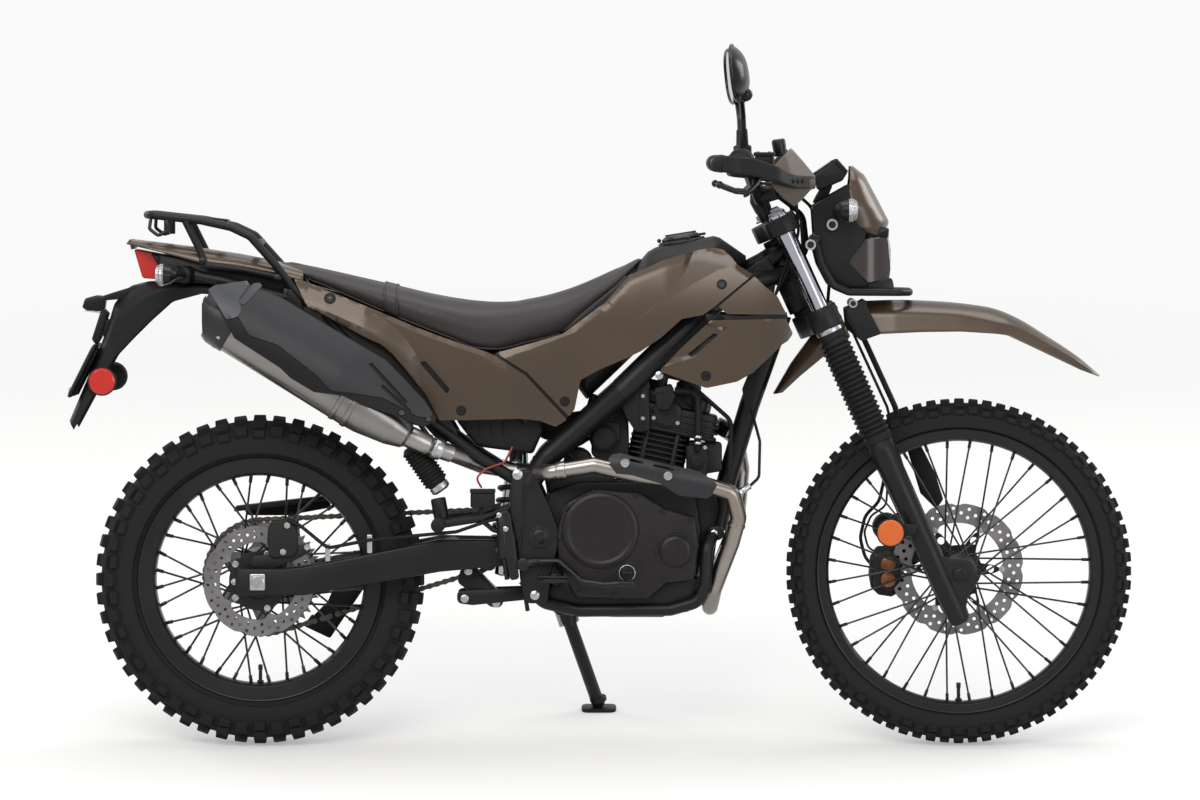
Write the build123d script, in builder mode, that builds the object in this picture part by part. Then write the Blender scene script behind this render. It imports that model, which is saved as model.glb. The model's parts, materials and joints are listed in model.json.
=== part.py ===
from build123d import *
import os
from math import asin, atan2, cos, pi, radians, sin, tan

# Dual sport motorcycle, modelled upright and then leaned over on its side stand.
# X points forward from the middle of the wheelbase, Y to the rider's left and Z up
# from the ground. Millimetres and degrees.

os.makedirs("parts", exist_ok=True)

# ---- driving dimensions ------------------------------------------------------
WHEELBASE = 1380
LEAN = 10.5
FRONT_TYRE_R = 341.5
REAR_TYRE_R = 325
FRONT_KNOB_PITCHES = 64
REAR_KNOB_PITCHES = 44
CENTRE_KNOB_HALF = 11
KNOB_INSET = 3
FRONT_AXLE_X = WHEELBASE / 2
REAR_AXLE_X = -WHEELBASE / 2
FIT = 0.08
RAKE = 24.3
LEG_AHEAD = 28
AXLE_AHEAD_OF_LEG = 39
LEG_SPREAD = 95
OUTER_LEG_R = 24.5
INNER_TUBE_R = 18.5
GAITER_R = 28.5
STEM_R = 14
AXLE_R = 8
BAR_R = 11
GUARD_TIP_Y = 417
CHAIN_Y = 74
CHAIN_PITCH = 15.875
PLATE_HALF = 7.5
PLATE_WAIST = 4.5
INNER_CHORD = 12
REAR_TEETH = 45
FRONT_TEETH = 14
PIVOT = (-136, 414)
COUNTERSHAFT = (-65.5, 432)
ENGINE_TILT = 12
BODY_SKIN = 4
STAND_LEG_R = 13
RACK_BOLT_CIRCLE = 100
RACK_BOLT_R = 3.3
PLATE_BOLT_SPACING = 110
PLATE_BOLT_R = 3.3

# Stations up the fork, measured along it from the level of the front axle.
LEG_FOOT = -90
LEG_TOP = 299
GAITER_TOP = 540
GAITER_CUFF = 14
GAITER_FOLDS = 12
FOLD_DEPTH = 5.5
LOWER_CLAMP = (545, 589)
HEAD_TUBE = (592, 744)
UPPER_CLAMP = (748, 788)
TUBE_CAP = 793

# ---- frames of reference -----------------------------------------------------
SIDE = Plane(origin=(0, 0, 0), x_dir=(1, 0, 0), z_dir=(0, -1, 0))
FORWARD = (cos(radians(RAKE)), sin(radians(RAKE)))
UP_FORK = (-sin(radians(RAKE)), cos(radians(RAKE)))
AXLE_AHEAD = LEG_AHEAD + AXLE_AHEAD_OF_LEG
FORK = Plane(
    origin=(FRONT_AXLE_X - AXLE_AHEAD * FORWARD[0], 0, FRONT_TYRE_R - AXLE_AHEAD * FORWARD[1]),
    x_dir=(FORWARD[0], 0, FORWARD[1]),
    z_dir=(UP_FORK[0], 0, UP_FORK[1]),
)
TILTED = radians(ENGINE_TILT)
BARREL = Plane(
    origin=(92, 0, 500), x_dir=(cos(TILTED), 0, -sin(TILTED)), z_dir=(sin(TILTED), 0, cos(TILTED))
)


RACK_SLOPE = radians(7.3)
RACK_TOP = Plane(
    origin=(-827, 0, 1044), x_dir=(cos(RACK_SLOPE), 0, -sin(RACK_SLOPE)),
    z_dir=(sin(RACK_SLOPE), 0, cos(RACK_SLOPE)),
)
PLATE_FACE = Plane(origin=(-1040, 0, 741), x_dir=(0, 1, 0), z_dir=(-0.893, 0, 0.45))


def corner_room(before, corner, after):
    """Returns the largest radius whose arc ends before the middle of both edges."""
    to_before = Vector(*before) - Vector(*corner)
    to_after = Vector(*after) - Vector(*corner)
    half_angle = radians(to_before.get_angle(to_after) / 2)
    return 0.49 * min(to_before.length, to_after.length) * tan(half_angle)


def outline(rows):
    """Fills the closed outline of rows of (across, up, corner radius)."""
    points = [(across, up) for across, up, _ in rows]
    corners = []
    for number, (_, _, corner) in enumerate(rows):
        room = corner_room(points[number - 1], points[number], points[(number + 1) % len(points)])
        corners.append(min(corner, room))
    with BuildLine() as edge:
        FilletPolyline(points, radius=corners, close=True)
    make_face(edge.edges())


def slab(rows, y_low, y_high, mode=Mode.ADD):
    """Adds a side-view outline of (x, z, corner) rows, thick from y_low to y_high."""
    with BuildSketch(SIDE.offset(-y_high)) as side:
        outline(rows)
    extrude(side.sketch, amount=y_high - y_low, dir=(0, -1, 0), mode=mode)


def disc(x, z, radius, y_low, y_high, mode=Mode.ADD):
    """Adds a cylinder that lies across the bike."""
    with BuildSketch(SIDE.offset(-y_high)) as face:
        with Locations((x, z)):
            Circle(radius)
    extrude(face.sketch, amount=y_high - y_low, dir=(0, -1, 0), mode=mode)


def tube(points, radius, bend, mode=Mode.ADD):
    """Sweeps a round bar along straight runs joined by arcs."""
    with BuildLine() as path:
        if len(points) == 2:
            Line(*points)
        else:
            FilletPolyline(points, radius=bend)
    with BuildSketch(path.line ^ 0) as section:
        Circle(radius)
    sweep(section.sketch, path=path.line, mode=mode)


def fork_rod(radius, bottom, top, y=LEG_SPREAD, ahead=LEG_AHEAD, mode=Mode.ADD):
    """Adds a cylinder along the fork between two stations."""
    with BuildSketch(FORK.offset(bottom)) as end:
        with Locations((ahead, y)):
            Circle(radius)
    extrude(end.sketch, amount=top - bottom, dir=(UP_FORK[0], 0, UP_FORK[1]), mode=mode)


def fork_turned(rows, mode=Mode.ADD):
    """Revolves rows of (radius, station, corner) about the left fork leg."""
    foot = FORK.from_local_coords(Vector(LEG_AHEAD, LEG_SPREAD, 0))
    with BuildSketch(Plane(origin=foot, x_dir=FORK.x_dir, z_dir=(0, -1, 0))) as section:
        outline(rows)
    revolve(section.sketch, axis=Axis(foot, FORK.z_dir), mode=mode)


def two_view(side_rows, plan_rows, mode=Mode.ADD):
    """Adds the solid with one outline from the side and another from above."""
    with BuildSketch(SIDE) as side:
        outline(side_rows)
    with BuildSketch(Plane.XY) as plan:
        outline(plan_rows)
    wide = extrude(side.sketch, amount=600, both=True, mode=Mode.PRIVATE)
    tall = extrude(plan.sketch, amount=1600, dir=(0, 0, 1), mode=Mode.PRIVATE)
    add(wide & tall, mode=mode)


def both_sides(rows):
    """Returns a plan outline from the rows of its left half, front or back first."""
    return [*rows, *((x, -y, corner) for x, y, corner in rows[::-1])]


def skin(side_rows, curve, bend, thickness=BODY_SKIN):
    """Adds a moulded sheet: a curve seen from above, cut to a side-view outline."""
    with BuildSketch(SIDE) as side:
        outline(side_rows)
    with BuildLine() as edge:
        FilletPolyline(curve, radius=bend)
    with BuildSketch(Plane.XY) as plan:
        trace(edge.line, line_width=thickness)
    wide = extrude(side.sketch, amount=600, both=True, mode=Mode.PRIVATE)
    tall = extrude(plan.sketch, amount=1600, dir=(0, 0, 1), mode=Mode.PRIVATE)
    add(wide & tall)


def turned(x, z, rows, mode=Mode.ADD):
    """Revolves rows of (radius, y, corner) about an axle at (x, z)."""
    with BuildSketch(Plane(origin=(x, 0, z), x_dir=(1, 0, 0), z_dir=(0, 0, 1))) as section:
        outline(rows)
    revolve(section.sketch, axis=Axis((x, 0, z), (0, 1, 0)), mode=mode)


def flat_piece(corners, opening=None):
    """Returns the flat face between corners, with an opening where one is given."""
    holes = [Wire.make_polygon(opening)] if opening else []
    return Face(Wire.make_polygon(corners), holes)


def knob(base, height, out):
    """Returns the walls and top of a tread block that stands on its base, away from the axle."""
    lift_way = (base[1] - base[0]).cross(base[3] - base[0]).normalized()
    if lift_way.dot(out) < 0:
        lift_way = -lift_way
    top = [corner + lift_way * height for corner in base]
    walls = []
    for number in range(4):
        after = (number + 1) % 4
        walls.append(flat_piece([base[number], base[after], top[after], top[number]]))
    return [*walls, flat_piece(top)]


def knobby_tyre(x, z, pitches, rows):
    """Builds a tyre from flat pieces, with a block on every second pitch of a tread row.

    Each row is (distance from the axle, y, block): a point of the section, and what stands on
    the strip to the next point as (height, half length, y from, y to, odd pitches), or None.
    """
    step = 2 * pi / pitches
    faces = []
    for number in range(pitches):
        middle = step * number - pi / 2
        out = Vector(cos(middle), 0, sin(middle))
        along = Vector(-sin(middle), 0, cos(middle))
        axle = Vector(x, 0, z)

        def at(reach, half, y):
            """Places a point at a distance from the axle, across the pitch and along Y."""
            return axle + out * reach + along * half + Vector(0, y, 0)

        for place, (radius, y, block) in enumerate(rows):
            next_radius, next_y, _ = rows[(place + 1) % len(rows)]
            near_half, far_half = radius * tan(step / 2), next_radius * tan(step / 2)
            corners = [
                at(radius, -near_half, y), at(radius, near_half, y),
                at(next_radius, far_half, next_y), at(next_radius, -far_half, next_y),
            ]
            if block is None or number % 2 != block[4]:
                faces.append(flat_piece(corners))
                continue
            height, half, y_from, y_to, _ = block
            fall = (next_radius - radius) / (next_y - y)
            low = radius + fall * (y_from - y)
            high = radius + fall * (y_to - y)
            base = [at(low, -half, y_from), at(low, half, y_from), at(high, half, y_to), at(high, -half, y_to)]
            faces.append(flat_piece(corners, base))
            faces.extend(knob(base, height, out))
    tyre = Solid(Shell(faces))
    add(tyre if tyre.volume > 0 else -tyre)


def tread_rows(radius, knob_height, half_length, crown_half, shoulder, wall, bead):
    """Returns the section of a tyre whose centre blocks reach its full radius.

    shoulder, wall and bead are (distance from the axle, y) points from tread to rim.
    """
    base = radius - knob_height
    centre = (knob_height, half_length, -CENTRE_KNOB_HALF, CENTRE_KNOB_HALF, 0)
    left = (knob_height, half_length, crown_half + KNOB_INSET, shoulder[1] - KNOB_INSET, 1)
    right = (knob_height, half_length, KNOB_INSET - shoulder[1], -crown_half - KNOB_INSET, 1)
    rows = [(base, -crown_half, centre), (base, crown_half, left), (*shoulder, None)]
    rows += [(reach, y, None) for reach, y in (*wall, *bead)]
    rows += [(reach, -y, None) for reach, y in (*bead[::-1], *wall[::-1])]
    rows.append((shoulder[0], -shoulder[1], right))
    return rows


def spokes(x, z, count, hub_r, hub_y, rim_r, rim_y, swing, thick):
    """Adds wire spokes that leave the hub flanges almost in line with them."""
    for number in range(count):
        side = 1 if number % 2 else -1
        way = 1 if number % 4 < 2 else -1
        rim_angle = 2 * pi * (number + 0.5) / count
        hub_angle = rim_angle + way * radians(swing)
        start = Vector(x + hub_r * cos(hub_angle), side * hub_y, z + hub_r * sin(hub_angle))
        stop = Vector(x + rim_r * cos(rim_angle), side * rim_y, z + rim_r * sin(rim_angle))
        run = stop - start
        with BuildSketch(Plane(origin=start, z_dir=run)) as wire:
            Rectangle(thick, thick)
        extrude(wire.sketch, amount=run.length, dir=run.normalized())


# ---- front wheel -------------------------------------------------------------
with BuildPart() as front_tyre:
    # tyre radius, block height, block half length, crown half, shoulder, wall, bead
    knobby_tyre(FRONT_AXLE_X, FRONT_TYRE_R, FRONT_KNOB_PITCHES, tread_rows(
        FRONT_TYRE_R, 8, 10, 14, (320, 35), [(300, 39)], [(283, 20.5), (266.5, 20.5)]))

with BuildPart() as front_rim:
    turned(FRONT_AXLE_X, FRONT_TYRE_R, [
        (257, -12, 0), (262, -24, 0), (281, -24.5, 0), (281, -21.5, 0), (266.5, -21, 0),
        (266.5, 21, 0), (281, 21.5, 0), (281, 24.5, 0), (262, 24, 0), (257, 12, 0),
    ])
    spokes(FRONT_AXLE_X, FRONT_TYRE_R, 36, 29, 27, 258, 4, 62, 4)
    turned(FRONT_AXLE_X, FRONT_TYRE_R, [
        (AXLE_R + FIT, -58, 0), (20, -58, 0), (24, -32, 0), (34, -31, 0), (34, -24, 0),
        (22, -18, 0), (22, 18, 0), (34, 24, 0), (34, 31, 0), (28, 36, 0), (36, 59, 0),
        (AXLE_R + FIT, 59, 0),
    ])

with BuildPart() as front_disc:
    with BuildSketch(SIDE.offset(-64)) as ring:
        with Locations((FRONT_AXLE_X, FRONT_TYRE_R)):
            Circle(131)
            Circle(92, mode=Mode.SUBTRACT)
            with PolarLocations(134, 12):
                Circle(9, mode=Mode.SUBTRACT)
            with PolarLocations(66, 6):
                Rectangle(62, 14)
            Circle(42)
            Circle(30, mode=Mode.SUBTRACT)
    extrude(amount=4)
    disc(FRONT_AXLE_X, FRONT_TYRE_R, 42, 59, 64)
    disc(FRONT_AXLE_X, FRONT_TYRE_R, AXLE_R + 4, 59, 64, mode=Mode.SUBTRACT)

# ---- rear wheel --------------------------------------------------------------
with BuildPart() as rear_tyre:
    knobby_tyre(REAR_AXLE_X, REAR_TYRE_R, REAR_KNOB_PITCHES, tread_rows(
        REAR_TYRE_R, 10, 13, 18, (297, 47), [(276, 55)], [(242, 27.5), (214.5, 27.5)]))

with BuildPart() as rear_rim:
    turned(REAR_AXLE_X, REAR_TYRE_R, [
        (205, -14, 0), (210, -31, 0), (240.6, -31.5, 0), (240.6, -28.5, 0), (214.5, -28, 0),
        (214.5, 28, 0), (240.6, 28.5, 0), (240.6, 31.5, 0), (210, 31, 0), (205, 14, 0),
    ])
    spokes(REAR_AXLE_X, REAR_TYRE_R, 36, 46, 32, 206, 5, 58, 4.4)
    turned(REAR_AXLE_X, REAR_TYRE_R, [
        (AXLE_R + 2 + FIT, -70, 0), (38, -70, 0), (38, -50, 0), (30, -38, 0), (52, -36, 0),
        (52, -29, 0), (32, -22, 0), (32, 22, 0), (52, 29, 0), (52, 36, 0), (36, 40, 0),
        (44, 58, 0), (44, 70, 0), (AXLE_R + 2 + FIT, 70, 0),
    ])

with BuildPart() as rear_disc:
    with BuildSketch(SIDE.offset(70)) as ring:
        with Locations((REAR_AXLE_X, REAR_TYRE_R)):
            Circle(109)
            with PolarLocations(112, 12):
                Circle(7, mode=Mode.SUBTRACT)
            with PolarLocations(66, 5):
                Rectangle(24, 26, mode=Mode.SUBTRACT)
            Circle(30, mode=Mode.SUBTRACT)
    extrude(amount=4)

with BuildPart() as rear_sprocket:
    sprocket_r = CHAIN_PITCH / 2 / sin(pi / REAR_TEETH)
    with BuildSketch(SIDE.offset(-CHAIN_Y - 2.5)) as plate:
        with Locations((REAR_AXLE_X, REAR_TYRE_R)):
            Circle(sprocket_r - 9)
            with PolarLocations(74, 6):
                Circle(17, mode=Mode.SUBTRACT)
            Circle(34, mode=Mode.SUBTRACT)
    extrude(amount=5)
    disc(REAR_AXLE_X, REAR_TYRE_R, 43, 70, CHAIN_Y + 2.5)
    disc(REAR_AXLE_X, REAR_TYRE_R, 34, 70, CHAIN_Y + 2.5, mode=Mode.SUBTRACT)

# ---- drive chain, one loop round both sprockets --------------------------------
def chain_point(travel, height):
    """Returns the point of the loop at a distance along the pitch line, raised off it."""
    for run, start, way, turn_r in CHAIN_RUNS:
        if travel <= run:
            break
        travel -= run
    heading = way
    spot = start + Vector(cos(way), sin(way)) * travel
    if turn_r:
        heading = way + travel / turn_r
        centre = start + Vector(-sin(way), cos(way)) * turn_r
        spot = centre + Vector(sin(heading), -cos(heading)) * turn_r
    return spot + Vector(sin(heading), -cos(heading)) * height


front_pitch_r = CHAIN_PITCH / 2 / sin(pi / FRONT_TEETH)
rear_centre = Vector(REAR_AXLE_X, REAR_TYRE_R)
front_centre = Vector(*COUNTERSHAFT)
centre_line = front_centre - rear_centre
slope = atan2(centre_line.Y, centre_line.X)
opening = asin((sprocket_r - front_pitch_r) / centre_line.length)
run_length = centre_line.length * cos(opening)
lower_way = slope + opening
upper_way = slope - opening + pi
lower_start = rear_centre + Vector(sin(lower_way), -cos(lower_way)) * sprocket_r
upper_start = front_centre + Vector(sin(upper_way), -cos(upper_way)) * front_pitch_r
# length, start, heading, turning radius
CHAIN_RUNS = [
    (run_length, lower_start, lower_way, 0),
    (front_pitch_r * (pi - 2 * opening), lower_start + Vector(cos(lower_way), sin(lower_way)) * run_length,
     lower_way, front_pitch_r),
    (run_length, upper_start, upper_way, 0),
    (sprocket_r * (pi + 2 * opening), upper_start + Vector(cos(upper_way), sin(upper_way)) * run_length,
     upper_way, sprocket_r),
]
loop_length = sum(run for run, _, _, _ in CHAIN_RUNS)
link_count = round(loop_length / CHAIN_PITCH)
link_step = loop_length / link_count
with BuildPart() as drive_chain:
    with BuildSketch(SIDE.offset(-CHAIN_Y - 7)) as loop:
        outer = []
        for link in range(link_count):
            outer.append(chain_point(link * link_step, PLATE_HALF))
            outer.append(chain_point((link + 0.5) * link_step, PLATE_WAIST))
        with BuildLine() as plates:
            Polyline(*outer, close=True)
        make_face(plates.edges())
        inner = []
        passed = 0
        for run, _, _, turn_r in CHAIN_RUNS:
            chords = round(run / INNER_CHORD) if turn_r else 1
            inner += [chain_point(passed + run * mark / chords, -PLATE_HALF) for mark in range(chords)]
            passed += run
        with BuildLine() as rollers:
            Polyline(*inner, close=True)
        make_face(rollers.edges(), mode=Mode.SUBTRACT)
    extrude(loop.sketch, amount=14)

# ---- front fork ----------------------------------------------------------------
with BuildPart() as fork_legs:
    fork_turned([
        (0, LEG_FOOT, 0), (15, LEG_FOOT, 2), (OUTER_LEG_R - 1.5, LEG_FOOT + 30, 8), (OUTER_LEG_R, 240, 0),
        (OUTER_LEG_R + 3, LEG_TOP - 36, 3), (OUTER_LEG_R + 3, LEG_TOP - 10, 2), (OUTER_LEG_R, LEG_TOP, 2),
        (0, LEG_TOP, 0),
    ])
    with BuildSketch(FORK.offset(-34)) as lug:
        with Locations((LEG_AHEAD + 30, LEG_SPREAD)):
            RectangleRounded(68, 36, 8)
    extrude(lug.sketch, amount=68, dir=(UP_FORK[0], 0, UP_FORK[1]))
    mirror(about=Plane.XZ)
    disc(FRONT_AXLE_X, FRONT_TYRE_R, AXLE_R, -121, 118)

with BuildPart() as fork_tubes:
    fork_rod(INNER_TUBE_R, LEG_TOP, TUBE_CAP)
    mirror(about=Plane.XZ)

with BuildPart() as fork_gaiters:
    fold = (GAITER_TOP - LEG_TOP - 2 * GAITER_CUFF) / GAITER_FOLDS
    folds = [(INNER_TUBE_R + FIT, LEG_TOP, 0), (GAITER_R - 2, LEG_TOP, 0)]
    for number in range(GAITER_FOLDS):
        valley = LEG_TOP + GAITER_CUFF + number * fold
        folds += [(GAITER_R - FOLD_DEPTH, valley, 0), (GAITER_R, valley + fold / 2, 0)]
    folds += [
        (GAITER_R - FOLD_DEPTH, GAITER_TOP - GAITER_CUFF, 0), (GAITER_R - 3, GAITER_TOP - GAITER_CUFF + 4, 0),
        (GAITER_R - 3, GAITER_TOP, 0), (INNER_TUBE_R + FIT, GAITER_TOP, 0),
    ]
    fork_turned(folds)
    mirror(about=Plane.XZ)

with BuildPart() as fork_clamps:
    for low, high in (LOWER_CLAMP, UPPER_CLAMP):
        with BuildSketch(FORK.offset(low)) as plate:
            with Locations((LEG_AHEAD, LEG_SPREAD), (LEG_AHEAD, -LEG_SPREAD)):
                Circle(31)
            with Locations((-4, 0)):
                Circle(26)
            make_hull()
            with Locations((LEG_AHEAD, LEG_SPREAD), (LEG_AHEAD, -LEG_SPREAD)):
                Circle(INNER_TUBE_R + FIT, mode=Mode.SUBTRACT)
        extrude(plate.sketch, amount=high - low, dir=(UP_FORK[0], 0, UP_FORK[1]))
    fork_rod(STEM_R, LOWER_CLAMP[0], UPPER_CLAMP[1] + 8, y=0, ahead=0)
    for y in (-38, 38):
        fork_rod(14, UPPER_CLAMP[1], UPPER_CLAMP[1] + 32, y=y, ahead=8)

# ---- handlebar and what it carries ------------------------------------------------
CLAMP_TOP = FORK.from_local_coords(Vector(8, 0, UPPER_CLAMP[1] + 32 + BAR_R))
BAR_X = CLAMP_TOP.X
BAR_Z = CLAMP_TOP.Z
BAR_END = (212, 400, 1146)
BAR_RISE = (BAR_X - 22, 205, 1140)
with BuildPart() as handlebar:
    tube([
        (BAR_X, 0, BAR_Z), (BAR_X, 95, BAR_Z), BAR_RISE, BAR_END
    ], BAR_R, 60)
    mirror(about=Plane.XZ)

with BuildPart() as hand_controls:
    grip_dir = (Vector(BAR_END) - Vector(BAR_RISE)).normalized()
    for start, length, radius in ((52, 118, 16), (24, 26, 24), (0, 22, 19)):
        with BuildSketch(Plane(origin=Vector(BAR_RISE) + grip_dir * (start + 20), z_dir=grip_dir)) as end:
            Circle(radius)
        extrude(end.sketch, amount=length, dir=grip_dir)
    with BuildSketch(Plane(origin=Vector(BAR_RISE), z_dir=grip_dir)) as bore:
        Circle(BAR_R + FIT)
    extrude(bore.sketch, amount=400, dir=grip_dir, mode=Mode.SUBTRACT)
    tube([
        (BAR_X + 2, 232, 1112), (BAR_X + 18, 250, 1106), (268, 330, 1082), (222, 392, 1098)
    ], 6, 12)
    slab([(282, 1134, 3), (319, 1134, 3), (319, 1168, 3), (282, 1168, 3)], 205, 250)
    mirror(about=Plane.XZ)
    add(handlebar.part, mode=Mode.SUBTRACT)

with BuildPart() as hand_guards:
    two_view([
        (319, 1092, 0), (341, 1066, 14), (372, 1068, 14), (387, 1092, 8), (400, 1122, 8),
        (372, 1160, 14), (350, 1178, 10), (310, 1129, 0), (232, 1122, 6), (222, 1104, 4), (260, 1104, 4),
    ], [(404, 130, 6), (404, 190, 40), (330, 350, 60), (240, GUARD_TIP_Y, 12), (222, GUARD_TIP_Y, 4),
        (222, 409, 0), (320, 344, 60), (394, 186, 36), (394, 130, 0)])
    mirror(about=Plane.XZ)

with BuildPart() as mirrors:
    tube([(266, 240, 1167), (262, 262, 1235), (256, 330, 1300)], 6, 20)
    with BuildSketch(Plane(origin=(246, 340, 1320), z_dir=(-1, 0.08, 0.08))) as glass:
        RectangleRounded(148, 104, 34)
    extrude(glass.sketch, amount=-22)
    mirror(about=Plane.XZ)

# ---- lamp, cowl, instrument and signals ------------------------------------------------
with BuildPart() as headlight:
    two_view([
        (400, 1004, 8), (416, 953, 8), (436, 910, 8), (506, 903, 8), (553, 912, 8), (555, 935, 10),
        (538, 997, 4), (500, 1006, 8), (440, 1010, 8),
    ], [(400, 70, 10), (500, 78, 20), (556, 40, 20), (556, -40, 20), (500, -78, 20), (400, -70, 10)])

    # the guard bar under the lamp, hung from the upper clamp
    tube([(404, 96, 1004), (416, 98, 950), (438, 94, 908), (470, 84, 894), (568, 66, 893), (590, 40, 893),
          (590, 0, 893)], 8, 22)
    slab([(372, 1016, 3), (410, 1010, 3), (410, 994, 3), (372, 990, 3)], 90, 104)
    mirror(about=Plane.XZ)
    add(fork_clamps.part, mode=Mode.SUBTRACT)
    add(fork_tubes.part, mode=Mode.SUBTRACT)

with BuildPart() as headlight_cowl:
    two_view([
        (398, 1062, 8), (412, 1014, 6), (500, 1010, 6), (538, 1000, 4), (553, 1027, 4), (503, 1123, 6),
        (485, 1140, 4), (470, 1142, 2), (470, 1094, 6),
    ], [(396, 102, 20), (470, 96, 30), (554, 44, 30), (554, -44, 30), (470, -96, 30), (396, -102, 20)])

with BuildPart() as instrument:
    slab([(399, 1123, 6), (410, 1096, 4), (464, 1116, 4), (464, 1132, 4), (445, 1152, 6)], -72, 72)

with BuildPart() as front_signals:
    for y_low, y_high in ((100, 178),):
        disc(452, 1052, 6, y_low, y_high - 26)
        slab([(441, 1032, 8), (484, 1033, 6), (484, 1077, 6), (441, 1072, 12)], y_high - 26, y_high + 20)
    mirror(about=Plane.XZ)

# ---- front fender and brake ---------------------------------------------------------
with BuildPart() as front_fender:
    two_view([
        (501, 875, 0), (575, 877, 0), (652, 874, 0), (741, 865, 0), (807, 840, 60), (923, 767, 20),
        (967, 728, 0), (930, 740, 10), (845, 780, 60), (783, 809, 40), (691, 816, 0), (613, 815, 0),
        (532, 811, 0), (494, 812, 0), (470, 842, 0), (480, 868, 0),
    ], both_sides([(470, 60, 10), (560, 68, 40), (760, 66, 60), (880, 52, 60), (968, 16, 12)]))
    two_view([
        (560, 873, 0), (652, 870, 0), (740, 861, 0), (805, 836, 60), (920, 763, 20), (950, 738, 0),
        (930, 700, 0), (800, 700, 0), (560, 780, 0),
    ], both_sides([(556, 63, 10), (760, 62, 60), (880, 48, 60), (955, 16, 8)]), mode=Mode.SUBTRACT)
    # the part behind the fork, under the lower clamp
    two_view([
        (470, 842, 10), (420, 812, 10), (396, 800, 20), (334, 706, 6), (338, 694, 2), (350, 696, 2),
        (424, 766, 20), (474, 806, 10),
    ], both_sides([(476, 58, 8), (400, 56, 30), (334, 28, 10)]))
    two_view([
        (470, 836, 10), (420, 806, 10), (400, 796, 20), (340, 706, 6), (350, 650, 0), (474, 740, 0),
    ], both_sides([(466, 54, 8), (400, 52, 30), (300, 24, 10)]), mode=Mode.SUBTRACT)

with BuildPart() as front_caliper:
    slab([(519, 300, 6), (548, 288, 6), (584, 300, 8), (584, 372, 10), (560, 388, 8), (519, 378, 8)], 50, 74)
    slab([(560, 322, 0), (650, 322, 0), (650, 366, 0), (560, 366, 0)], 70, 84)
    disc(FRONT_AXLE_X, FRONT_TYRE_R, 137, 54, 70, mode=Mode.SUBTRACT)
    add(fork_legs.part, mode=Mode.SUBTRACT)

# ---- frame -----------------------------------------------------------------------------
with BuildPart() as main_frame:
    two_view([
        (318, 962, 0), (250, 925, 20), (104, 808, 0), (6, 713, 0), (-140, 583, 0), (-194, 546, 16),
        (-194, 518, 8), (-146, 518, 0), (-116, 562, 0), (-33, 635, 0), (24, 673, 0), (101, 747, 0),
        (190, 836, 10), (296, 884, 10), (372, 872, 0),
    ], [
        (372, -4, 0), (372, 20, 0), (300, 52, 20), (190, 88, 40), (60, 98, 60), (-194, 112, 0),
        (-194, 92, 0), (60, 76, 60), (190, 64, 40), (300, 20, 20), (318, -4, 0),
    ])
    slab([
        (-192, 545, 0), (-150, 545, 0), (-116, 470, 20), (-100, 430, 20), (-100, 395, 20), (-114, 340, 20),
        (-120, 282, 6), (-165, 282, 6), (-176, 330, 20), (-182, 400, 20), (-196, 460, 20),
    ], 92, 112)
    tube([
        (240, 12, 548), (214, 66, 500), (197, 98, 425), (188, 100, 320), (160, 98, 274),
        (-100, 100, 276), (-142, 102, 300)
    ], 12, 30)
    mirror(about=Plane.XZ)
    tube([(344, 0, 892), (285, 0, 680), (236, 0, 545)], 20, 200)
    disc(PIVOT[0], PIVOT[1], 10, -118, 118)
    disc(-150, 300, 11, -100, 100)
    disc(-172, 536, 14, -95, 95)
    fork_rod(27, HEAD_TUBE[0], HEAD_TUBE[1], y=0, ahead=0)
    fork_rod(STEM_R + FIT, HEAD_TUBE[0] - 60, HEAD_TUBE[1] + 60, y=0, ahead=0, mode=Mode.SUBTRACT)

with BuildPart() as rear_subframe:
    tube([(-100, 86, 712), (-240, 96, 770), (-460, 100, 850), (-640, 92, 918), (-800, 80, 945)], 12, 60)
    tube([(-198, 100, 532), (-345, 100, 650), (-500, 98, 862)], 12, 60)
    mirror(about=Plane.XZ)
    disc(-640, 918, 10, -92, 92)
    disc(-400, 828, 10, -98, 98)
    add(main_frame.part, mode=Mode.SUBTRACT)

# ---- swingarm and suspension ---------------------------------------------------------------
with BuildPart() as swingarm:
    two_view([
        (-734, 352, 6), (-600, 357, 20), (-334, 407, 20), (-160, 432, 10), (-112, 432, 10), (-112, 402, 10),
        (-160, 386, 10), (-334, 344, 20), (-600, 299, 10), (-734, 297, 6),
    ], [
        (-734, 90, 0), (-734, 114, 4), (-500, 114, 20), (-250, 88, 20), (-112, 88, 0), (-112, 56, 0),
        (-250, 56, 20), (-480, 90, 20),
    ])
    mirror(about=Plane.XZ)
    slab([(-330, 350, 10), (-200, 366, 10), (-200, 398, 10), (-330, 398, 10)], -60, 60)
    disc(REAR_AXLE_X, REAR_TYRE_R, 10, -124, 124)
    disc(PIVOT[0], PIVOT[1], 10 + FIT, -124, 124, mode=Mode.SUBTRACT)
    slab([(-746, 452, 4), (-700, 470, 10), (-542, 480, 8), (-360, 480, 6), (-360, 472, 0), (-700, 461, 0)], 62, 90)
    slab([(-560, 470, 0), (-540, 470, 0), (-520, 340, 0), (-550, 340, 0)], 86, 90)

with BuildPart() as rear_suspension:
    tube([(-206, 0, 400), (-184, 0, 520)], 30, 10)
    tube([(-216, 0, 330), (-206, 0, 402)], 16, 10)
    slab([(-300, 280, 8), (-262, 270, 8), (-140, 286, 8), (-140, 304, 8), (-225, 312, 8), (-290, 350, 8)], -24, 24)
    add(main_frame.part, mode=Mode.SUBTRACT)
    add(swingarm.part, mode=Mode.SUBTRACT)

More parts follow.
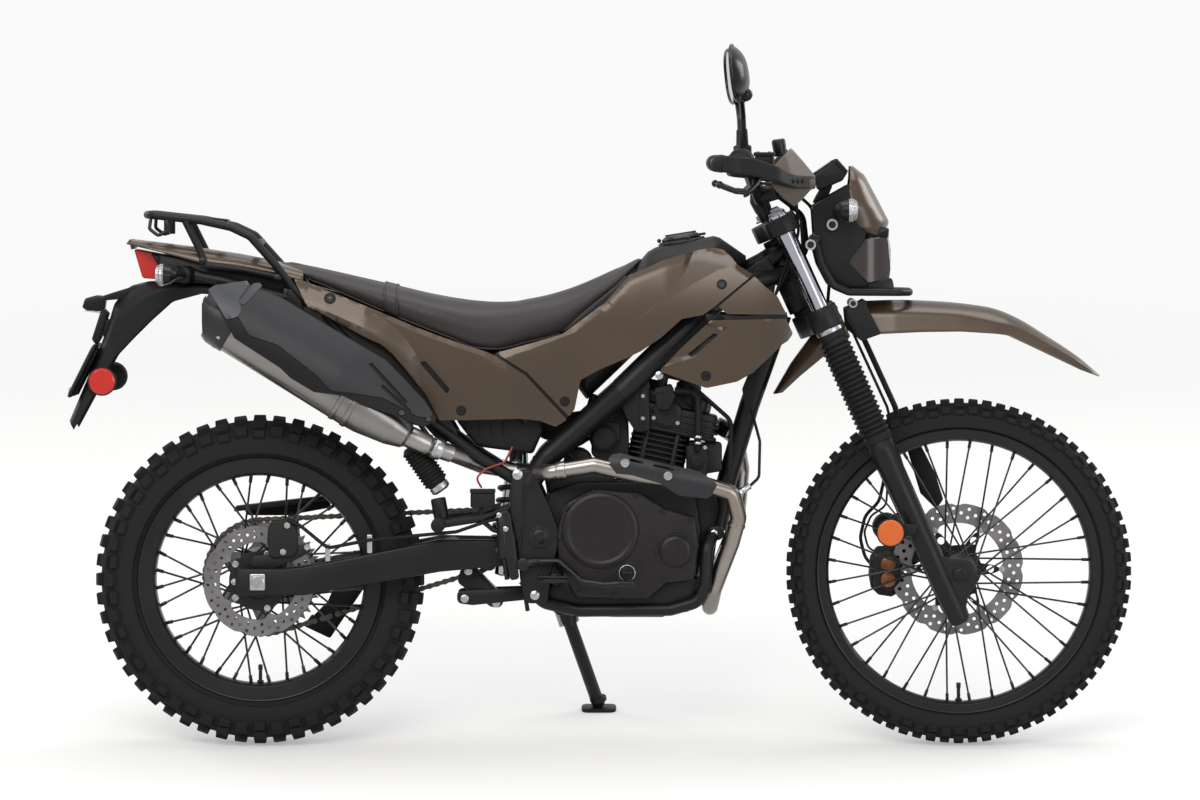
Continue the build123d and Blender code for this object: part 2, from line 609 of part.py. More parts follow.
# ---- engine -----------------------------------------------------------------------------
with BuildPart() as crankcase:
    slab([
        (-104, 458, 20), (-104, 400, 20), (-98, 330, 20), (-66, 295, 12), (75, 292, 10), (112, 318, 10),
        (167, 326, 12), (177, 400, 30), (170, 470, 30), (146, 507, 8), (30, 530, 8), (-60, 528, 30),
    ], -72, 58)
    disc(COUNTERSHAFT[0], COUNTERSHAFT[1], 12, 58, 80)
    disc(COUNTERSHAFT[0], COUNTERSHAFT[1], 27, CHAIN_Y - 4, CHAIN_Y + 4)

with BuildPart() as engine_covers:
    slab([
        (-98, 372, 20), (-64, 298, 14), (60, 296, 16), (120, 330, 24), (166, 350, 20), (160, 420, 30),
        (100, 470, 40), (20, 500, 40), (-60, 496, 40), (-98, 440, 30),
    ], -112, -72)
    disc(-17, 427, 75, -134, -112)
    disc(130, 386, 31, -120, -100)
    slab([
        (-14, 380, 20), (-4, 330, 30), (60, 310, 30), (120, 340, 30), (140, 400, 30), (110, 470, 40),
        (30, 490, 40), (-10, 460, 20),
    ], 58, 104)
    disc(60, 402, 58, 104, 116)

with BuildPart() as cylinder:
    with BuildSketch(BARREL.offset(14)) as base:
        RectangleRounded(98, 106, 12)
    extrude(base.sketch, amount=92, dir=BARREL.z_dir)
    for level in range(8):
        with BuildSketch(BARREL.offset(24 + 10 * level)) as fin:
            RectangleRounded(118, 124, 10)
        extrude(fin.sketch, amount=3, dir=BARREL.z_dir)
    with BuildSketch(BARREL.offset(104)) as head:
        with Locations((8, 0)):
            RectangleRounded(150, 118, 14)
    extrude(head.sketch, amount=66, dir=BARREL.z_dir)
    for level in range(3):
        with BuildSketch(BARREL.offset(110 + 13 * level)) as fin:
            with Locations((8, 0)):
                RectangleRounded(158, 128, 12)
        extrude(fin.sketch, amount=3, dir=BARREL.z_dir)
    with BuildSketch(BARREL.offset(168)) as cover:
        with Locations((-14, 0)):
            RectangleRounded(112, 104, 16)
    extrude(cover.sketch, amount=22, dir=BARREL.z_dir)
    with BuildSketch(BARREL.offset(190)) as caps:
        with Locations((-44, 0), (16, 0)):
            Circle(27)
    extrude(caps.sketch, amount=18, dir=BARREL.z_dir)
    disc(112, 650, 30, -72, -50)
    add(crankcase.part, mode=Mode.SUBTRACT)

with BuildPart() as airbox:
    slab([
        (-90, 600, 10), (-150, 590, 10), (-255, 640, 10), (-285, 700, 10), (-230, 760, 10), (-150, 745, 10),
        (-60, 700, 20),
    ], -60, 60)
    tube([(-398, -96, 606), (-334, -96, 512)], 25, 10)

# ---- exhaust -----------------------------------------------------------------------------
with BuildPart() as exhaust_pipe:
    tube([
        (224, 30, 622), (250, 44, 604), (262, 74, 540), (252, 76, 430), (208, 70, 320), (200, 40, 272),
        (198, -40, 272), (206, -74, 310), (240, -98, 400), (254, -112, 452), (242, -122, 500),
        (180, -132, 520), (60, -140, 536), (-30, -142, 556), (-130, -138, 540), (-290, -140, 578),
        (-392, -150, 612),
    ], 14, 16)

MUFFLER_RISE = radians(30.3)
MUFFLER_BACK = (-cos(MUFFLER_RISE), 0, sin(MUFFLER_RISE))
with BuildPart() as muffler:
    # x, z, y, height, width of each section down the can
    with BuildSketch(Plane(origin=(-404, -151, 616), x_dir=(0, 1, 0), z_dir=MUFFLER_BACK)) as inlet:
        RectangleRounded(42, 46, 18)
    with BuildSketch(Plane(origin=(-494, -159, 661), x_dir=(0, 1, 0), z_dir=MUFFLER_BACK)) as front:
        RectangleRounded(96, 106, 40)
    with BuildSketch(Plane(origin=(-761, -164, 827), x_dir=(0, 1, 0), z_dir=MUFFLER_BACK)) as back:
        RectangleRounded(96, 112, 42)
    loft(sections=[inlet.sketch, front.sketch])
    loft(sections=[front.sketch, back.sketch])
    with BuildSketch(Plane(origin=(-761, -164, 827), x_dir=(0, 1, 0), z_dir=MUFFLER_BACK)) as cap:
        RectangleRounded(80, 100, 36)
    extrude(cap.sketch, amount=22, dir=MUFFLER_BACK)

COVER_SECTION = Plane(origin=(-330, -160, 591), x_dir=(0, 1, 0), z_dir=MUFFLER_BACK)
with BuildPart() as heat_shields:
    two_view([
        (-2, 569, 4), (22, 582, 8), (75, 567, 0), (179, 543, 10), (206, 528, 8), (210, 514, 6), (197, 491, 6),
        (136, 495, 20), (99, 521, 10), (44, 537, 10), (8, 540, 6),
    ], [
        (-4, -160, 0), (120, -160, 60), (206, -148, 10), (212, -142, 0), (206, -142, 0), (120, -156, 60),
        (-4, -156, 0),
    ])
    # the cover over the silencer, on two bosses
    with BuildSketch(COVER_SECTION) as ring:
        RectangleRounded(114, 134, 50)
        RectangleRounded(106, 126, 46, mode=Mode.SUBTRACT)
    pipe_wall = extrude(ring.sketch, amount=580, dir=MUFFLER_BACK, mode=Mode.PRIVATE)
    with BuildSketch(SIDE.offset(168)) as side:
        outline([
            (-791, 900, 8), (-733, 919, 10), (-706, 913, 10), (-640, 886, 0), (-559, 837, 0), (-436, 764, 20),
            (-359, 684, 20), (-335, 644, 6), (-362, 652, 0), (-482, 698, 30), (-570, 740, 30), (-645, 790, 20),
            (-700, 822, 20), (-735, 868, 10),
        ])
    add(pipe_wall & extrude(side.sketch, amount=120, dir=(0, -1, 0), mode=Mode.PRIVATE))
    for x, z in ((-700, 862), (-580, 792)):
        disc(x, z, 8, -214, -196)
    add(muffler.part, mode=Mode.SUBTRACT)

# ---- bodywork ------------------------------------------------------------------------------
with BuildPart() as fuel_tank:
    two_view([
        (60, 957, 6), (91, 980, 14), (205, 1004, 14), (236, 988, 8), (268, 966, 6), (252, 938, 8), (110, 822, 0),
        (20, 735, 0), (-45, 676, 10), (-66, 700, 10), (-74, 760, 10), (-72, 822, 10), (-30, 860, 0), (8, 890, 0),
        (36, 920, 10),
    ], [
        (268, 40, 12), (222, 52, 12), (212, 108, 16), (150, 122, 80), (40, 116, 60), (-76, 84, 20),
        (-76, -84, 20), (40, -116, 60), (150, -122, 80), (212, -108, 16), (222, -52, 12), (268, -40, 12),
    ])

with BuildPart() as tank_panels:
    skin([
        (39, 928, 10), (104, 956, 30), (205, 981, 14), (239, 963, 14), (280, 928, 6), (208, 868, 10),
        (183, 850, 6), (142, 842, 6), (101, 805, 10), (61, 778, 10), (24, 761, 0), (-56, 722, 10), (-68, 664, 6),
        (-80, 648, 0), (-162, 734, 10), (-222, 774, 0), (-160, 790, 30), (-68, 826, 30), (-8, 872, 30),
    ], [(-240, 112), (-60, 124), (60, 134), (160, 146), (300, 168)], 200)
    mirror(about=Plane.XZ)

with BuildPart() as front_shrouds:
    skin([
        (212, 868, 0), (281, 927, 0), (302, 908, 0), (329, 886, 14), (341, 862, 0), (359, 814, 12), (338, 793, 0),
        (281, 738, 14), (250, 720, 14), (190, 707, 20), (100, 739, 4), (199, 836, 6),
    ], [(80, 150), (180, 162), (280, 176), (370, 168)], 200)
    mirror(about=Plane.XZ)

with BuildPart() as seat:
    two_view([
        (-620, 951, 10), (-559, 937, 0), (-444, 911, 40), (-344, 888, 0), (-221, 873, 120), (-129, 885, 80),
        (-37, 916, 60), (39, 954, 0), (66, 966, 4), (55, 956, 0), (34, 926, 0), (4, 894, 10), (-36, 864, 0),
        (-78, 826, 20), (-160, 800, 30), (-232, 787, 30), (-436, 862, 0), (-620, 934, 0),
    ], [
        (-620, 72, 24), (-500, 118, 80), (-330, 130, 120), (-160, 106, 120), (40, 74, 40), (66, 40, 16),
        (66, -40, 16), (40, -74, 40), (-160, -106, 120), (-330, -130, 120), (-500, -118, 80), (-620, -72, 24),
    ])

with BuildPart() as side_covers:
    skin([
        (-618, 926, 6), (-436, 852, 0), (-240, 778, 10), (-228, 770, 0), (-166, 730, 0), (-84, 643, 0),
        (-105, 630, 6), (-137, 642, 6), (-332, 643, 6), (-381, 721, 20), (-424, 773, 20), (-479, 807, 20),
        (-559, 850, 20), (-595, 872, 6),
    ], [(-640, 104), (-480, 122), (-300, 128), (-60, 118)], 200)
    mirror(about=Plane.XZ)
    slab([
        (-944, 997, 3), (-821, 982, 0), (-730, 968, 0), (-672, 956, 0), (-672, 944, 0), (-800, 953, 0),
        (-872, 971, 0), (-940, 988, 3),
    ], -62, 62)

with BuildPart() as rear_fender:
    slab([
        (-600, 886, 6), (-780, 925, 20), (-944, 900, 10), (-997, 880, 8), (-1000, 812, 6), (-981, 792, 6),
        (-1018, 742, 10), (-1064, 682, 0), (-1064, 619, 4), (-1052, 619, 4), (-1022, 698, 10), (-978, 757, 20),
        (-930, 816, 30), (-879, 867, 20), (-791, 896, 20), (-680, 884, 10), (-600, 862, 6),
    ], -62, 62)
    slab([
        (-680, 893, 6), (-780, 915, 20), (-940, 895, 10), (-990, 876, 8), (-994, 816, 6), (-972, 786, 6),
        (-960, 700, 0), (-700, 700, 0),
    ], -58, 58, mode=Mode.SUBTRACT)
    slab([(-990, 886, 4), (-1034, 882, 6), (-1040, 862, 4), (-1030, 854, 3), (-990, 856, 3)], -22, 22)
    for y_low, y_high, x, z in ((-72, -62, -997, 722), (62, 72, -985, 730)):
        disc(x, z, 26, y_low, y_high)
    with BuildSketch(PLATE_FACE) as bracket:
        RectangleRounded(150, 110, 8)
        with Locations((-PLATE_BOLT_SPACING / 2, 20), (PLATE_BOLT_SPACING / 2, 20)):
            Circle(PLATE_BOLT_R, mode=Mode.SUBTRACT)
    extrude(bracket.sketch, amount=-4)

with BuildPart() as rear_lamps:
    slab([(-935, 977, 4), (-889, 968, 4), (-889, 917, 4), (-918, 920, 4)], -48, 48)
    disc(-828, 927, 9, 62, 130)
    slab([(-888, 908, 8), (-888, 949, 8), (-838, 945, 14), (-838, 912, 14)], 110, 160)
    mirror(about=Plane.XZ)

with BuildPart() as luggage_rack:
    tube([(-906, 96, 1046), (-750, 96, 1026), (-692, 94, 1008), (-655, 92, 950), (-600, 92, 916)], 8, 24)
    tube([(-832, 96, 1032), (-802, 92, 975), (-796, 90, 958)], 8, 20)
    mirror(about=Plane.XZ)
    for x, z in ((-906, 1046), (-832, 1036.5), (-750, 1026)):
        disc(x, z, 8, -96, 96)
    with BuildSketch(RACK_TOP.offset(-5)) as deck:
        RectangleRounded(150, 130, 10)
        with PolarLocations(RACK_BOLT_CIRCLE / 2, 4, start_angle=45):
            Circle(RACK_BOLT_R, mode=Mode.SUBTRACT)
    extrude(deck.sketch, amount=5, dir=RACK_TOP.z_dir)
    add(rear_subframe.part, mode=Mode.SUBTRACT)

with BuildPart() as skid_plate:
    slab([
        (-140, 264, 4), (-115, 256, 4), (-48, 244, 0), (105, 244, 20), (150, 256, 10), (178, 286, 4),
        (172, 290, 0), (146, 262, 10), (105, 250, 20), (-48, 250, 0), (-115, 262, 4), (-138, 269, 4),
    ], -90, 90)
    add(main_frame.part, mode=Mode.SUBTRACT)

with BuildPart() as foot_controls:
    tube([(-148, 112, 330), (-148, 160, 330), (-150, 232, 332)], 10, 10)
    mirror(about=Plane.XZ)
    tube([(-150, -116, 352), (-60, -168, 312), (90, -170, 318)], 7, 20)
    add(main_frame.part, mode=Mode.SUBTRACT)

with BuildPart() as rear_brake:
    slab([(-669, 380, 6), (-612, 374, 6), (-604, 440, 10), (-662, 450, 10)], -88, -58)
    disc(REAR_AXLE_X, REAR_TYRE_R, 115, -80, -64, mode=Mode.SUBTRACT)

# ---- side stand -------------------------------------------------------------------------------
STAND_PIVOT = Vector(-100, 132, 288)
STAND_FOOT = Vector(-22, 262, 0)
STAND_AXIS = Vector(-0.1, 0.93, 0.32).normalized()
ground_tilt = tan(radians(LEAN))
GROUND_LEVEL = -CENTRE_KNOB_HALF * ground_tilt
foot_z = GROUND_LEVEL + STAND_FOOT.Y * ground_tilt
FOOT_NORMAL = Vector(0, -sin(radians(LEAN)), cos(radians(LEAN)))
with BuildPart() as side_stand:
    foot_centre = Vector(STAND_FOOT.X, STAND_FOOT.Y, foot_z)
    tube([STAND_PIVOT, foot_centre + FOOT_NORMAL * 10], STAND_LEG_R, 10)
    with BuildSketch(Plane(origin=foot_centre, x_dir=(1, 0, 0), z_dir=FOOT_NORMAL)) as pad:
        RectangleRounded(70, 46, 16)
    extrude(pad.sketch, amount=8, dir=FOOT_NORMAL)
    with BuildSketch(Plane(origin=STAND_PIVOT - STAND_AXIS * 12, z_dir=STAND_AXIS)) as eye:
        Circle(20)
    extrude(eye.sketch, amount=24, dir=STAND_AXIS)

# ---- parked on the side stand ---------------------------------------------------------------
NODES = {
    "front_tyre": front_tyre, "front_rim": front_rim, "front_disc": front_disc,
    "rear_tyre": rear_tyre, "rear_rim": rear_rim, "rear_disc": rear_disc, "rear_sprocket": rear_sprocket,
    "drive_chain": drive_chain, "fork_legs": fork_legs, "fork_tubes": fork_tubes,
    "fork_gaiters": fork_gaiters, "fork_clamps": fork_clamps, "handlebar": handlebar,
    "hand_controls": hand_controls, "hand_guards": hand_guards, "mirrors": mirrors,
    "headlight": headlight, "headlight_cowl": headlight_cowl, "instrument": instrument,
    "front_signals": front_signals, "front_fender": front_fender, "front_caliper": front_caliper,
    "main_frame": main_frame, "rear_subframe": rear_subframe, "swingarm": swingarm,
    "rear_suspension": rear_suspension, "crankcase": crankcase, "engine_covers": engine_covers,
    "cylinder": cylinder, "airbox": airbox, "exhaust_pipe": exhaust_pipe,
    "heat_shields": heat_shields, "muffler": muffler, "fuel_tank": fuel_tank,
    "tank_panels": tank_panels, "front_shrouds": front_shrouds, "seat": seat,
    "side_covers": side_covers, "rear_fender": rear_fender, "rear_lamps": rear_lamps,
    "luggage_rack": luggage_rack, "skid_plate": skid_plate, "foot_controls": foot_controls,
    "rear_brake": rear_brake, "side_stand": side_stand,
}
lift = CENTRE_KNOB_HALF * sin(radians(LEAN))
for piece in NODES.values():
    piece.part.locate(Location((0, 0, lift), (-LEAN, 0, 0)))
whole = Compound([piece.part for piece in NODES.values()]).bounding_box()
SHIFT = (-whole.center().X, -whole.center().Y, 0)
print("shift", SHIFT, "lift", lift, "size", whole.size, "lowest", whole.min.Z)
for label, piece in NODES.items():
    piece.part.label = label
    piece.part.move(Location(SHIFT))
    export_step(piece.part, f"parts/{label}.step")
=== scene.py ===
"""Looks of the dual sport motorcycle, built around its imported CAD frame.

Pieces are modelled on the upright bike in millimetres, X forward from the middle of the
wheelbase, Y to the rider's left and Z up, and are then leaned over with the parked bike.
"""

import json
import logging
import math
from dataclasses import dataclass, field
from enum import Enum
from typing import Callable, Iterable, Sequence

import bmesh
import bpy
import numpy as np
from mathutils import Matrix, Vector
from mathutils.geometry import delaunay_2d_cdt


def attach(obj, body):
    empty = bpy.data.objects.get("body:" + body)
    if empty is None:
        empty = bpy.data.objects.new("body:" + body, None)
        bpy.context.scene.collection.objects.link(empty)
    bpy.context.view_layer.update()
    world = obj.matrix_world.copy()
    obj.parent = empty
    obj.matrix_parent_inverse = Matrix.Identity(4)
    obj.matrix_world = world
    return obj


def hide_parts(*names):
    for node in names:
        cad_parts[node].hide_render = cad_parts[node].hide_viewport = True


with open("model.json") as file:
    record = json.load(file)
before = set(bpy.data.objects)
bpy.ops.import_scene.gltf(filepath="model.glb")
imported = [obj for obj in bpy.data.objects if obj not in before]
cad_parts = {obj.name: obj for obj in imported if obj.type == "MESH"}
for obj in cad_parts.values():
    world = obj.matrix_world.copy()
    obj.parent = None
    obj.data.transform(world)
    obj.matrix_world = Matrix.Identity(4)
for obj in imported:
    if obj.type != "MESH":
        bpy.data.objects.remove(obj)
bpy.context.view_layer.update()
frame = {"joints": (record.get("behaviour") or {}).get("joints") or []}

MM = 0.001
LOG = logging.getLogger("motorcycle")

MERGE_MM = 0.001
WELD_MM = 0.01
SHORTEST_MM = 0.05
LEAST_SLOPE = 1e-3
STRAIGHT_DEG = 88.5
RIM_DEG = 50.0
SHADE_DEG = 40.0
LATTICE_RISE = 0.866
MOTTLE_SPAN = (0.32, 0.68)

Row = tuple[float, float, float]
Point = tuple[float, float, float]
Flat = tuple[float, float]

WHEELBASE = 1380.0
FRONT_AXLE = (WHEELBASE / 2, 0.0, 341.5)
REAR_AXLE = (-WHEELBASE / 2, 0.0, 325.0)
RAKE = math.radians(24.3)
LEG_AHEAD = 28.0
AXLE_AHEAD = 67.0
LEG_SPREAD = 95.0
FORK_FORWARD = Vector((math.cos(RAKE), 0.0, math.sin(RAKE)))
FORK_UP = Vector((-math.sin(RAKE), 0.0, math.cos(RAKE)))
FORK_ROOT = Vector(FRONT_AXLE) - FORK_FORWARD * AXLE_AHEAD


class Body(Enum):
    """The moving bodies of the frame."""

    FRAME = "frame"
    STEERING = "steering"
    FRONT_WHEEL = "front_wheel"
    REAR_WHEEL = "rear_wheel"
    SIDE_STAND = "side_stand"


def parked_matrix() -> Matrix:
    """Works out the lean and place of the parked bike from its rear axle.

    Returns:
        The matrix from the upright bike to the frame, both in metres.
    """
    joint = next(j for j in frame["joints"] if j["name"] == "rear_wheel_spin")
    axis, place = Vector(joint["axis"]), Vector(joint["pos_m"])
    turn = Matrix.Rotation(math.atan2(axis.z, axis.y), 4, "X")
    start = turn @ (Vector(REAR_AXLE) * MM)
    return Matrix.Translation(place - start) @ turn


PARKED = parked_matrix()


def on_fork(ahead: float, y: float, along: float) -> Vector:
    """Gives the upright place of a point of the fork.

    Args:
        ahead: Distance in front of the steering axis.
        y: Distance to the left.
        along: Station up the fork from the axle's level.

    Returns:
        The point in millimetres.
    """
    return FORK_ROOT + FORK_FORWARD * ahead + FORK_UP * along + Vector((0.0, y, 0.0))


def blend_value(knots: Sequence[Flat], at: float) -> float:
    """Reads a smooth curve through (place, value) knots that never swings past them."""
    places = [k[0] for k in knots]
    values = [k[1] for k in knots]
    if at <= places[0]:
        return values[0]
    if at >= places[-1]:
        return values[-1]
    index = max(i for i in range(len(places) - 1) if places[i] <= at)
    secants = [(values[i + 1] - values[i]) / (places[i + 1] - places[i]) for i in range(len(places) - 1)]

    def slope(knot: int) -> float:
        """Gives the curve's slope at a knot, level where the curve turns back."""
        before, after = secants[max(0, knot - 1)], secants[min(len(secants) - 1, knot)]
        return 2 * before * after / (before + after) if before * after > 0 else 0.0

    run = places[index + 1] - places[index]
    part = (at - places[index]) / run
    rise = values[index + 1] - values[index]
    start, stop = slope(index) * run, slope(index + 1) * run
    return (values[index] + start * part + (3 * rise - 2 * start - stop) * part ** 2
            + (start + stop - 2 * rise) * part ** 3)


# ---- finishes ---------------------------------------------------------------------------------


def srgb(code: str) -> tuple[float, float, float, float]:
    """Turns an sRGB hex value into a linear colour."""
    channels = [int(code[i:i + 2], 16) / 255 for i in (1, 3, 5)]
    linear = [c / 12.92 if c <= 0.04045 else ((c + 0.055) / 1.055) ** 2.4 for c in channels]
    return (linear[0], linear[1], linear[2], 1.0)


def per_metre(size_mm: float) -> float:
    """Gives the texture scale whose pattern repeats about every size_mm."""
    return 1.0 / (size_mm * MM)


def add_node(tree: bpy.types.NodeTree, kind: str, settings: dict | None = None,
             inputs: dict | None = None) -> bpy.types.Node:
    """Adds a shader node with its settings, constants and links.

    Args:
        tree: The material's node tree.
        kind: The node's type name.
        settings: Attributes to set.
        inputs: Input values, or output sockets to link to.

    Returns:
        The new node.
    """
    made = tree.nodes.new(kind)
    for key, value in (settings or {}).items():
        setattr(made, key, value)
    for key, value in (inputs or {}).items():
        if isinstance(value, bpy.types.NodeSocket):
            tree.links.new(value, made.inputs[key])
        else:
            made.inputs[key].default_value = value
    return made


def add_relief(tree: bpy.types.NodeTree, height: bpy.types.NodeSocket, depth_mm: float,
               strength: float = 1.0, invert: bool = False) -> None:
    """Bumps the surface by a height pattern.

    Args:
        tree: The material's node tree.
        height: The pattern.
        depth_mm: How deep it is.
        strength: How much of it shows.
        invert: Whether high and low change places.
    """
    bump = add_node(tree, "ShaderNodeBump", {"invert": invert}, {
        "Height": height, "Strength": strength, "Distance": depth_mm * MM})
    tree.links.new(bump.outputs["Normal"], tree.nodes["Principled BSDF"].inputs["Normal"])


@dataclass(frozen=True)
class Finish:
    """A surface: its colour, how uneven it is, and how it was made.

    The mottle is slow colour change from dust, moulding or casting, and the grain is the
    fine texture felt under a finger. Sizes are in real millimetres.
    """

    name: str
    colour: str
    shade: str
    roughness: float
    metallic: float = 0.0
    mottle_mm: float = 60.0
    grain_mm: float = 0.8
    grain_depth_mm: float = 0.02
    roughness_spread: float = 0.08
    coat: float = 0.0
    coat_roughness: float = 0.1
    ior: float = 1.5
    specular: float = 0.5
    stretch: tuple[float, float, float] = (1.0, 1.0, 1.0)

    def build(self) -> bpy.types.Material:
        """Makes the material, once."""
        known = bpy.data.materials.get(self.name)
        if known:
            return known
        material = bpy.data.materials.new(self.name)
        material.use_nodes = True
        tree = material.node_tree
        shader = tree.nodes["Principled BSDF"]
        for key, value in (("Metallic", self.metallic), ("Coat Weight", self.coat),
                           ("Coat Roughness", self.coat_roughness), ("IOR", self.ior),
                           ("Specular IOR Level", self.specular)):
            shader.inputs[key].default_value = value
        coordinate = add_node(tree, "ShaderNodeTexCoord").outputs["Object"]
        place = add_node(tree, "ShaderNodeMapping", inputs={
            "Vector": coordinate, "Scale": self.stretch}).outputs["Vector"]
        self.paint(tree, shader, place)
        self.texture(tree, place)
        return material

    def paint(self, tree: bpy.types.NodeTree, shader: bpy.types.Node, place: bpy.types.NodeSocket) -> None:
        """Mixes the colour and its darker shade by slow noise, and varies the gloss."""
        mottle = add_node(tree, "ShaderNodeTexNoise", inputs={
            "Vector": place, "Scale": per_metre(self.mottle_mm), "Detail": 5.0, "Roughness": 0.6})
        ramp = add_node(tree, "ShaderNodeValToRGB", inputs={"Fac": mottle.outputs["Fac"]})
        for stop, position, code in zip(ramp.color_ramp.elements, MOTTLE_SPAN, (self.shade, self.colour)):
            stop.position = position
            stop.color = srgb(code)
        tree.links.new(ramp.outputs["Color"], shader.inputs["Base Color"])
        gloss = add_node(tree, "ShaderNodeMapRange", inputs={
            "Value": mottle.outputs["Fac"], "From Min": 0.3, "From Max": 0.7,
            "To Min": max(0.02, self.roughness - self.roughness_spread),
            "To Max": min(1.0, self.roughness + self.roughness_spread)})
        tree.links.new(gloss.outputs["Result"], shader.inputs["Roughness"])

    def texture(self, tree: bpy.types.NodeTree, place: bpy.types.NodeSocket) -> None:
        """Raises the fine grain."""
        grain = add_node(tree, "ShaderNodeTexNoise", inputs={
            "Vector": place, "Scale": per_metre(self.grain_mm), "Detail": 3.0, "Roughness": 0.55})
        add_relief(tree, grain.outputs["Fac"], self.grain_depth_mm)


@dataclass(frozen=True)
class Leatherette(Finish):
    """Embossed vinyl: round pebbles between fine creases."""

    pebble_mm: float = 1.6

    def texture(self, tree: bpy.types.NodeTree, place: bpy.types.NodeSocket) -> None:
        """Raises pebbles with creases between them."""
        cells = add_node(tree, "ShaderNodeTexVoronoi", {"feature": "SMOOTH_F1"}, {
            "Vector": place, "Scale": per_metre(self.pebble_mm), "Smoothness": 0.6})
        add_relief(tree, cells.outputs["Distance"], self.grain_depth_mm, 0.7, invert=True)


@dataclass(frozen=True)
class HeatTinted(Finish):
    """Stainless tube that heat has tinted straw and brown towards the engine."""

    hot: str = "#85786b"
    hot_centre: Point = (0.24, -0.3, 0.5)
    reach_mm: float = 420.0
    tint: float = 1.8

    def paint(self, tree: bpy.types.NodeTree, shader: bpy.types.Node, place: bpy.types.NodeSocket) -> None:
        """Blends from the plain metal to its heat tint by distance from the port."""
        offset = add_node(tree, "ShaderNodeVectorMath", {"operation": "DISTANCE"}, {
            0: place, 1: self.hot_centre})
        fade = add_node(tree, "ShaderNodeMapRange", inputs={
            "Value": offset.outputs["Value"], "From Min": 0.05, "From Max": self.reach_mm * MM,
            "To Min": 0.6, "To Max": 0.0})
        streak = add_node(tree, "ShaderNodeTexNoise", inputs={
            "Vector": place, "Scale": per_metre(self.mottle_mm), "Detail": 6.0})
        streaked = add_node(tree, "ShaderNodeMath", {"operation": "MULTIPLY"}, {
            0: fade.outputs["Result"], 1: streak.outputs["Fac"]})
        tinted = add_node(tree, "ShaderNodeMath", {"operation": "MULTIPLY", "use_clamp": True}, {
            0: streaked.outputs["Value"], 1: self.tint})
        mixed = add_node(tree, "ShaderNodeMix", {"data_type": "RGBA"}, {
            "Factor": tinted.outputs["Value"]})
        mixed.inputs[6].default_value = srgb(self.colour)
        mixed.inputs[7].default_value = srgb(self.hot)
        tree.links.new(mixed.outputs[2], shader.inputs["Base Color"])
        gloss = add_node(tree, "ShaderNodeMapRange", inputs={
            "Value": streak.outputs["Fac"], "To Min": self.roughness - self.roughness_spread,
            "To Max": self.roughness + self.roughness_spread})
        tree.links.new(gloss.outputs["Result"], shader.inputs["Roughness"])


@dataclass(frozen=True)
class TurnedSteel(Finish):
    """Disc steel ground in circles about an axle."""

    axle: Point = FRONT_AXLE

    def texture(self, tree: bpy.types.NodeTree, place: bpy.types.NodeSocket) -> None:
        """Raises rings about the axle, from a wave of the distance to it."""
        centre = PARKED @ (Vector(self.axle) * MM)
        away = add_node(tree, "ShaderNodeVectorMath", {"operation": "DISTANCE"}, {
            0: place, 1: tuple(centre)})
        rings = add_node(tree, "ShaderNodeTexNoise", {"noise_dimensions": "1D"}, {
            "W": away.outputs["Value"], "Scale": per_metre(self.grain_mm), "Detail": 4.0})
        add_relief(tree, rings.outputs["Fac"], self.grain_depth_mm, 0.6)


@dataclass(frozen=True)
class Lens(Finish):
    """Moulded acrylic lens over ribs that spread the light."""

    alpha: float = 0.35
    rib_mm: float = 4.0
    rib_depth_mm: float = 0.6

    def paint(self, tree: bpy.types.NodeTree, shader: bpy.types.Node, place: bpy.types.NodeSocket) -> None:
        """Sets one even clear or dyed colour."""
        shader.inputs["Base Color"].default_value = srgb(self.colour)
        shader.inputs["Roughness"].default_value = self.roughness
        shader.inputs["Transmission Weight"].default_value = self.alpha

    def texture(self, tree: bpy.types.NodeTree, place: bpy.types.NodeSocket) -> None:
        """Raises the upright ribs."""
        ribs = add_node(tree, "ShaderNodeTexWave", {"bands_direction": "Z"}, {
            "Vector": place, "Scale": per_metre(self.rib_mm) / 20, "Distortion": 0.0})
        add_relief(tree, ribs.outputs["Fac"], self.rib_depth_mm, 0.3)


# Injection moulded ABS in bronze-brown metallic paint: flake gives it depth, clear coat the gloss.
BRONZE_PAINT = Finish("bronze_painted_abs", "#483a2d", "#413428", 0.36, metallic=0.35, mottle_mm=220, grain_mm=0.7,
                      grain_depth_mm=0.004, coat=0.65, coat_roughness=0.27, roughness_spread=0.03, specular=0.2)
# The darker bronze of the lamp's side pods.
DARK_BRONZE = Finish("dark_bronze_abs", "#2f2522", "#2a211e", 0.3, metallic=0.3, mottle_mm=160, grain_mm=0.7,
                     grain_depth_mm=0.004, coat=0.4, coat_roughness=0.15)
# Mould-grained black polypropylene: a soft sheen from thousands of shallow pits.
GRAINED_PLASTIC = Finish("grained_polypropylene", "#19191a", "#151516", 0.52, mottle_mm=90, grain_mm=0.9,
                         grain_depth_mm=0.03, specular=0.2)
# Smooth black ABS.
BLACK_ABS = Finish("black_abs", "#151516", "#111112", 0.3, mottle_mm=120, grain_mm=2.0, grain_depth_mm=0.005,
                   specular=0.25)
# Powder coated steel tube: slight orange peel under a satin gloss.
POWDER_COAT = Finish("satin_powder_coat", "#141415", "#111112", 0.42, mottle_mm=140, grain_mm=2.4,
                     grain_depth_mm=0.02, specular=0.25)
# Sand-textured black engine enamel on die castings.
ENGINE_ENAMEL = Finish("black_engine_enamel", "#1a1a1a", "#141414", 0.5, mottle_mm=70, grain_mm=1.1,
                       grain_depth_mm=0.05, specular=0.25)
# Magnesium-brown satin paint of the clutch cover.
COVER_ENAMEL = Finish("bronze_engine_enamel", "#262323", "#201e1e", 0.4, metallic=0.25, mottle_mm=80,
                      grain_mm=0.9, grain_depth_mm=0.03, specular=0.25)
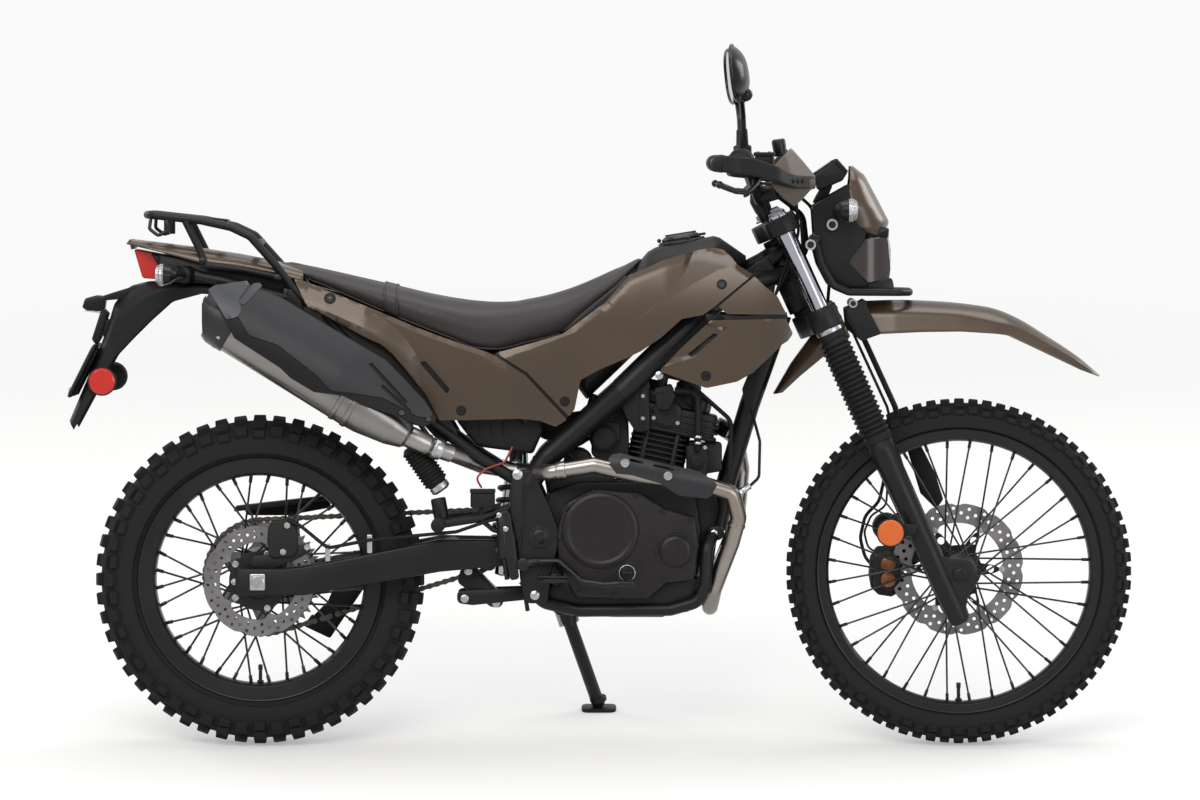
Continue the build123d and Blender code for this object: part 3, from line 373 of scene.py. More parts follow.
# Black anodised rims: dark, smooth and a little metallic.
BLACK_ANODISED = Finish("black_anodised_aluminium", "#161618", "#121214", 0.34, metallic=0.4, mottle_mm=160,
                        grain_mm=1.2, grain_depth_mm=0.006)
# Tyre rubber: dull, with dust in the mottling.
TYRE_RUBBER = Finish("tread_rubber", "#1f1f1f", "#181818", 0.78, mottle_mm=35, grain_mm=1.3,
                     grain_depth_mm=0.05, specular=0.2)
# Soft rubber of bellows, grips and boots.
SOFT_RUBBER = Finish("nitrile_rubber", "#191919", "#141414", 0.6, mottle_mm=50, grain_mm=0.8, grain_depth_mm=0.03,
                     specular=0.2)
# Hard chrome on the fork's inner tubes.
HARD_CHROME = Finish("hard_chrome", "#c3c4cb", "#b4b6be", 0.14, metallic=1.0, mottle_mm=140, grain_mm=0.4,
                     grain_depth_mm=0.001, roughness_spread=0.04)
# Zinc plated bolts and washers.
ZINC_PLATE = Finish("zinc_plated_steel", "#b9b9bb", "#a3a3a6", 0.3, metallic=1.0, mottle_mm=8, grain_mm=0.5,
                    grain_depth_mm=0.01)
# Black oxide fasteners.
BLACK_OXIDE = Finish("black_oxide_steel", "#161617", "#111112", 0.38, metallic=0.4, mottle_mm=9, grain_mm=0.5,
                     grain_depth_mm=0.01)
# Stainless exhaust tube, straw and brown where it runs hot.
EXHAUST_TUBE = HeatTinted("heat_tinted_stainless", "#989592", "#827f7c", 0.3, metallic=1.0, mottle_mm=55,
                          grain_mm=0.7, grain_depth_mm=0.006)
# The silencer's satin stainless shell, brushed along.
SILENCER_STEEL = Finish("brushed_stainless", "#94918e", "#7b7875", 0.34, metallic=1.0, mottle_mm=120,
                        grain_mm=1.4, grain_depth_mm=0.01, stretch=(0.3, 1.0, 1.0))
# Heat-proof slate-grey moulding over the silencer.
SLATE_COVER = Finish("slate_heatproof_plastic", "#2b2b2f", "#262629", 0.4, mottle_mm=150, grain_mm=0.9,
                     grain_depth_mm=0.015, specular=0.3)
# Red sleeve of a lead.
RED_SLEEVE = Finish("red_sleeve_plastic", "#8c2a24", "#7a231f", 0.4, mottle_mm=60, grain_mm=2.0, grain_depth_mm=0.01)
# The paler band on the silencer's cover.
SLATE_TRIM = Finish("slate_trim_plastic", "#3a3d42", "#34373c", 0.36, mottle_mm=90, grain_mm=0.9, grain_depth_mm=0.01)
# Seat vinyl with pebble grain.
SEAT_VINYL = Leatherette("pebbled_seat_vinyl", "#332f30", "#2e2a2b", 0.5, mottle_mm=120, grain_depth_mm=0.12,
                         specular=0.3)
# Ground brake steel, a little blued.
FRONT_DISC_STEEL = TurnedSteel("ground_brake_steel_front", "#8d8a8c", "#777477", 0.3, metallic=1.0,
                               mottle_mm=60, grain_mm=0.8, grain_depth_mm=0.02)
REAR_DISC_STEEL = TurnedSteel("ground_brake_steel_rear", "#8d8a8c", "#777477", 0.3, metallic=1.0,
                              mottle_mm=60, grain_mm=0.8, grain_depth_mm=0.02, axle=REAR_AXLE)
# Oiled chain steel.
CHAIN_STEEL = Finish("oiled_chain_steel", "#6a625a", "#4a4540", 0.36, metallic=0.9, mottle_mm=7, grain_mm=0.6,
                     grain_depth_mm=0.01)
# Cast aluminium left bare.
CAST_ALUMINIUM = Finish("cast_aluminium", "#8f8f92", "#7a7a7e", 0.42, metallic=0.9, mottle_mm=20, grain_mm=0.9,
                        grain_depth_mm=0.03)
# Caliper pistons and pad plates, copper-brown.
COPPER_PLATE = Finish("copper_brown_plate", "#8a5a3c", "#6e4830", 0.36, metallic=0.8, mottle_mm=12, grain_mm=0.6,
                      grain_depth_mm=0.01)
# Clear acrylic of the lamps and signals.
CLEAR_LENS = Lens("clear_acrylic", "#e8ecee", "#e8ecee", 0.08, alpha=0.75)
# Red dyed acrylic of the tail lamp and the rear reflectors.
RED_LENS = Lens("red_acrylic", "#c8281e", "#c8281e", 0.16, alpha=0.15, rib_mm=3.0)
# Amber dyed acrylic of the side reflectors.
AMBER_LENS = Lens("amber_acrylic", "#d4662a", "#d4662a", 0.22, alpha=0.1, rib_mm=2.0)
# Smoked acrylic over the instrument.
SMOKED_LENS = Lens("smoked_acrylic", "#17181b", "#17181b", 0.06, alpha=0.1)
# Silvered glass of the mirrors.
MIRROR_GLASS = Finish("silvered_glass", "#d9dde0", "#d2d6da", 0.03, metallic=1.0, mottle_mm=300, grain_mm=3.0,
                      grain_depth_mm=0.0005, roughness_spread=0.01)


# ---- the workbench: pieces shaped as by hand --------------------------------------------------


def deselect() -> None:
    """Leaves object mode with nothing selected."""
    if bpy.context.object and bpy.context.object.mode != "OBJECT":
        bpy.ops.object.mode_set(mode="OBJECT")
    bpy.ops.object.select_all(action="DESELECT")


def take(piece: bpy.types.Object) -> None:
    """Selects one piece alone and makes it the active one."""
    deselect()
    piece.select_set(True)
    bpy.context.view_layer.objects.active = piece


def edit(piece: bpy.types.Object, kind: str = "FACE", select: str = "SELECT") -> None:
    """Opens a piece in edit mode with all or nothing selected."""
    take(piece)
    bpy.ops.object.mode_set(mode="EDIT")
    bpy.ops.mesh.select_mode(type=kind)
    bpy.ops.mesh.select_all(action=select)


def close_edit() -> None:
    """Goes back to object mode."""
    bpy.ops.object.mode_set(mode="OBJECT")


def choose(piece: bpy.types.Object, test: Callable[[Vector, Vector], bool], kind: str = "FACE") -> int:
    """Selects the faces or vertices whose middle and normal pass a test.

    Args:
        piece: The piece, in edit mode.
        test: Says yes or no to a (middle, normal) pair.
        kind: FACE or VERT.

    Returns:
        How many were selected.
    """
    bpy.ops.mesh.select_mode(type=kind)
    bpy.ops.mesh.select_all(action="DESELECT")
    form = bmesh.from_edit_mesh(piece.data)
    count = 0
    for item in form.faces if kind == "FACE" else form.verts:
        middle = item.calc_center_median() if kind == "FACE" else item.co
        if test(middle, item.normal):
            item.select_set(True)
            count += 1
    form.select_flush_mode()
    bmesh.update_edit_mesh(piece.data)
    return count


def outward(piece: bpy.types.Object) -> None:
    """Merges doubles and turns all faces out."""
    edit(piece)
    bpy.ops.mesh.remove_doubles(threshold=MERGE_MM)
    bpy.ops.mesh.normals_make_consistent(inside=False)
    close_edit()


def apply_all(piece: bpy.types.Object) -> None:
    """Applies each modifier of a piece in turn."""
    take(piece)
    for modifier in list(piece.modifiers):
        bpy.ops.object.modifier_apply(modifier=modifier.name)


def bevel(piece: bpy.types.Object, width: float, segments: int = 2, angle: float = 35.0) -> None:
    """Rounds the sharp edges of a piece with an applied bevel."""
    modifier = piece.modifiers.new("edge_round", "BEVEL")
    modifier.width = width
    modifier.segments = segments
    modifier.limit_method = "ANGLE"
    modifier.angle_limit = math.radians(angle)
    modifier.use_clamp_overlap = True
    apply_all(piece)


def smooth(piece: bpy.types.Object, angle: float = 35.0) -> None:
    """Shades a piece smooth up to an angle."""
    take(piece)
    bpy.ops.object.shade_smooth_by_angle(angle=math.radians(angle))


def place(piece: bpy.types.Object, matrix: Matrix) -> bpy.types.Object:
    """Moves a piece's mesh by a matrix and keeps its faces out.

    Args:
        piece: The piece, with its object at the origin.
        matrix: Where it goes.

    Returns:
        The same piece.
    """
    piece.data.transform(matrix)
    if matrix.determinant() < 0:
        piece.data.flip_normals()
    piece.data.update()
    return piece


def copy_of(piece: bpy.types.Object, matrix: Matrix | None = None) -> bpy.types.Object:
    """Copies a piece with its own mesh, moved by a matrix."""
    twin = piece.copy()
    twin.data = piece.data.copy()
    bpy.context.scene.collection.objects.link(twin)
    if matrix is not None:
        place(twin, matrix)
    return twin


def join(pieces: Sequence[bpy.types.Object]) -> bpy.types.Object:
    """Joins pieces into the first one."""
    deselect()
    for piece in pieces:
        piece.select_set(True)
    bpy.context.view_layer.objects.active = pieces[0]
    if len(pieces) > 1:
        bpy.ops.object.join()
    return pieces[0]


def mirrored(piece: bpy.types.Object) -> bpy.types.Object:
    """Adds the twin of a piece on the other side of the bike."""
    return join([piece, copy_of(piece, FLIP_SIDE)])


def basis(z_dir: Sequence[float], x_hint: Sequence[float] = (1.0, 0.0, 0.0), at: Sequence[float] = (0, 0, 0)) -> Matrix:
    """Gives the matrix of a place whose Z points along z_dir and X near x_hint."""
    z_axis = Vector(z_dir).normalized()
    hint = Vector(x_hint)
    if abs(z_axis.dot(hint.normalized())) > 0.98:
        hint = Vector((0.0, 0.0, 1.0)) if abs(z_axis.z) < 0.9 else Vector((0.0, 1.0, 0.0))
    y_axis = z_axis.cross(hint).normalized()
    x_axis = y_axis.cross(z_axis)
    return Matrix((
        (x_axis.x, y_axis.x, z_axis.x, at[0]), (x_axis.y, y_axis.y, z_axis.y, at[1]),
        (x_axis.z, y_axis.z, z_axis.z, at[2]), (0, 0, 0, 1),
    ))


def outward_seat(side: int, x: float, y: float, z: float) -> Matrix:
    """Gives a place that faces away from the bike's middle, on the right (-1) or the left (1)."""
    return basis((0, side, 0), at=(x, side * y, z))


SIDEWAYS = Matrix(((1, 0, 0, 0), (0, 0, 1, 0), (0, 1, 0, 0), (0, 0, 0, 1)))
FLIP_SIDE = Matrix.Scale(-1, 4, (0, 1, 0))
FORK_BASIS = Matrix((
    (FORK_FORWARD.x, 0, FORK_UP.x, FORK_ROOT.x), (0, 1, 0, 0),
    (FORK_FORWARD.z, 0, FORK_UP.z, FORK_ROOT.z), (0, 0, 0, 1),
))


def corner_arc(start: Vector, corner: Vector, stop: Vector, steps: int) -> list[Vector]:
    """Gives the points of a curve that rounds a corner from start to stop."""
    parts = [step / steps for step in range(steps + 1)]
    return [start * (1 - part) ** 2 + corner * 2 * part * (1 - part) + stop * part ** 2 for part in parts]


def rounded(rows: Sequence[Row], steps: int = 5) -> list[Flat]:
    """Turns (across, up, corner radius) rows into points with arcs at the corners.

    Args:
        rows: The outline's corners in order.
        steps: How many spans each arc has.

    Returns:
        The closed outline's points.
    """
    points = []
    for index, (x, y, radius) in enumerate(rows):
        here = Vector((x, y))
        before = Vector(rows[index - 1][:2]) - here
        after = Vector(rows[(index + 1) % len(rows)][:2]) - here
        half = before.angle(after, math.pi) / 2
        cut = radius / max(math.tan(half), LEAST_SLOPE)
        cut = min(cut, before.length * 0.49, after.length * 0.49)
        if radius <= 0 or cut < SHORTEST_MM or half > math.radians(STRAIGHT_DEG):
            points.append((x, y))
            continue
        start = here + before.normalized() * cut
        stop = here + after.normalized() * cut
        points += [tuple(spot) for spot in corner_arc(start, here, stop, steps)]
    return points


def oblong(left: float, low: float, right: float, high: float, radius: float) -> list[Row]:
    """Gives the rows of a four-sided outline whose corners share one radius."""
    return [(left, low, radius), (right, low, radius), (right, high, radius), (left, high, radius)]


def flat_face(points: Sequence[Flat]) -> bpy.types.Object:
    """Lays a polygon on the ground plane, made from a circle of as many corners.

    Args:
        points: Its corners.

    Returns:
        The flat piece.
    """
    deselect()
    bpy.ops.mesh.primitive_circle_add(vertices=len(points), radius=1.0, fill_type="NGON")
    piece = bpy.context.object
    for vertex, point in zip(piece.data.vertices, points):
        vertex.co = (point[0], point[1], 0.0)
    piece.data.update()
    edit(piece)
    bpy.ops.mesh.normals_make_consistent(inside=False)
    close_edit()
    if piece.data.polygons[0].normal.z < 0:
        piece.data.flip_normals()
    return piece


def plate(rows: Sequence[Row], low: float, high: float, edge: float = 1.0, segments: int = 2) -> bpy.types.Object:
    """Extrudes an outline of rounded rows, from low to high, with softened edges.

    Args:
        rows: (across, up, corner radius) rows.
        low: Height of the lower face.
        high: Height of the upper face.
        edge: Width of the bevel round its faces.
        segments: Spans of the bevel.

    Returns:
        The plate, flat on XY.
    """
    piece = flat_face(rounded(rows))
    edit(piece)
    bpy.ops.mesh.extrude_region_move(TRANSFORM_OT_translate={"value": (0, 0, high - low)})
    close_edit()
    place(piece, Matrix.Translation((0, 0, low)))
    outward(piece)
    if edge > 0:
        bevel(piece, edge, segments, RIM_DEG)
    smooth(piece, SHADE_DEG)
    return piece


def side_plate(rows: Sequence[Row], y_low: float, y_high: float, edge: float = 1.0,
               segments: int = 2) -> bpy.types.Object:
    """Makes a plate from its side view, thick from y_low to y_high."""
    return place(plate(rows, y_low, y_high, edge, segments), SIDEWAYS)


def rod(radius: float, start: Sequence[float], stop: Sequence[float], edge: float = 1.0,
        sides: int = 32) -> bpy.types.Object:
    """Makes a round bar with softened ends between two points.

    Args:
        radius: Its radius.
        start: One end.
        stop: The other end.
        edge: Bevel at its ends.
        sides: Sides of its section.

    Returns:
        The bar.
    """
    run = Vector(stop) - Vector(start)
    deselect()
    bpy.ops.mesh.primitive_cylinder_add(vertices=sides, radius=radius, depth=run.length,
                                        location=(0, 0, run.length / 2))
    piece = bpy.context.object
    bpy.ops.object.transform_apply(location=True, rotation=True, scale=True)
    if edge > 0:
        bevel(piece, edge, 2, RIM_DEG)
    smooth(piece, SHADE_DEG)
    return place(piece, basis(run, at=start))


def cross_bar(radius: float, x: float, half: float, z: float, edge: float, sides: int) -> bpy.types.Object:
    """Makes a round bar straight across the bike, as long to the right as to the left."""
    return rod(radius, (x, -half, z), (x, half, z), edge, sides)


def lathe(rows: Sequence[Row], steps: int = 64, edge: float = 0.0) -> bpy.types.Object:
    """Spins a closed profile about the Z axis.

    Args:
        rows: (radius, height, corner radius) rows of the closed profile.
        steps: Steps of the spin.
        edge: Bevel of its sharp edges.

    Returns:
        The turned piece, standing on Z.
    """
    profile = rounded(rows, 4)
    deselect()
    bpy.ops.mesh.primitive_circle_add(vertices=len(profile), radius=1.0)
    piece = bpy.context.object
    for vertex, (radius, height) in zip(piece.data.vertices, profile):
        vertex.co = (max(radius, 0.0), 0.0, height)
    edit(piece, "VERT")
    bpy.ops.mesh.spin(steps=steps, angle=math.tau, center=(0, 0, 0), axis=(0, 0, 1), dupli=False)
    close_edit()
    outward(piece)
    if edge > 0:
        bevel(piece, edge, 2, 40.0)
    smooth(piece, SHADE_DEG)
    return piece


def path_points(points: Sequence[Sequence[float]], bend: float, steps: int = 6) -> list[Vector]:
    """Rounds the corners of a route with curves of about one bend radius.

    Args:
        points: The route's corners.
        bend: Radius of its bends.
        steps: Spans of each bend.

    Returns:
        The points of the route.
    """
    route = [Vector(p) for p in points]
    made = [route[0]]
    for index in range(1, len(route) - 1):
        here = route[index]
        before, after = route[index - 1] - here, route[index + 1] - here
        half = before.angle(after, math.pi) / 2
        cut = min(bend / max(math.tan(half), LEAST_SLOPE), before.length * 0.48, after.length * 0.48)
        start, stop = here + before.normalized() * cut, here + after.normalized() * cut
        made += corner_arc(start, here, stop, steps)
    made.append(route[-1])
    return made


def pipe(points: Sequence[Sequence[float]], radius: float, bend: float = 30.0, sides: int = 8,
         capped: bool = True, radii: Sequence[float] | None = None) -> bpy.types.Object:
    """Bends a round bar or hose along a route.

    Args:
        points: Corners of the route.
        radius: Radius of the bar.
        bend: Radius of the bends.
        sides: A quarter of the sides round the bar.
        capped: Whether its ends are closed.
        radii: Factors on the radius along the route, start to end.

    Returns:
        The bar as a mesh.
    """
    route = path_points(points, bend) if bend > 0 else [Vector(p) for p in points]
    curve = bpy.data.curves.new("pipe", "CURVE")
    curve.dimensions = "3D"
    curve.bevel_depth = radius
    curve.bevel_resolution = sides
    curve.use_fill_caps = capped
    spline = curve.splines.new("POLY")
    spline.points.add(len(route) - 1)
    for index, point in enumerate(route):
        spline.points[index].co = (point.x, point.y, point.z, 1.0)
        if radii:
            part = index / (len(route) - 1) * (len(radii) - 1)
            low = min(int(part), len(radii) - 2)
            spline.points[index].radius = radii[low] + (radii[low + 1] - radii[low]) * (part - low)
    piece = bpy.data.objects.new("pipe", curve)
    bpy.context.scene.collection.objects.link(piece)
    take(piece)
    bpy.ops.object.convert(target="MESH")
    piece = bpy.context.object
    outward(piece)
    smooth(piece, 50)
    return piece


def ball(radius: float, at: Sequence[float], squash: Sequence[float] = (1, 1, 1)) -> bpy.types.Object:
    """Makes a rounded knob."""
    deselect()
    bpy.ops.mesh.primitive_uv_sphere_add(segments=24, ring_count=12, radius=radius)
    piece = bpy.context.object
    place(piece, Matrix.Translation(at) @ Matrix.Diagonal((*squash, 1)))
    smooth(piece, 60)
    return piece


def patterned(piece: bpy.types.Object, places: Iterable[Matrix]) -> bpy.types.Object:
    """Copies one modelled piece to many places and joins the copies.

    Args:
        piece: The piece that repeats. It is used up.
        places: The matrix of each copy.

    Returns:
        The joined piece.
    """
    form = bmesh.new()
    source = piece.data
    for matrix in places:
        twin = source.copy()
        twin.transform(matrix)
        if matrix.determinant() < 0:
            twin.flip_normals()
        form.from_mesh(twin)
        bpy.data.meshes.remove(twin)
    made = copy_of(piece)
    form.to_mesh(made.data)
    form.free()
    bpy.data.objects.remove(piece)
    return made


def bolt_head(radius: float, height: float, style: str = "hex") -> bpy.types.Object:
    """Models one bolt standing on Z, with its washer face.

    Args:
        radius: Radius across its head.
        height: Height of the head.
        style: hex, flange, socket or button.

    Returns:
        The bolt's head.
    """
    sides = 6 if style in ("hex", "flange") else 24
    deselect()
    bpy.ops.mesh.primitive_cylinder_add(vertices=sides, radius=radius * (0.8 if style == "flange" else 1.0),
                                        depth=height, location=(0, 0, height / 2))
    head = bpy.context.object
    bpy.ops.object.transform_apply(location=True, rotation=True, scale=True)
    edit(head, "FACE", "DESELECT")
    choose(head, lambda middle, normal: normal.z > 0.9)
    if style in ("socket", "button"):
        bpy.ops.mesh.inset(thickness=radius * 0.45)
        bpy.ops.mesh.extrude_region_move(TRANSFORM_OT_translate={"value": (0, 0, -height * 0.6)})
    else:
        bpy.ops.mesh.inset(thickness=radius * 0.12)
        bpy.ops.transform.translate(value=(0, 0, height * 0.12))
    close_edit()
    if style == "flange":
        washer = lathe([(0, -0.2, 0), (radius, -0.2, 0), (radius, height * 0.2, 0.2),
                        (radius * 0.82, height * 0.34, 0.2), (0, height * 0.34, 0)], 24)
        head = join([head, washer])
    smooth(head, 30)
    return head


def bolts(seats: Sequence[tuple[Sequence[float], Sequence[float]]], radius: float, height: float,
          style: str = "flange") -> bpy.types.Object:
    """Sets like bolts at (place, outward direction) seats."""
    return patterned(bolt_head(radius, height, style), [basis(way, at=spot) for spot, way in seats])


def add_line(points: list[Vector], edges: list[tuple[int, int]], line: Sequence[Flat], closed: bool = True) -> None:
    """Adds a line's points and the edges between them to a flat mesh that is being laid out."""
    start, count = len(points), len(line)
    points += [Vector(p) for p in line]
    edges += [(start + i, start + (i + 1) % count) for i in range(count if closed else count - 1)]


def from_form(form: bmesh.types.BMesh) -> bpy.types.Object:
    """Makes an object of a mesh form without its loose points, and uses the form up."""
    bmesh.ops.delete(form, geom=[v for v in form.verts if not v.link_faces], context="VERTS")
    deselect()
    bpy.ops.mesh.primitive_plane_add()
    piece = bpy.context.object
    form.to_mesh(piece.data)
    form.free()
    return piece


def both_sides(y: float, *spots: Flat) -> list[tuple[Point, Point]]:
    """Gives (place, outward direction) seats for (x, z) spots on the right and on the left."""
    return [((x, side * y, z), (0, side, 0)) for side in (-1, 1) for x, z in spots]


def panel(rows: Sequence[Row], surface: Callable[[float, float], float], thickness: float,
          creases: Sequence[Sequence[Flat]] = (), spacing: float = 14.0, edge: float = 1.2,
          holes: Sequence[Sequence[Row]] = (), outside: int = 1) -> bpy.types.Object:
    """Moulds a side panel: a side-view outline laid on a curved surface, with its wall.

    Args:
        rows: (x, z, corner radius) rows of the outline.
        surface: Gives the outer face's y for an (x, z) point.
        thickness: Wall thickness.
        creases: Lines of (x, z) that stay sharp in the mesh.
        spacing: Distance between the mesh's inner points.
        edge: Width of the rounded rim.
        holes: Outlines cut through the panel.
        outside: 1 for a left panel, -1 for one on the right.

    Returns:
        The panel's mesh.
    """
    rim = resample(rounded(rows, 6), spacing * 0.7)
    cuts = [resample(rounded(hole, 4), spacing * 0.5) for hole in holes]
    points: list[Vector] = []
    edges: list[tuple[int, int]] = []
    for outline in (rim, *cuts):
        add_line(points, edges, outline)
    for line in creases:
        add_line(points, edges, resample(line, spacing * 0.7, closed=False), closed=False)
    xs, zs = [p[0] for p in rim], [p[1] for p in rim]
    row_step = spacing * LATTICE_RISE
    for row in range(int((max(zs) - min(zs)) / row_step) + 1):
        for column in range(int((max(xs) - min(xs)) / spacing) + 2):
            spot = (min(xs) + (column + 0.5 * (row % 2)) * spacing, min(zs) + (row + 0.4) * row_step)
            clear = all(abs(beside(spot, line)) > spacing * 0.45 for line in creases)
            if clear and inside(spot, rim, spacing * 0.35) and not any(inside(spot, cut,
                -spacing * 0.3) for cut in cuts):
                points.append(Vector(spot))
    verts, _, faces, _, _, _ = delaunay_2d_cdt(points, edges, [], 1, 1e-4)
    form = bmesh.new()
    made = [form.verts.new((v.x, surface(v.x, v.y), v.y)) for v in verts]
    for face in faces:
        middle = sum((verts[i] for i in face), Vector((0, 0))) / len(face)
        if any(inside(middle, cut, 0) for cut in cuts) or not inside(middle, rim, -1e-3):
            continue
        try:
            form.faces.new([made[i] for i in face])
        except ValueError:
            continue
    bmesh.ops.recalc_face_normals(form, faces=form.faces)
    if sum(f.normal.y * f.calc_area() for f in form.faces) * outside < 0:
        bmesh.ops.reverse_faces(form, faces=form.faces)
    piece = thicken(from_form(form), thickness)
    if edge > 0:
        bevel(piece, edge, 2, 60.0)
    smooth(piece, 20)
    return piece


def slice_across(piece: bpy.types.Object, x: float) -> None:
    """Cuts new edges round a piece where it crosses a plane, so that it can bend there."""
    edit(piece)
    bpy.ops.mesh.bisect(plane_co=(x, 0, 0), plane_no=(1, 0, 0))
    close_edit()


def slice_off(piece: bpy.types.Object, spot: Point, way: Point) -> None:
    """Cuts off what lies past a plane and closes the cut, which stays selected.

    Args:
        piece: Mesh to cut.
        spot: A point on the plane.
        way: The plane's normal, toward the side that is taken away.
    """
    edit(piece)
    bpy.ops.mesh.bisect(plane_co=spot, plane_no=way, use_fill=True, clear_outer=True)
    close_edit()


def sink_face(piece: bpy.types.Object, rim: float, shift: Point) -> None:
    """Insets the selected face and moves its middle, in or out."""
    bpy.context.view_layer.objects.active = piece
    bpy.ops.object.mode_set(mode="EDIT")
    bpy.ops.mesh.select_mode(type="FACE")
    bpy.ops.mesh.inset(thickness=rim, depth=0.0)
    bpy.ops.transform.translate(value=shift)
    bpy.ops.object.mode_set(mode="OBJECT")


def shift_sideways(piece: bpy.types.Object, offset: Callable[[float], float]) -> None:
    """Moves every vertex across the machine by an amount that depends on its x.

    Args:
        piece: Mesh to bend.
        offset: Gives the shift in millimetres for an x in millimetres.
    """
    for vertex in piece.data.vertices:
        vertex.co.y += offset(vertex.co.x)


def resample(points: Sequence[Flat], spacing: float, closed: bool = True) -> list[Flat]:
    """Splits the long edges of a line so that none is longer than spacing."""
    made: list[Flat] = []
    ends = list(points) + ([points[0]] if closed else [])
    for start, stop in zip(ends, ends[1:]):
        length = math.hypot(stop[0] - start[0], stop[1] - start[1])
        if length < SHORTEST_MM:
            continue
        count = max(1, int(math.ceil(length / spacing)))
        made += [(start[0] + (stop[0] - start[0]) * i / count, start[1] + (stop[1] - start[1]) * i / count)
                 for i in range(count)]
    if not closed:
        made.append(tuple(ends[-1]))
    return made


def inside(spot: Sequence[float], rim: Sequence[Flat], margin: float) -> bool:
    """Says whether a point lies inside a closed outline, at least margin from its edge."""
    x, y = spot[0], spot[1]
    odd = False
    nearest = 1e9
    for (ax, ay), (bx, by) in zip(rim, list(rim[1:]) + [rim[0]]):
        if (ay > y) != (by > y) and x < (bx - ax) * (y - ay) / (by - ay) + ax:
            odd = not odd
        length = (bx - ax) ** 2 + (by - ay) ** 2
        part = 0.0 if length == 0 else max(0.0, min(1.0, ((x - ax) * (bx - ax) + (y - ay) * (by - ay)) / length))
        nearest = min(nearest, math.hypot(x - ax - part * (bx - ax), y - ay - part * (by - ay)))
    if margin >= 0:
        return odd and nearest >= margin
    return odd or nearest <= -margin


def blank(columns: int, rows: int, corner: Callable[[float, float], Sequence[float]],
          wrap: bool = False) -> bpy.types.Object:
    """Shapes a grid of rows and columns over a surface given by a formula.

    Args:
        columns: Spans along.
        rows: Spans across.
        corner: Gives the place for (along, across), each from 0 to 1.
        wrap: Whether the last row meets the first.

    Returns:
        The sheet.
    """
    deselect()
    bpy.ops.mesh.primitive_grid_add(x_subdivisions=columns, y_subdivisions=rows, size=2.0)
    piece = bpy.context.object
    for vertex in piece.data.vertices:
        along, across = (vertex.co.x + 1) / 2, (vertex.co.y + 1) / 2
        vertex.co = corner(along, across)
    piece.data.update()
    if wrap:
        edit(piece)
        bpy.ops.mesh.remove_doubles(threshold=WELD_MM)
        close_edit()
    return piece


def close_ends(piece: bpy.types.Object) -> None:
    """Closes the two open ends of a sleeve."""
    edit(piece, "EDGE", "DESELECT")
    bpy.ops.mesh.select_non_manifold()
    bpy.ops.mesh.edge_face_add()
    close_edit()
    outward(piece)


def thicken(piece: bpy.types.Object, thickness: float, offset: float = -1.0) -> bpy.types.Object:
    """Gives a sheet its wall."""
    wall = piece.modifiers.new("wall", "SOLIDIFY")
    wall.thickness = thickness
    wall.offset = offset
    wall.use_even_offset = False
    apply_all(piece)
    return piece


def mould(sheet: bpy.types.Object, wall: float, edge: float = 1.0, angle: float = 30.0) -> None:
    """Gives a sheet its wall, rounds the rims by edge and shades it smooth up to an angle."""
    thicken(sheet, wall)
    bevel(sheet, edge, 2, 60)
    smooth(sheet, angle)


def face_up(piece: bpy.types.Object, test: Callable[[Vector], float]) -> bpy.types.Object:
    """Turns a sheet's faces so that most point where test is positive."""
    edit(piece)
    bpy.ops.mesh.normals_make_consistent(inside=False)
    close_edit()
    if sum(test(f.normal) * f.area for f in piece.data.polygons) < 0:
        piece.data.flip_normals()
    return piece


def round_off(piece: bpy.types.Object, levels: int = 1) -> bpy.types.Object:
    """Subdivides a piece smoothly."""
    modifier = piece.modifiers.new("rounding", "SUBSURF")
    modifier.levels = levels
    modifier.render_levels = levels
    apply_all(piece)
    smooth(piece, 60)
    return piece


@dataclass
class Assembly:
    """One sub-assembly: what it is called, the body it rides on, and how its pieces are set out."""

    body: Body = Body.FRAME
    made: list[str] = field(default_factory=list)

    def build(self) -> None:
        """Models and dresses every piece."""
        raise NotImplementedError

    def finish(self, piece: bpy.types.Object | list[bpy.types.Object], name: str, finish: Finish, slot: str,
               stands_for: Sequence[str] = ()) -> bpy.types.Object:
        """Parks a piece with the bike, paints it and sets it on its body.

        Args:
            piece: The piece, upright and in millimetres, or the list of those to join into it.
            name: Its name.
            finish: Its surface.
            slot: The record's material slot; not used.
            stands_for: CAD nodes that it replaces.

        Returns:
            The finished piece, in metres.
        """
        piece = join(piece) if isinstance(piece, list) else piece
        piece.name = name
        piece.data.transform(PARKED @ Matrix.Scale(MM, 4))
        piece.data.update()
        piece.data.materials.clear()
        piece.data.materials.append(finish.build())
        for polygon in piece.data.polygons:
            polygon.material_index = 0
        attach(piece, self.body.value)
        if stands_for:
            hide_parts(*stands_for)
        self.made.append(name)
        LOG.info("%s: %d faces on %s", name, len(piece.data.polygons), self.body.value)
        return piece


def perforated(outer: Sequence[Flat], holes: Sequence[Sequence[Flat]], low: float, high: float,
               edge: float = 0.4) -> bpy.types.Object:
    """Cuts a flat plate with holes through it.

    Args:
        outer: Points of its outline.
        holes: Points of each hole.
        low: Height of the lower face.
        high: Height of the upper face.
        edge: Bevel of its edges.

    Returns:
        The plate, flat on XY.
    """
    points: list[Vector] = []
    edges: list[tuple[int, int]] = []
    for outline in (outer, *holes):
        add_line(points, edges, outline)
    verts, _, faces, _, _, _ = delaunay_2d_cdt(points, edges, [], 1, 1e-4)
    form = bmesh.new()
    made = [form.verts.new((v.x, v.y, low)) for v in verts]
    for face in faces:
        middle = sum((verts[i] for i in face), Vector((0, 0))) / len(face)
        if not any(inside(middle, hole, 0) for hole in holes):
            form.faces.new([made[i] for i in face])
    for face in form.faces:
        face.normal_update()
        if face.normal.z < 0:
            face.normal_flip()
    piece = thicken(from_form(form), high - low, 1.0)
    if edge > 0:
        bevel(piece, edge, 1, 60.0)
    smooth(piece, 30)
    return piece


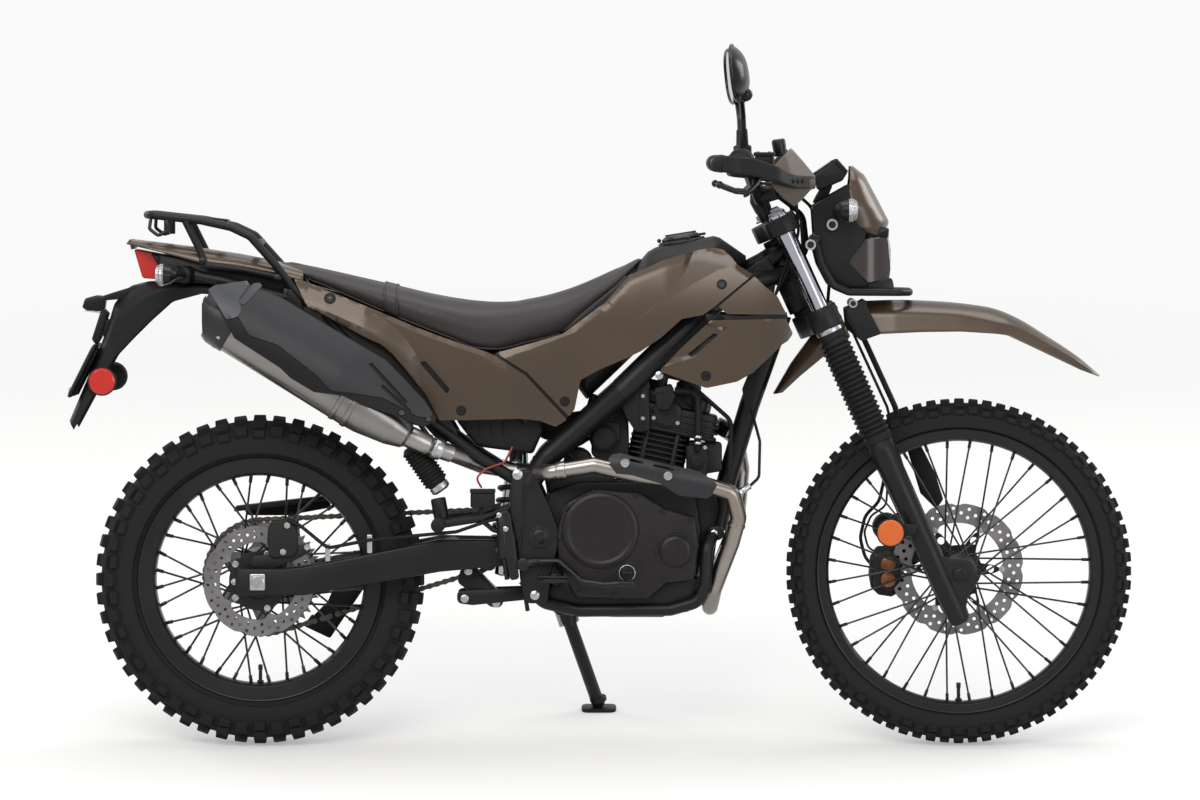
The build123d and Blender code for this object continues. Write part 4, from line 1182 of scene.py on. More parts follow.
def ring_points(radius: float, count: int = 48, centre: Flat = (0.0, 0.0)) -> list[Flat]:
    """Gives points round a circle."""
    return [(centre[0] + radius * math.cos(math.tau * i / count), centre[1] + radius * math.sin(math.tau * i / count))
            for i in range(count)]


def polar(radius: float, angle: float) -> Flat:
    """Gives the point at a radius and an angle in radians."""
    return (radius * math.cos(angle), radius * math.sin(angle))


# ---- wheels -----------------------------------------------------------------------------------


@dataclass(frozen=True)
class TreadRow:
    """A row of like tread blocks round a tyre."""

    count: int
    phase: float
    lean: float
    length: float
    width: float
    height: float
    both_sides: bool = True


@dataclass
class Wheel(Assembly):
    """A wire wheel: knobby tyre, drop-centre rim, laced spokes and cast hub."""

    label: str = "front"
    axle: Point = FRONT_AXLE
    tyre_r: float = 341.5
    crown_r: float = 38.0
    carcass_drop: float = 9.0
    bead_y: float = 20.5
    wide_y: float = 38.0
    flange_r: float = 281.0
    flange_y: float = 24.5
    well_r: float = 257.0
    spoke_count: int = 36
    spoke_r: float = 1.9
    hub_r: float = 29.0
    hub_y: float = 27.0
    swing: float = 62.0
    rows: tuple[TreadRow, ...] = ()
    hub_rows: tuple[Row, ...] = ()
    slot_name: str = "black_aluminium"

    def build(self) -> None:
        """Makes tyre, rim, spokes and hub."""
        self.tyre()
        self.rim()

    def tyre(self) -> None:
        """Turns the carcass and sets the tread blocks round it."""
        r, c = self.tyre_r - self.carcass_drop, self.crown_r - self.carcass_drop * 0.4
        bead = self.flange_r + 1.5
        crown = [(r - c + c * math.cos(math.radians(a)), c * math.sin(math.radians(a)) * self.wide_y / c, 0)
                 for a in range(-84, 85, 12)]
        rib = r - c - 14
        profile = [(self.well_r + 12, self.bead_y - 4, 2), (bead - 2, self.bead_y, 0), (bead + 2, self.bead_y + 3, 2),
                   (bead + 7, self.bead_y + 6, 1), (bead + 8, self.bead_y + 8.5, 1),
                   (rib, self.wide_y - 3.4, 2), (rib + 2, self.wide_y - 1.8, 0.5), (rib + 4.5, self.wide_y - 1.8, 0.5)]
        rows = [(x, -y, k) for x, y, k in profile] + crown + profile[::-1]
        carcass = lathe(rows, 152)
        place(carcass, basis((0, 1, 0)))
        place(carcass, Matrix.Translation(self.axle))
        parts = [carcass]
        for row in self.rows:
            parts.append(self.block_row(row, r, c))
        tyre = join(parts)
        self.finish(tyre, f"{self.label}_knobby_tyre", TYRE_RUBBER, "tyre", (f"{self.label}_tyre",))

    def block_row(self, row: TreadRow, r: float, c: float) -> bpy.types.Object:
        """Models one tread block and sets its copies round the crown.

        Args:
            row: The row's sizes.
            r: The carcass's radius.
            c: The carcass's crown radius.

        Returns:
            The joined blocks.
        """
        deselect()
        bpy.ops.mesh.primitive_cube_add(size=1.0)
        block = bpy.context.object
        block.scale = (row.length, row.width, row.height + 6)
        block.location = (0, 0, (row.height + 6) / 2 - 6)
        bpy.ops.object.transform_apply(location=True, rotation=True, scale=True)
        edit(block, "FACE", "DESELECT")
        choose(block, lambda middle, normal: normal.z > 0.9)
        bpy.ops.transform.resize(value=(0.84, 0.82, 1))
        bpy.ops.mesh.inset(thickness=1.6)
        bpy.ops.transform.translate(value=(0, 0, -0.5))
        close_edit()
        bevel(block, 0.8, 1, 40.0)
        places = []
        for side in ((1, -1) if row.both_sides else (1,)):
            lean = math.radians(row.lean) * side
            spot = Vector((0, c * math.sin(lean) * self.wide_y / c, r - c + c * math.cos(lean)))
            tilt = Matrix.Rotation(-lean, 4, "X")
            flip = FLIP_SIDE if side < 0 else Matrix.Identity(4)
            for number in range(row.count):
                angle = math.tau * (number + row.phase) / row.count
                turn = Matrix.Translation(self.axle) @ Matrix.Rotation(angle, 4, "Y")
                places.append(turn @ Matrix.Translation(spot) @ tilt @ flip)
        return patterned(block, places)

    def rim(self) -> None:
        """Turns the rim, laces the spokes and sets the hub."""
        f, y, w = self.flange_r, self.flange_y, self.well_r
        seat = f - 15
        rows = [(w, -10, 3), (w + 1.5, -y * 0.62, 3), (w + 6, -y + 0.5, 2), (f - 3, -y + 1, 1), (f, -y, 1.2),
                (f, -y + 3, 1), (seat, -y + 4, 1), (seat, y - 4, 1), (f, y - 3, 1), (f, y, 1.2), (f - 3, y - 1, 1),
                (w + 6, y - 0.5, 2), (w + 1.5, y * 0.62, 3), (w, 10, 3)]
        rim = lathe(rows, 144)
        place(rim, basis((0, 1, 0), at=self.axle))
        self.finish([rim, self.spokes(), self.hub(), self.valve()], f"{self.label}_wire_wheel",
                    BLACK_ANODISED, self.slot_name, (f"{self.label}_rim",))
        self.finish(self.nipples(), f"{self.label}_spoke_nipples", BLACK_OXIDE, self.slot_name)

    def spoke_ends(self) -> list[tuple[Vector, Vector]]:
        """Gives the hub and rim end of each spoke."""
        ends = []
        for number in range(self.spoke_count):
            side = 1 if number % 2 else -1
            way = 1 if number % 4 < 2 else -1
            at_rim = math.tau * (number + 0.5) / self.spoke_count
            at_hub = at_rim + way * math.radians(self.swing)
            hub, rim = polar(self.hub_r, at_hub), polar(self.well_r + 1, at_rim)
            ends.append((Vector(self.axle) + Vector((hub[0], side * self.hub_y, hub[1])),
                         Vector(self.axle) + Vector((rim[0], side * 4.5, rim[1]))))
        return ends

    def spokes(self) -> bpy.types.Object:
        """Laces the spokes, each with its elbow at the flange."""
        ends = self.spoke_ends()
        length = (ends[0][1] - ends[0][0]).length
        wire = rod(self.spoke_r, (0, 0, 0), (0, 0, length), 0, 8)
        elbow = ball(self.spoke_r * 1.7, (0, 0, 0), (1, 1, 0.8))
        places = [basis(stop - start, (0, 1, 0), start) for start, stop in ends]
        return patterned(join([wire, elbow]), places)

    def nipples(self) -> bpy.types.Object:
        """Models the nipples that draw the spokes tight at the rim."""
        nipple = rod(self.spoke_r * 1.75, (0, 0, -15), (0, 0, 1), 0.5, 6)
        places = [basis(stop - start, (0, 1, 0), stop) for start, stop in self.spoke_ends()]
        return patterned(nipple, places)

    def hub(self) -> bpy.types.Object:
        """Turns the hub and rounds off its flange edges."""
        hub = lathe(self.hub_rows, 64, 0.8)
        return place(hub, basis((0, 1, 0), at=self.axle))

    def valve(self) -> bpy.types.Object:
        """Models the valve stem with its nut and cap, at the foot of the rim."""
        x, _, z = self.axle
        foot = z - self.well_r
        stem = rod(3.6, (x, 0, foot), (x, 0, foot + 34), 0.6, 12)
        nut = rod(7.5, (x, 0, foot), (x, 0, foot + 5), 0.8, 6)
        cap = rod(4.6, (x, 0, foot + 25), (x, 0, foot + 36), 1.2, 14)
        return join([stem, nut, cap])


@dataclass
class Disc(Assembly):
    """A scalloped, drilled brake disc on its carrier."""

    label: str = "front"
    axle: Point = FRONT_AXLE
    y: float = 62.0
    outer_r: float = 131.0
    inner_r: float = 92.0
    waves: int = 12
    wave_depth: float = 4.5
    hole_rows: tuple[tuple[float, float, float], ...] = ()
    carrier_r: float = 84.0
    bore_r: float = 34.0
    arms: int = 6
    steel: Finish = FRONT_DISC_STEEL
    buttons: int = 6
    button_r: float = 6.0
    button_at: float = 88.0
    outward: int = 1

    def build(self) -> None:
        """Makes ring, carrier and buttons."""
        steps = self.waves * 16
        outer, inner = [], []
        for step in range(steps):
            angle = math.tau * step / steps
            dip = max(0.0, math.cos(self.waves * angle)) ** 3 * self.wave_depth
            outer.append(polar(self.outer_r - dip, angle))
        for step in range(steps):
            angle = math.tau * step / steps
            lobe = max(0.0, math.cos(self.buttons * angle)) ** 6 * 9.0 if self.buttons else 0.0
            inner.append(polar(self.inner_r - lobe, angle))
        holes = [inner]
        for radius, hole_r, phase in self.hole_rows:
            for number in range(self.waves * 2):
                centre = polar(radius, math.tau * (number + phase) / (self.waves * 2))
                holes.append(ring_points(hole_r, 12, centre))
        ring = perforated(outer, holes, -2, 2, 0.5)
        self.seat(ring, f"{self.label}_disc_ring", self.steel, (f"{self.label}_disc",))
        self.seat(self.carrier(), f"{self.label}_disc_carrier", BLACK_ANODISED)
        if self.buttons:
            spots = [polar(self.button_at, math.tau * n / self.buttons) for n in range(self.buttons)]
            button = lathe([(0, -3.2, 0), (self.button_r, -3.2, 0.5), (self.button_r, 3.2, 0.8), (3.4, 3.2, 0.4),
                            (3.2, 1.6, 0.3), (0, 1.6, 0)], 24)
            self.seat(patterned(button, [Matrix.Translation((x, y, 0)) for x, y in spots]),
                      f"{self.label}_disc_buttons", ZINC_PLATE)

    def carrier(self) -> bpy.types.Object:
        """Cuts the spider that carries the ring."""
        outer = []
        steps = self.arms * 24
        for step in range(steps):
            angle = math.tau * step / steps
            reach = max(0.0, math.cos(self.arms * angle)) ** 1.6
            outer.append(polar(self.bore_r + 14 + (self.carrier_r - self.bore_r - 14) * reach, angle))
        holes = [ring_points(self.bore_r - 8, 40)]
        for number in range(self.arms):
            centre = polar((self.bore_r + self.carrier_r) * 0.5 + 6, math.tau * number / self.arms)
            holes.append(ring_points(7.5, 16, centre))
        return perforated(outer, holes, -3, 2.4, 0.9)

    def seat(self, piece: bpy.types.Object, name: str, finish: Finish, stands_for: Sequence[str] = ()) -> None:
        """Stands a flat piece upright beside the wheel."""
        x, _, z = self.axle
        turn = SIDEWAYS if self.outward > 0 else FLIP_SIDE @ SIDEWAYS
        place(piece, Matrix.Translation((x, self.y, z)) @ turn)
        self.finish(piece, name, finish, "steel", stands_for)


@dataclass
class FinalDrive(Assembly):
    """The rear sprocket and the roller chain that runs from it round to the countershaft."""

    pitch: float = 15.875
    rear_teeth: int = 45
    front_teeth: int = 14
    chain_y: float = 74.0
    countershaft: Flat = (-65.5, 432.0)

    def pitch_r(self, teeth: int) -> float:
        """Gives the pitch radius of a sprocket."""
        return self.pitch / 2 / math.sin(math.pi / teeth)

    def build(self) -> None:
        """Makes sprocket and chain."""
        self.sprocket()
        self.chain()

    def sprocket(self) -> None:
        """Cuts the rear sprocket's teeth, windows and bolt holes."""
        radius = self.pitch_r(self.rear_teeth)
        outer = []
        for tooth in range(self.rear_teeth):
            for part, offset in ((0.0, -5.2), (0.2, -4.2), (0.36, 1.5), (0.44, 5.0), (0.56, 5.0), (0.64, 1.5),
                                 (0.8, -4.2)):
                outer.append(polar(radius + offset, math.tau * (tooth + part) / self.rear_teeth))
        holes = [ring_points(34, 48)]
        for number in range(6):
            middle = math.tau * number / 6
            window = [polar(94, middle - 0.36), polar(96, middle - 0.18), polar(97, middle), polar(96, middle + 0.18),
                      polar(94, middle + 0.36), polar(86, middle + 0.4), polar(66, middle + 0.2), polar(62, middle),
                      polar(66, middle - 0.2), polar(86, middle - 0.4)]
            holes.append(window)
            holes.append(ring_points(4.2, 12, polar(50, middle + math.pi / 6)))
        plate_piece = perforated(outer, holes, -2.2, 2.2, 0.6)
        place(plate_piece, Matrix.Translation((REAR_AXLE[0], self.chain_y, REAR_AXLE[2])) @ SIDEWAYS)
        self.body = Body.REAR_WHEEL
        carrier = lathe([(34, -5, 1), (60, -4, 1), (60, -0.5, 1), (36, -0.5, 1)], 64)
        place(carrier, basis((0, 1, 0), at=(REAR_AXLE[0], self.chain_y - 2, REAR_AXLE[2])))
        seats = [((REAR_AXLE[0] + polar(50, math.tau * (n + 0.5) / 6)[0], self.chain_y + 2.2,
                   REAR_AXLE[2] + polar(50, math.tau * (n + 0.5) / 6)[1]), (0, 1, 0)) for n in range(6)]
        self.finish([plate_piece, carrier], "rear_chainwheel", CAST_ALUMINIUM, "steel", ("rear_sprocket",))
        self.finish(bolts(seats, 7.0, 5.0), "rear_chainwheel_bolts", ZINC_PLATE, "steel")
        self.body = Body.FRAME

    def loop(self) -> list[tuple[Vector, Vector]]:
        """Walks the chain's loop in whole links.

        Returns:
            (start, direction) of each link, in the side view.
        """
        rear_r, front_r = self.pitch_r(self.rear_teeth), self.pitch_r(self.front_teeth)
        rear, front = Vector((REAR_AXLE[0], REAR_AXLE[2])), Vector(self.countershaft)
        span = front - rear
        along = math.atan2(span.y, span.x)
        lift = math.asin((rear_r - front_r) / span.length)
        top, foot = along + math.pi / 2 - lift, along - math.pi / 2 + lift
        route = []
        for step in range(181):
            angle = top + (math.tau - (top - foot)) * step / 180
            route.append(rear + Vector(polar(rear_r, angle)))
        for step in range(91):
            angle = foot + (top - foot) * step / 90
            route.append(front + Vector(polar(front_r, angle)))
        route.append(route[0])
        lengths = [0.0]
        for start, stop in zip(route, route[1:]):
            lengths.append(lengths[-1] + (stop - start).length)
        count = int(round(lengths[-1] / self.pitch / 2)) * 2
        walked = []
        for number in range(count):
            target = lengths[-1] * number / count
            index = max(i for i in range(len(lengths) - 1) if lengths[i] <= target)
            part = (target - lengths[index]) / max(lengths[index + 1] - lengths[index], 1e-9)
            walked.append(route[index] + (route[index + 1] - route[index]) * part)
        return [(walked[i], walked[(i + 1) % count] - walked[i]) for i in range(count)]

    def chain(self) -> None:
        """Models an outer and an inner link and runs them round the loop."""
        p = self.pitch
        half = 5.6
        waist = [(-half * 0.7, -half * 0.72), (0, -half), (p * 0.5, -half * 0.66), (p, -half),
                 (p + half * 0.7, -half * 0.72), (p + half, 0), (p + half * 0.7, half * 0.72), (p, half),
                 (p * 0.5, half * 0.66), (0, half), (-half * 0.7, half * 0.72), (-half, 0)]
        links = self.loop()
        pieces = []
        for parity, offset, wall in ((0, 6.2, 1.8), (1, 4.0, 1.8)):
            sides = []
            for sign in (1, -1):
                sheet = flat_face(waist)
                place(sheet, Matrix.Translation((0, 0, sign * offset - wall / 2)))
                thicken(sheet, wall, 1.0)
                sides.append(sheet)
            if parity:
                sides += [rod(5.0, (0, 0, -4), (0, 0, 4), 0, 12), rod(5.0, (p, 0, -4), (p, 0, 4), 0, 12)]
            else:
                sides += [rod(2.6, (0, 0, -8.2), (0, 0, 8.2), 0.5, 10), rod(2.6, (p, 0, -8.2), (p, 0, 8.2), 0.5, 10)]
            link = join(sides)
            places = []
            for start, run in links[parity::2]:
                turn = math.atan2(run.y, run.x)
                places.append(Matrix.Translation((start.x, self.chain_y, start.y)) @ SIDEWAYS
                              @ Matrix.Rotation(turn, 4, "Z"))
            pieces.append(patterned(link, places))
        chain = join(pieces)
        smooth(chain, 30)
        self.finish(chain, "roller_chain", CHAIN_STEEL, "steel", ("drive_chain",))


FRONT_WHEEL = Wheel(
    body=Body.FRONT_WHEEL,
    rows=(TreadRow(38, 0.0, 0.0, 21, 22, 8.6, False), TreadRow(38, 0.5, 15.0, 20, 14, 8.2),
          TreadRow(38, 0.0, 38.0, 21, 15, 8.0), TreadRow(38, 0.5, 58.0, 21, 17, 7.6),
          TreadRow(38, 0.0, 64.0, 20, 13, 6.5)),
    hub_rows=((9, -58, 1), (20, -58, 1.5), (24, -34, 3), (36, -32, 1.5), (36, -24, 1.5), (22, -16, 6), (22, 16, 6),
              (36, 24, 1.5), (36, 32, 1.5), (28, 37, 3), (38, 42, 2), (38, 58, 1), (9, 58, 1)),
)
REAR_WHEEL = Wheel(
    body=Body.REAR_WHEEL, label="rear", axle=REAR_AXLE, tyre_r=325.0, crown_r=55.0, carcass_drop=11.0, bead_y=27.5,
    wide_y=53.0, flange_r=240.6, flange_y=31.5, well_r=205.0, spoke_r=2.1, hub_r=46.0, hub_y=32.0, swing=58.0,
    rows=(TreadRow(26, 0.0, 0.0, 26, 34, 10.6, False), TreadRow(26, 0.5, 16.0, 27, 24, 10.2),
          TreadRow(26, 0.0, 38.0, 27, 24, 10.0), TreadRow(26, 0.5, 56.0, 27, 24, 9.4),
          TreadRow(26, 0.0, 63.0, 25, 18, 8.0)),
    hub_rows=((11, -70, 1), (38, -70, 1.5), (38, -52, 2), (30, -42, 4), (54, -38, 1.5), (54, -28, 1.5), (32, -20, 6),
              (32, 20, 6), (54, 28, 1.5), (54, 38, 1.5), (38, 42, 2), (46, 56, 2), (46, 70, 1), (11, 70, 1)),
)
FRONT_DISC = Disc(
    body=Body.FRONT_WHEEL, y=62.0, hole_rows=((104.0, 3.4, 0.25), (112.0, 3.4, 0.75), (121.0, 3.4, 0.25)),
)
REAR_DISC = Disc(
    body=Body.REAR_WHEEL, label="rear", axle=REAR_AXLE, y=-72.0, outer_r=109.0, inner_r=76.0, waves=10,
    wave_depth=3.6, hole_rows=((86.0, 3.0, 0.25), (93.0, 3.0, 0.75), (100.0, 3.0, 0.25)), carrier_r=66.0, bore_r=44.0,
    arms=5, buttons=5, button_at=56.0, button_r=6.5, steel=REAR_DISC_STEEL, outward=-1,
)


# ---- bodywork ---------------------------------------------------------------------------------


def height_on(knots: Sequence[Flat], at: float) -> float:
    """Reads a line of straight runs through knots."""
    return float(np.interp(at, [k[0] for k in knots], [k[1] for k in knots]))


def beside(spot: Flat, line: Sequence[Flat]) -> float:
    """Gives the signed distance from a line of runs, positive on its left."""
    best, signed = 1e9, 0.0
    for (ax, ay), (bx, by) in zip(line, line[1:]):
        run = (bx - ax, by - ay)
        length = math.hypot(*run)
        part = max(0.0, min(1.0, ((spot[0] - ax) * run[0] + (spot[1] - ay) * run[1]) / length ** 2))
        away = math.hypot(spot[0] - ax - part * run[0], spot[1] - ay - part * run[1])
        if away < best - 1e-6:
            best = away
            cross = run[0] * (spot[1] - ay) - run[1] * (spot[0] - ax)
            signed = away if cross >= 0 else -away
    return signed


@dataclass
class Bodywork(Assembly):
    """The bronze side panels and shrouds with the black pieces between them."""

    wall: float = 3.2
    plan: tuple[Flat, ...] = ((-640, 104), (-480, 123), (-300, 128), (-60, 126), (60, 136), (160, 148), (280, 166),
                              (370, 176))
    belly_z: float = 840.0
    top_lean: float = 22.0
    tank_low: tuple[Flat, ...] = ((58, 843), (147, 901), (211, 937), (249, 948), (285, 950))
    tank_high: tuple[Flat, ...] = ((58, 843), (110, 890), (150, 935), (163, 968), (163.1, 1100), (285, 1100))
    flare_top: tuple[Flat, ...] = ((-620, 915), (-545, 890), (-470, 858), (-428, 833), (-400, 806), (-384, 782),
                                   (-368, 752))
    flare_foot: tuple[Flat, ...] = ((-632, 884), (-555, 858), (-486, 827), (-446, 802), (-421, 781), (-396, 763),
                                    (-368, 751))
    flare_wide: tuple[Flat, ...] = ((-640, 33), (-480, 34), (-430, 30), (-400, 20), (-370, 0))
    lip_line: tuple[Flat, ...] = ((-212, 764), (-160, 780), (-68, 815), (-14, 856), (30, 906))
    cover_lip: tuple[Flat, ...] = ((-610, 910), (-559, 890), (-497, 865), (-436, 840), (-375, 814), (-313, 791),
                                   (-245, 768))
    vent_line: tuple[Flat, ...] = ((102, 747), (172, 769), (232, 827), (199, 828))

    def base(self, x: float, z: float) -> float:
        """Gives the body's half width, fullest at belly height."""
        above = max(0.0, z - self.belly_z) / 140.0
        below = max(0.0, self.belly_z - z) / 200.0
        fade = max(0.0, min(1.0, (x + 260) / 160))
        return height_on(self.plan, x) - above * above * self.top_lean * fade - below * below * 9.0

    def tank_side(self, x: float, z: float) -> float:
        """Gives the tank panel's outer face, with its scooped facet."""
        low, high = height_on(self.tank_low, x), height_on(self.tank_high, x)
        scoop = 0.0 if x < 58 else max(0.0, min(z - low, high - low))
        lip = max(0.0, min(12.0, 14.0 - abs(self.to_top(x, z)))) * 0.45
        return -(self.base(x, z) - 0.46 * scoop - lip)

    def to_top(self, x: float, z: float) -> float:
        """Gives how far a point lies under the panel's upper edge."""
        edge = ((-222, 774), (-160, 793), (-68, 829), (-8, 874), (39, 928), (104, 956), (177, 977), (239, 963),
                (285, 925))
        return height_on(edge, x) - z

    def cover_side(self, x: float, z: float) -> float:
        """Gives the rear side cover's outer face, flared over the silencer."""
        flare = max(0.0, min(-beside((x, z), self.flare_top), height_on(self.flare_wide, x)))
        edge = ((-620, 924), (-559, 900), (-497, 875), (-436, 850), (-375, 824), (-313, 801), (-240, 777), (-166, 730))
        lip = max(0.0, min(9.0, 10.0 - (height_on(edge, x) - z))) * 0.45 if x < -200 else 0.0
        return -(self.base(x, z) + 0.4 * flare - lip - 1.0)

    def shroud_side(self, x: float, z: float) -> float:
        """Gives the shroud's outer face, set back behind the vent line."""
        past = beside((x, z), self.vent_line[:3])
        step = max(0.0, min(7.0, past)) if x < 232 and z < 832 else 0.0
        nose = max(0.0, x - 290) / 70.0
        return -(self.base(x, z) + 6.0 - step - nose * nose * 12.0)

    def build(self) -> None:
        """Makes the panels of both sides, then the black trim."""
        tank_rows = [
            (39, 928, 6), (67, 939, 0), (104, 956, 20), (147, 969, 0), (177, 977, 20), (205, 981, 14), (223, 977, 8),
            (239, 963, 12), (251, 948, 4), (281, 929, 4), (208, 868, 0), (183, 850, 5), (142, 842, 10), (101, 805, 10),
            (61, 778, 10), (24, 761, 20), (-22, 741, 10), (-56, 722, 8), (-62, 695, 10), (-68, 664, 6), (-79, 650, 4),
            (-160, 736, 10), (-222, 775, 4), (-160, 792, 40), (-92, 812, 30), (-68, 829, 20), (-8, 874, 30),
        ]
        creases = (self.tank_low[:4], self.tank_high[:4], self.lip_line)
        tank = panel(tank_rows, self.tank_side, self.wall, creases, 8.0, 1.3, outside=-1)
        self.finish(mirrored(tank), "tank_side_panels", BRONZE_PAINT, "body_plastic", ("tank_panels",))
        cover_rows = [
            (-620, 924, 4), (-559, 900, 0), (-497, 875, 0), (-436, 850, 0), (-375, 824, 0), (-313, 801, 0),
            (-240, 777, 4), (-226, 771, 4), (-164, 731, 8), (-83, 644, 3), (-105, 630, 6), (-137, 642, 6),
            (-176, 646, 0),
            (-283, 643, 0), (-332, 643, 4), (-359, 693, 10), (-381, 721, 10), (-405, 751, 10), (-424, 773, 10),
            (-445, 791, 10), (-479, 807, 0), (-519, 828, 0), (-559, 850, 0), (-592, 867, 4),
        ]
        slot_hole = [(-372, 757, 3), (-360, 759, 3), (-312, 704, 4), (-318, 694, 4)]
        cover = panel(cover_rows, self.cover_side, self.wall, (self.flare_top, self.flare_foot[1:], self.cover_lip),
                      9.0, 1.3, holes=(slot_hole,), outside=-1)
        self.finish(mirrored(cover), "rear_side_covers", BRONZE_PAINT, "body_plastic", ("side_covers",))
        upper_rows = [(214, 867, 2), (284, 926, 3), (302, 908, 0), (329, 886, 12), (341, 862, 4), (347, 851, 2),
                      (230, 852, 2)]
        upper = panel(upper_rows, self.shroud_side, self.wall, (), 11.0, 1.2, outside=-1)
        lower_rows = [
            (199, 840, 2), (345, 843, 3), (359, 814, 8), (349, 800, 8), (338, 793, 6), (311, 766, 6), (281, 738, 10),
            (250, 720, 10), (190, 707, 20), (100, 739, 3), (104, 746, 2),
        ]
        vent = [(152, 772, 4), (163, 768, 4), (214, 812, 4), (204, 814, 3)]
        lower = panel(lower_rows, self.shroud_side, self.wall, (self.vent_line[:3],), 11.0, 1.2,
                      holes=(vent,), outside=-1)
        shrouds = mirrored(join([upper, lower]))
        self.finish(shrouds, "tank_shrouds", BRONZE_PAINT, "body_plastic", ("front_shrouds",))
        self.trim()
        self.screws()

    def backing(self, rows: Sequence[Row], surface: Callable[[float, float], float], depth: float) -> bpy.types.Object:
        """Moulds a black piece that lies a little behind a panel."""
        return panel(rows, lambda x, z: surface(x, z) + depth, 2.5, (), 16.0, 0.8, outside=-1)

    def trim(self) -> None:
        """Sets the black divider and the dark pieces behind slots and seams."""
        divider = self.backing([(186, 852, 4), (262, 848, 4), (347, 856, 2), (349, 838, 2), (262, 838, 4),
                                (198, 826, 4)], self.shroud_side, 3.0)
        slots = [
            self.backing([(144, 768, 2), (166, 758, 2), (224, 816, 2), (204, 822, 2)], self.shroud_side, 6.0),
            self.backing([(-382, 762, 2), (-358, 768, 2), (-302, 700, 2), (-326, 686, 2)], self.cover_side, 6.0),
            self.backing([(-230, 768, 2), (-214, 780, 2), (-150, 735, 2), (-76, 655, 2), (-90, 640, 2), (-170, 722, 2)],
                         self.tank_side, 5.0),
            self.backing([(196, 862, 2), (274, 930, 2), (290, 920, 2), (220, 858, 2)], self.tank_side, 4.0),
        ]
        pieces = mirrored(join([divider, *slots]))
        self.finish(pieces, "panel_backings", GRAINED_PLASTIC, "black_plastic")

    def screws(self) -> None:
        """Sets the panel screws, each in its rubber-faced recess."""
        spots = [((220, 910), self.tank_side, 10.5), ((-87, 680), self.tank_side, 10.5),
                 ((189, 731), self.shroud_side, 10.5), ((-547, 882), self.cover_side, 12.0),
                 ((-290, 662), self.cover_side, 10.5)]
        rings, heads = [], []
        for (x, z), surface, radius in spots:
            y = surface(x, z)
            slope_x = (surface(x + 6, z) - surface(x - 6, z)) / 12
            slope_z = (surface(x, z + 6) - surface(x, z - 6)) / 12
            way = Vector((slope_x, -1.0, slope_z)).normalized()
            ring = lathe([(radius * 0.52, -2, 0), (radius, -2, 0.4), (radius * 0.95, 1.1, 0.6),
                          (radius * 0.62, 1.4, 0.5), (radius * 0.52, 0.2, 0.3)], 32)
            rings.append(place(ring, basis(way, at=(x, y, z))))
            heads.append(place(bolt_head(radius * 0.56, 2.0, "button"), basis(way, at=Vector((x, y, z)) - way * 0.8)))
        self.finish(mirrored(join(rings)), "panel_screw_grommets", SOFT_RUBBER, "black_plastic")
        self.finish(mirrored(join(heads)), "panel_screws", BLACK_OXIDE, "black_metal")


@dataclass
class Tank(Assembly):
    """The fuel tank's black top cover with its hinged cap."""

    top: tuple[Flat, ...] = ((-74, 770), (-66, 812), (-30, 858), (10, 892), (40, 930), (62, 956), (76, 972), (92, 981),
                             (147, 991), (205, 1003), (217, 1000), (236, 987), (252, 976), (269, 964))
    foot: tuple[Flat, ...] = ((-74, 720), (-45, 680), (20, 742), (110, 830), (200, 905), (269, 950))
    half: tuple[Flat, ...] = ((-74, 78), (40, 108), (150, 114), (205, 104), (236, 78), (269, 40))
    cap_at: Flat = (143, 1000)
    cap_r: float = 47.0

    def section(self, along: float, across: float) -> Sequence[float]:
        """Gives a point of the tank's skin, round its section."""
        x = -74 + 343 * along
        angle = math.tau * across
        top, foot, half = height_on(self.top, x), height_on(self.foot, x), height_on(self.half, x)
        middle, rise = (top + foot) / 2, (top - foot) / 2
        power = 0.62
        side = math.copysign(abs(math.sin(angle)) ** power, math.sin(angle))
        up = math.copysign(abs(math.cos(angle)) ** (power * 1.15), math.cos(angle))
        crown = 1.0 - 0.16 * max(0.0, up) * abs(side)
        return (x, half * side * crown, middle + rise * up)

    def build(self) -> None:
        """Shapes the cover, then the cap."""
        form = blank(80, 64, self.section, wrap=True)
        close_ends(form)
        smooth(form, 40)
        self.finish(form, "tank_top_cover", GRAINED_PLASTIC, "black_plastic", ("fuel_tank",))
        tilt = Matrix.Translation((self.cap_at[0], 0, self.cap_at[1] - 9)) @ Matrix.Rotation(math.radians(-9), 4, "Y")
        r = self.cap_r
        base = lathe([(0, -6, 0), (r, -6, 1), (r, 2, 2), (r - 6, 5, 1), (0, 5, 0)], 64)
        lid = lathe([(0, 3, 0), (r - 9, 3, 0), (r - 8, 9, 2), (r - 14, 14, 3), (r - 22, 15.5, 2), (0, 16, 0)], 64)
        rib = plate(oblong(-r + 16, -4, r - 16, 4, 3), 15, 18.5, 1.4)
        hinge = rod(4.2, (-r + 3, -12, 9), (-r + 3, 12, 9), 0.8, 16)
        tongue = plate([(r - 20, -9, 3), (r + 2, -7, 4), (r + 2, 7, 4), (r - 20, 9, 3)], 7, 12, 1.2)
        cap = join([base, lid, rib, hinge, tongue])
        place(cap, tilt)
        self.finish(cap, "fuel_cap", BLACK_ABS, "black_plastic")
        screws = [((r - 4) * math.cos(a), (r - 4) * math.sin(a), 3.4) for a in np.linspace(0, math.tau, 6)[:-1]]
        set_of = bolts([(s, (0, 0, 1)) for s in screws], 2.8, 1.8, "button")
        self.finish(place(set_of, tilt), "fuel_cap_screws", BLACK_OXIDE, "black_metal")


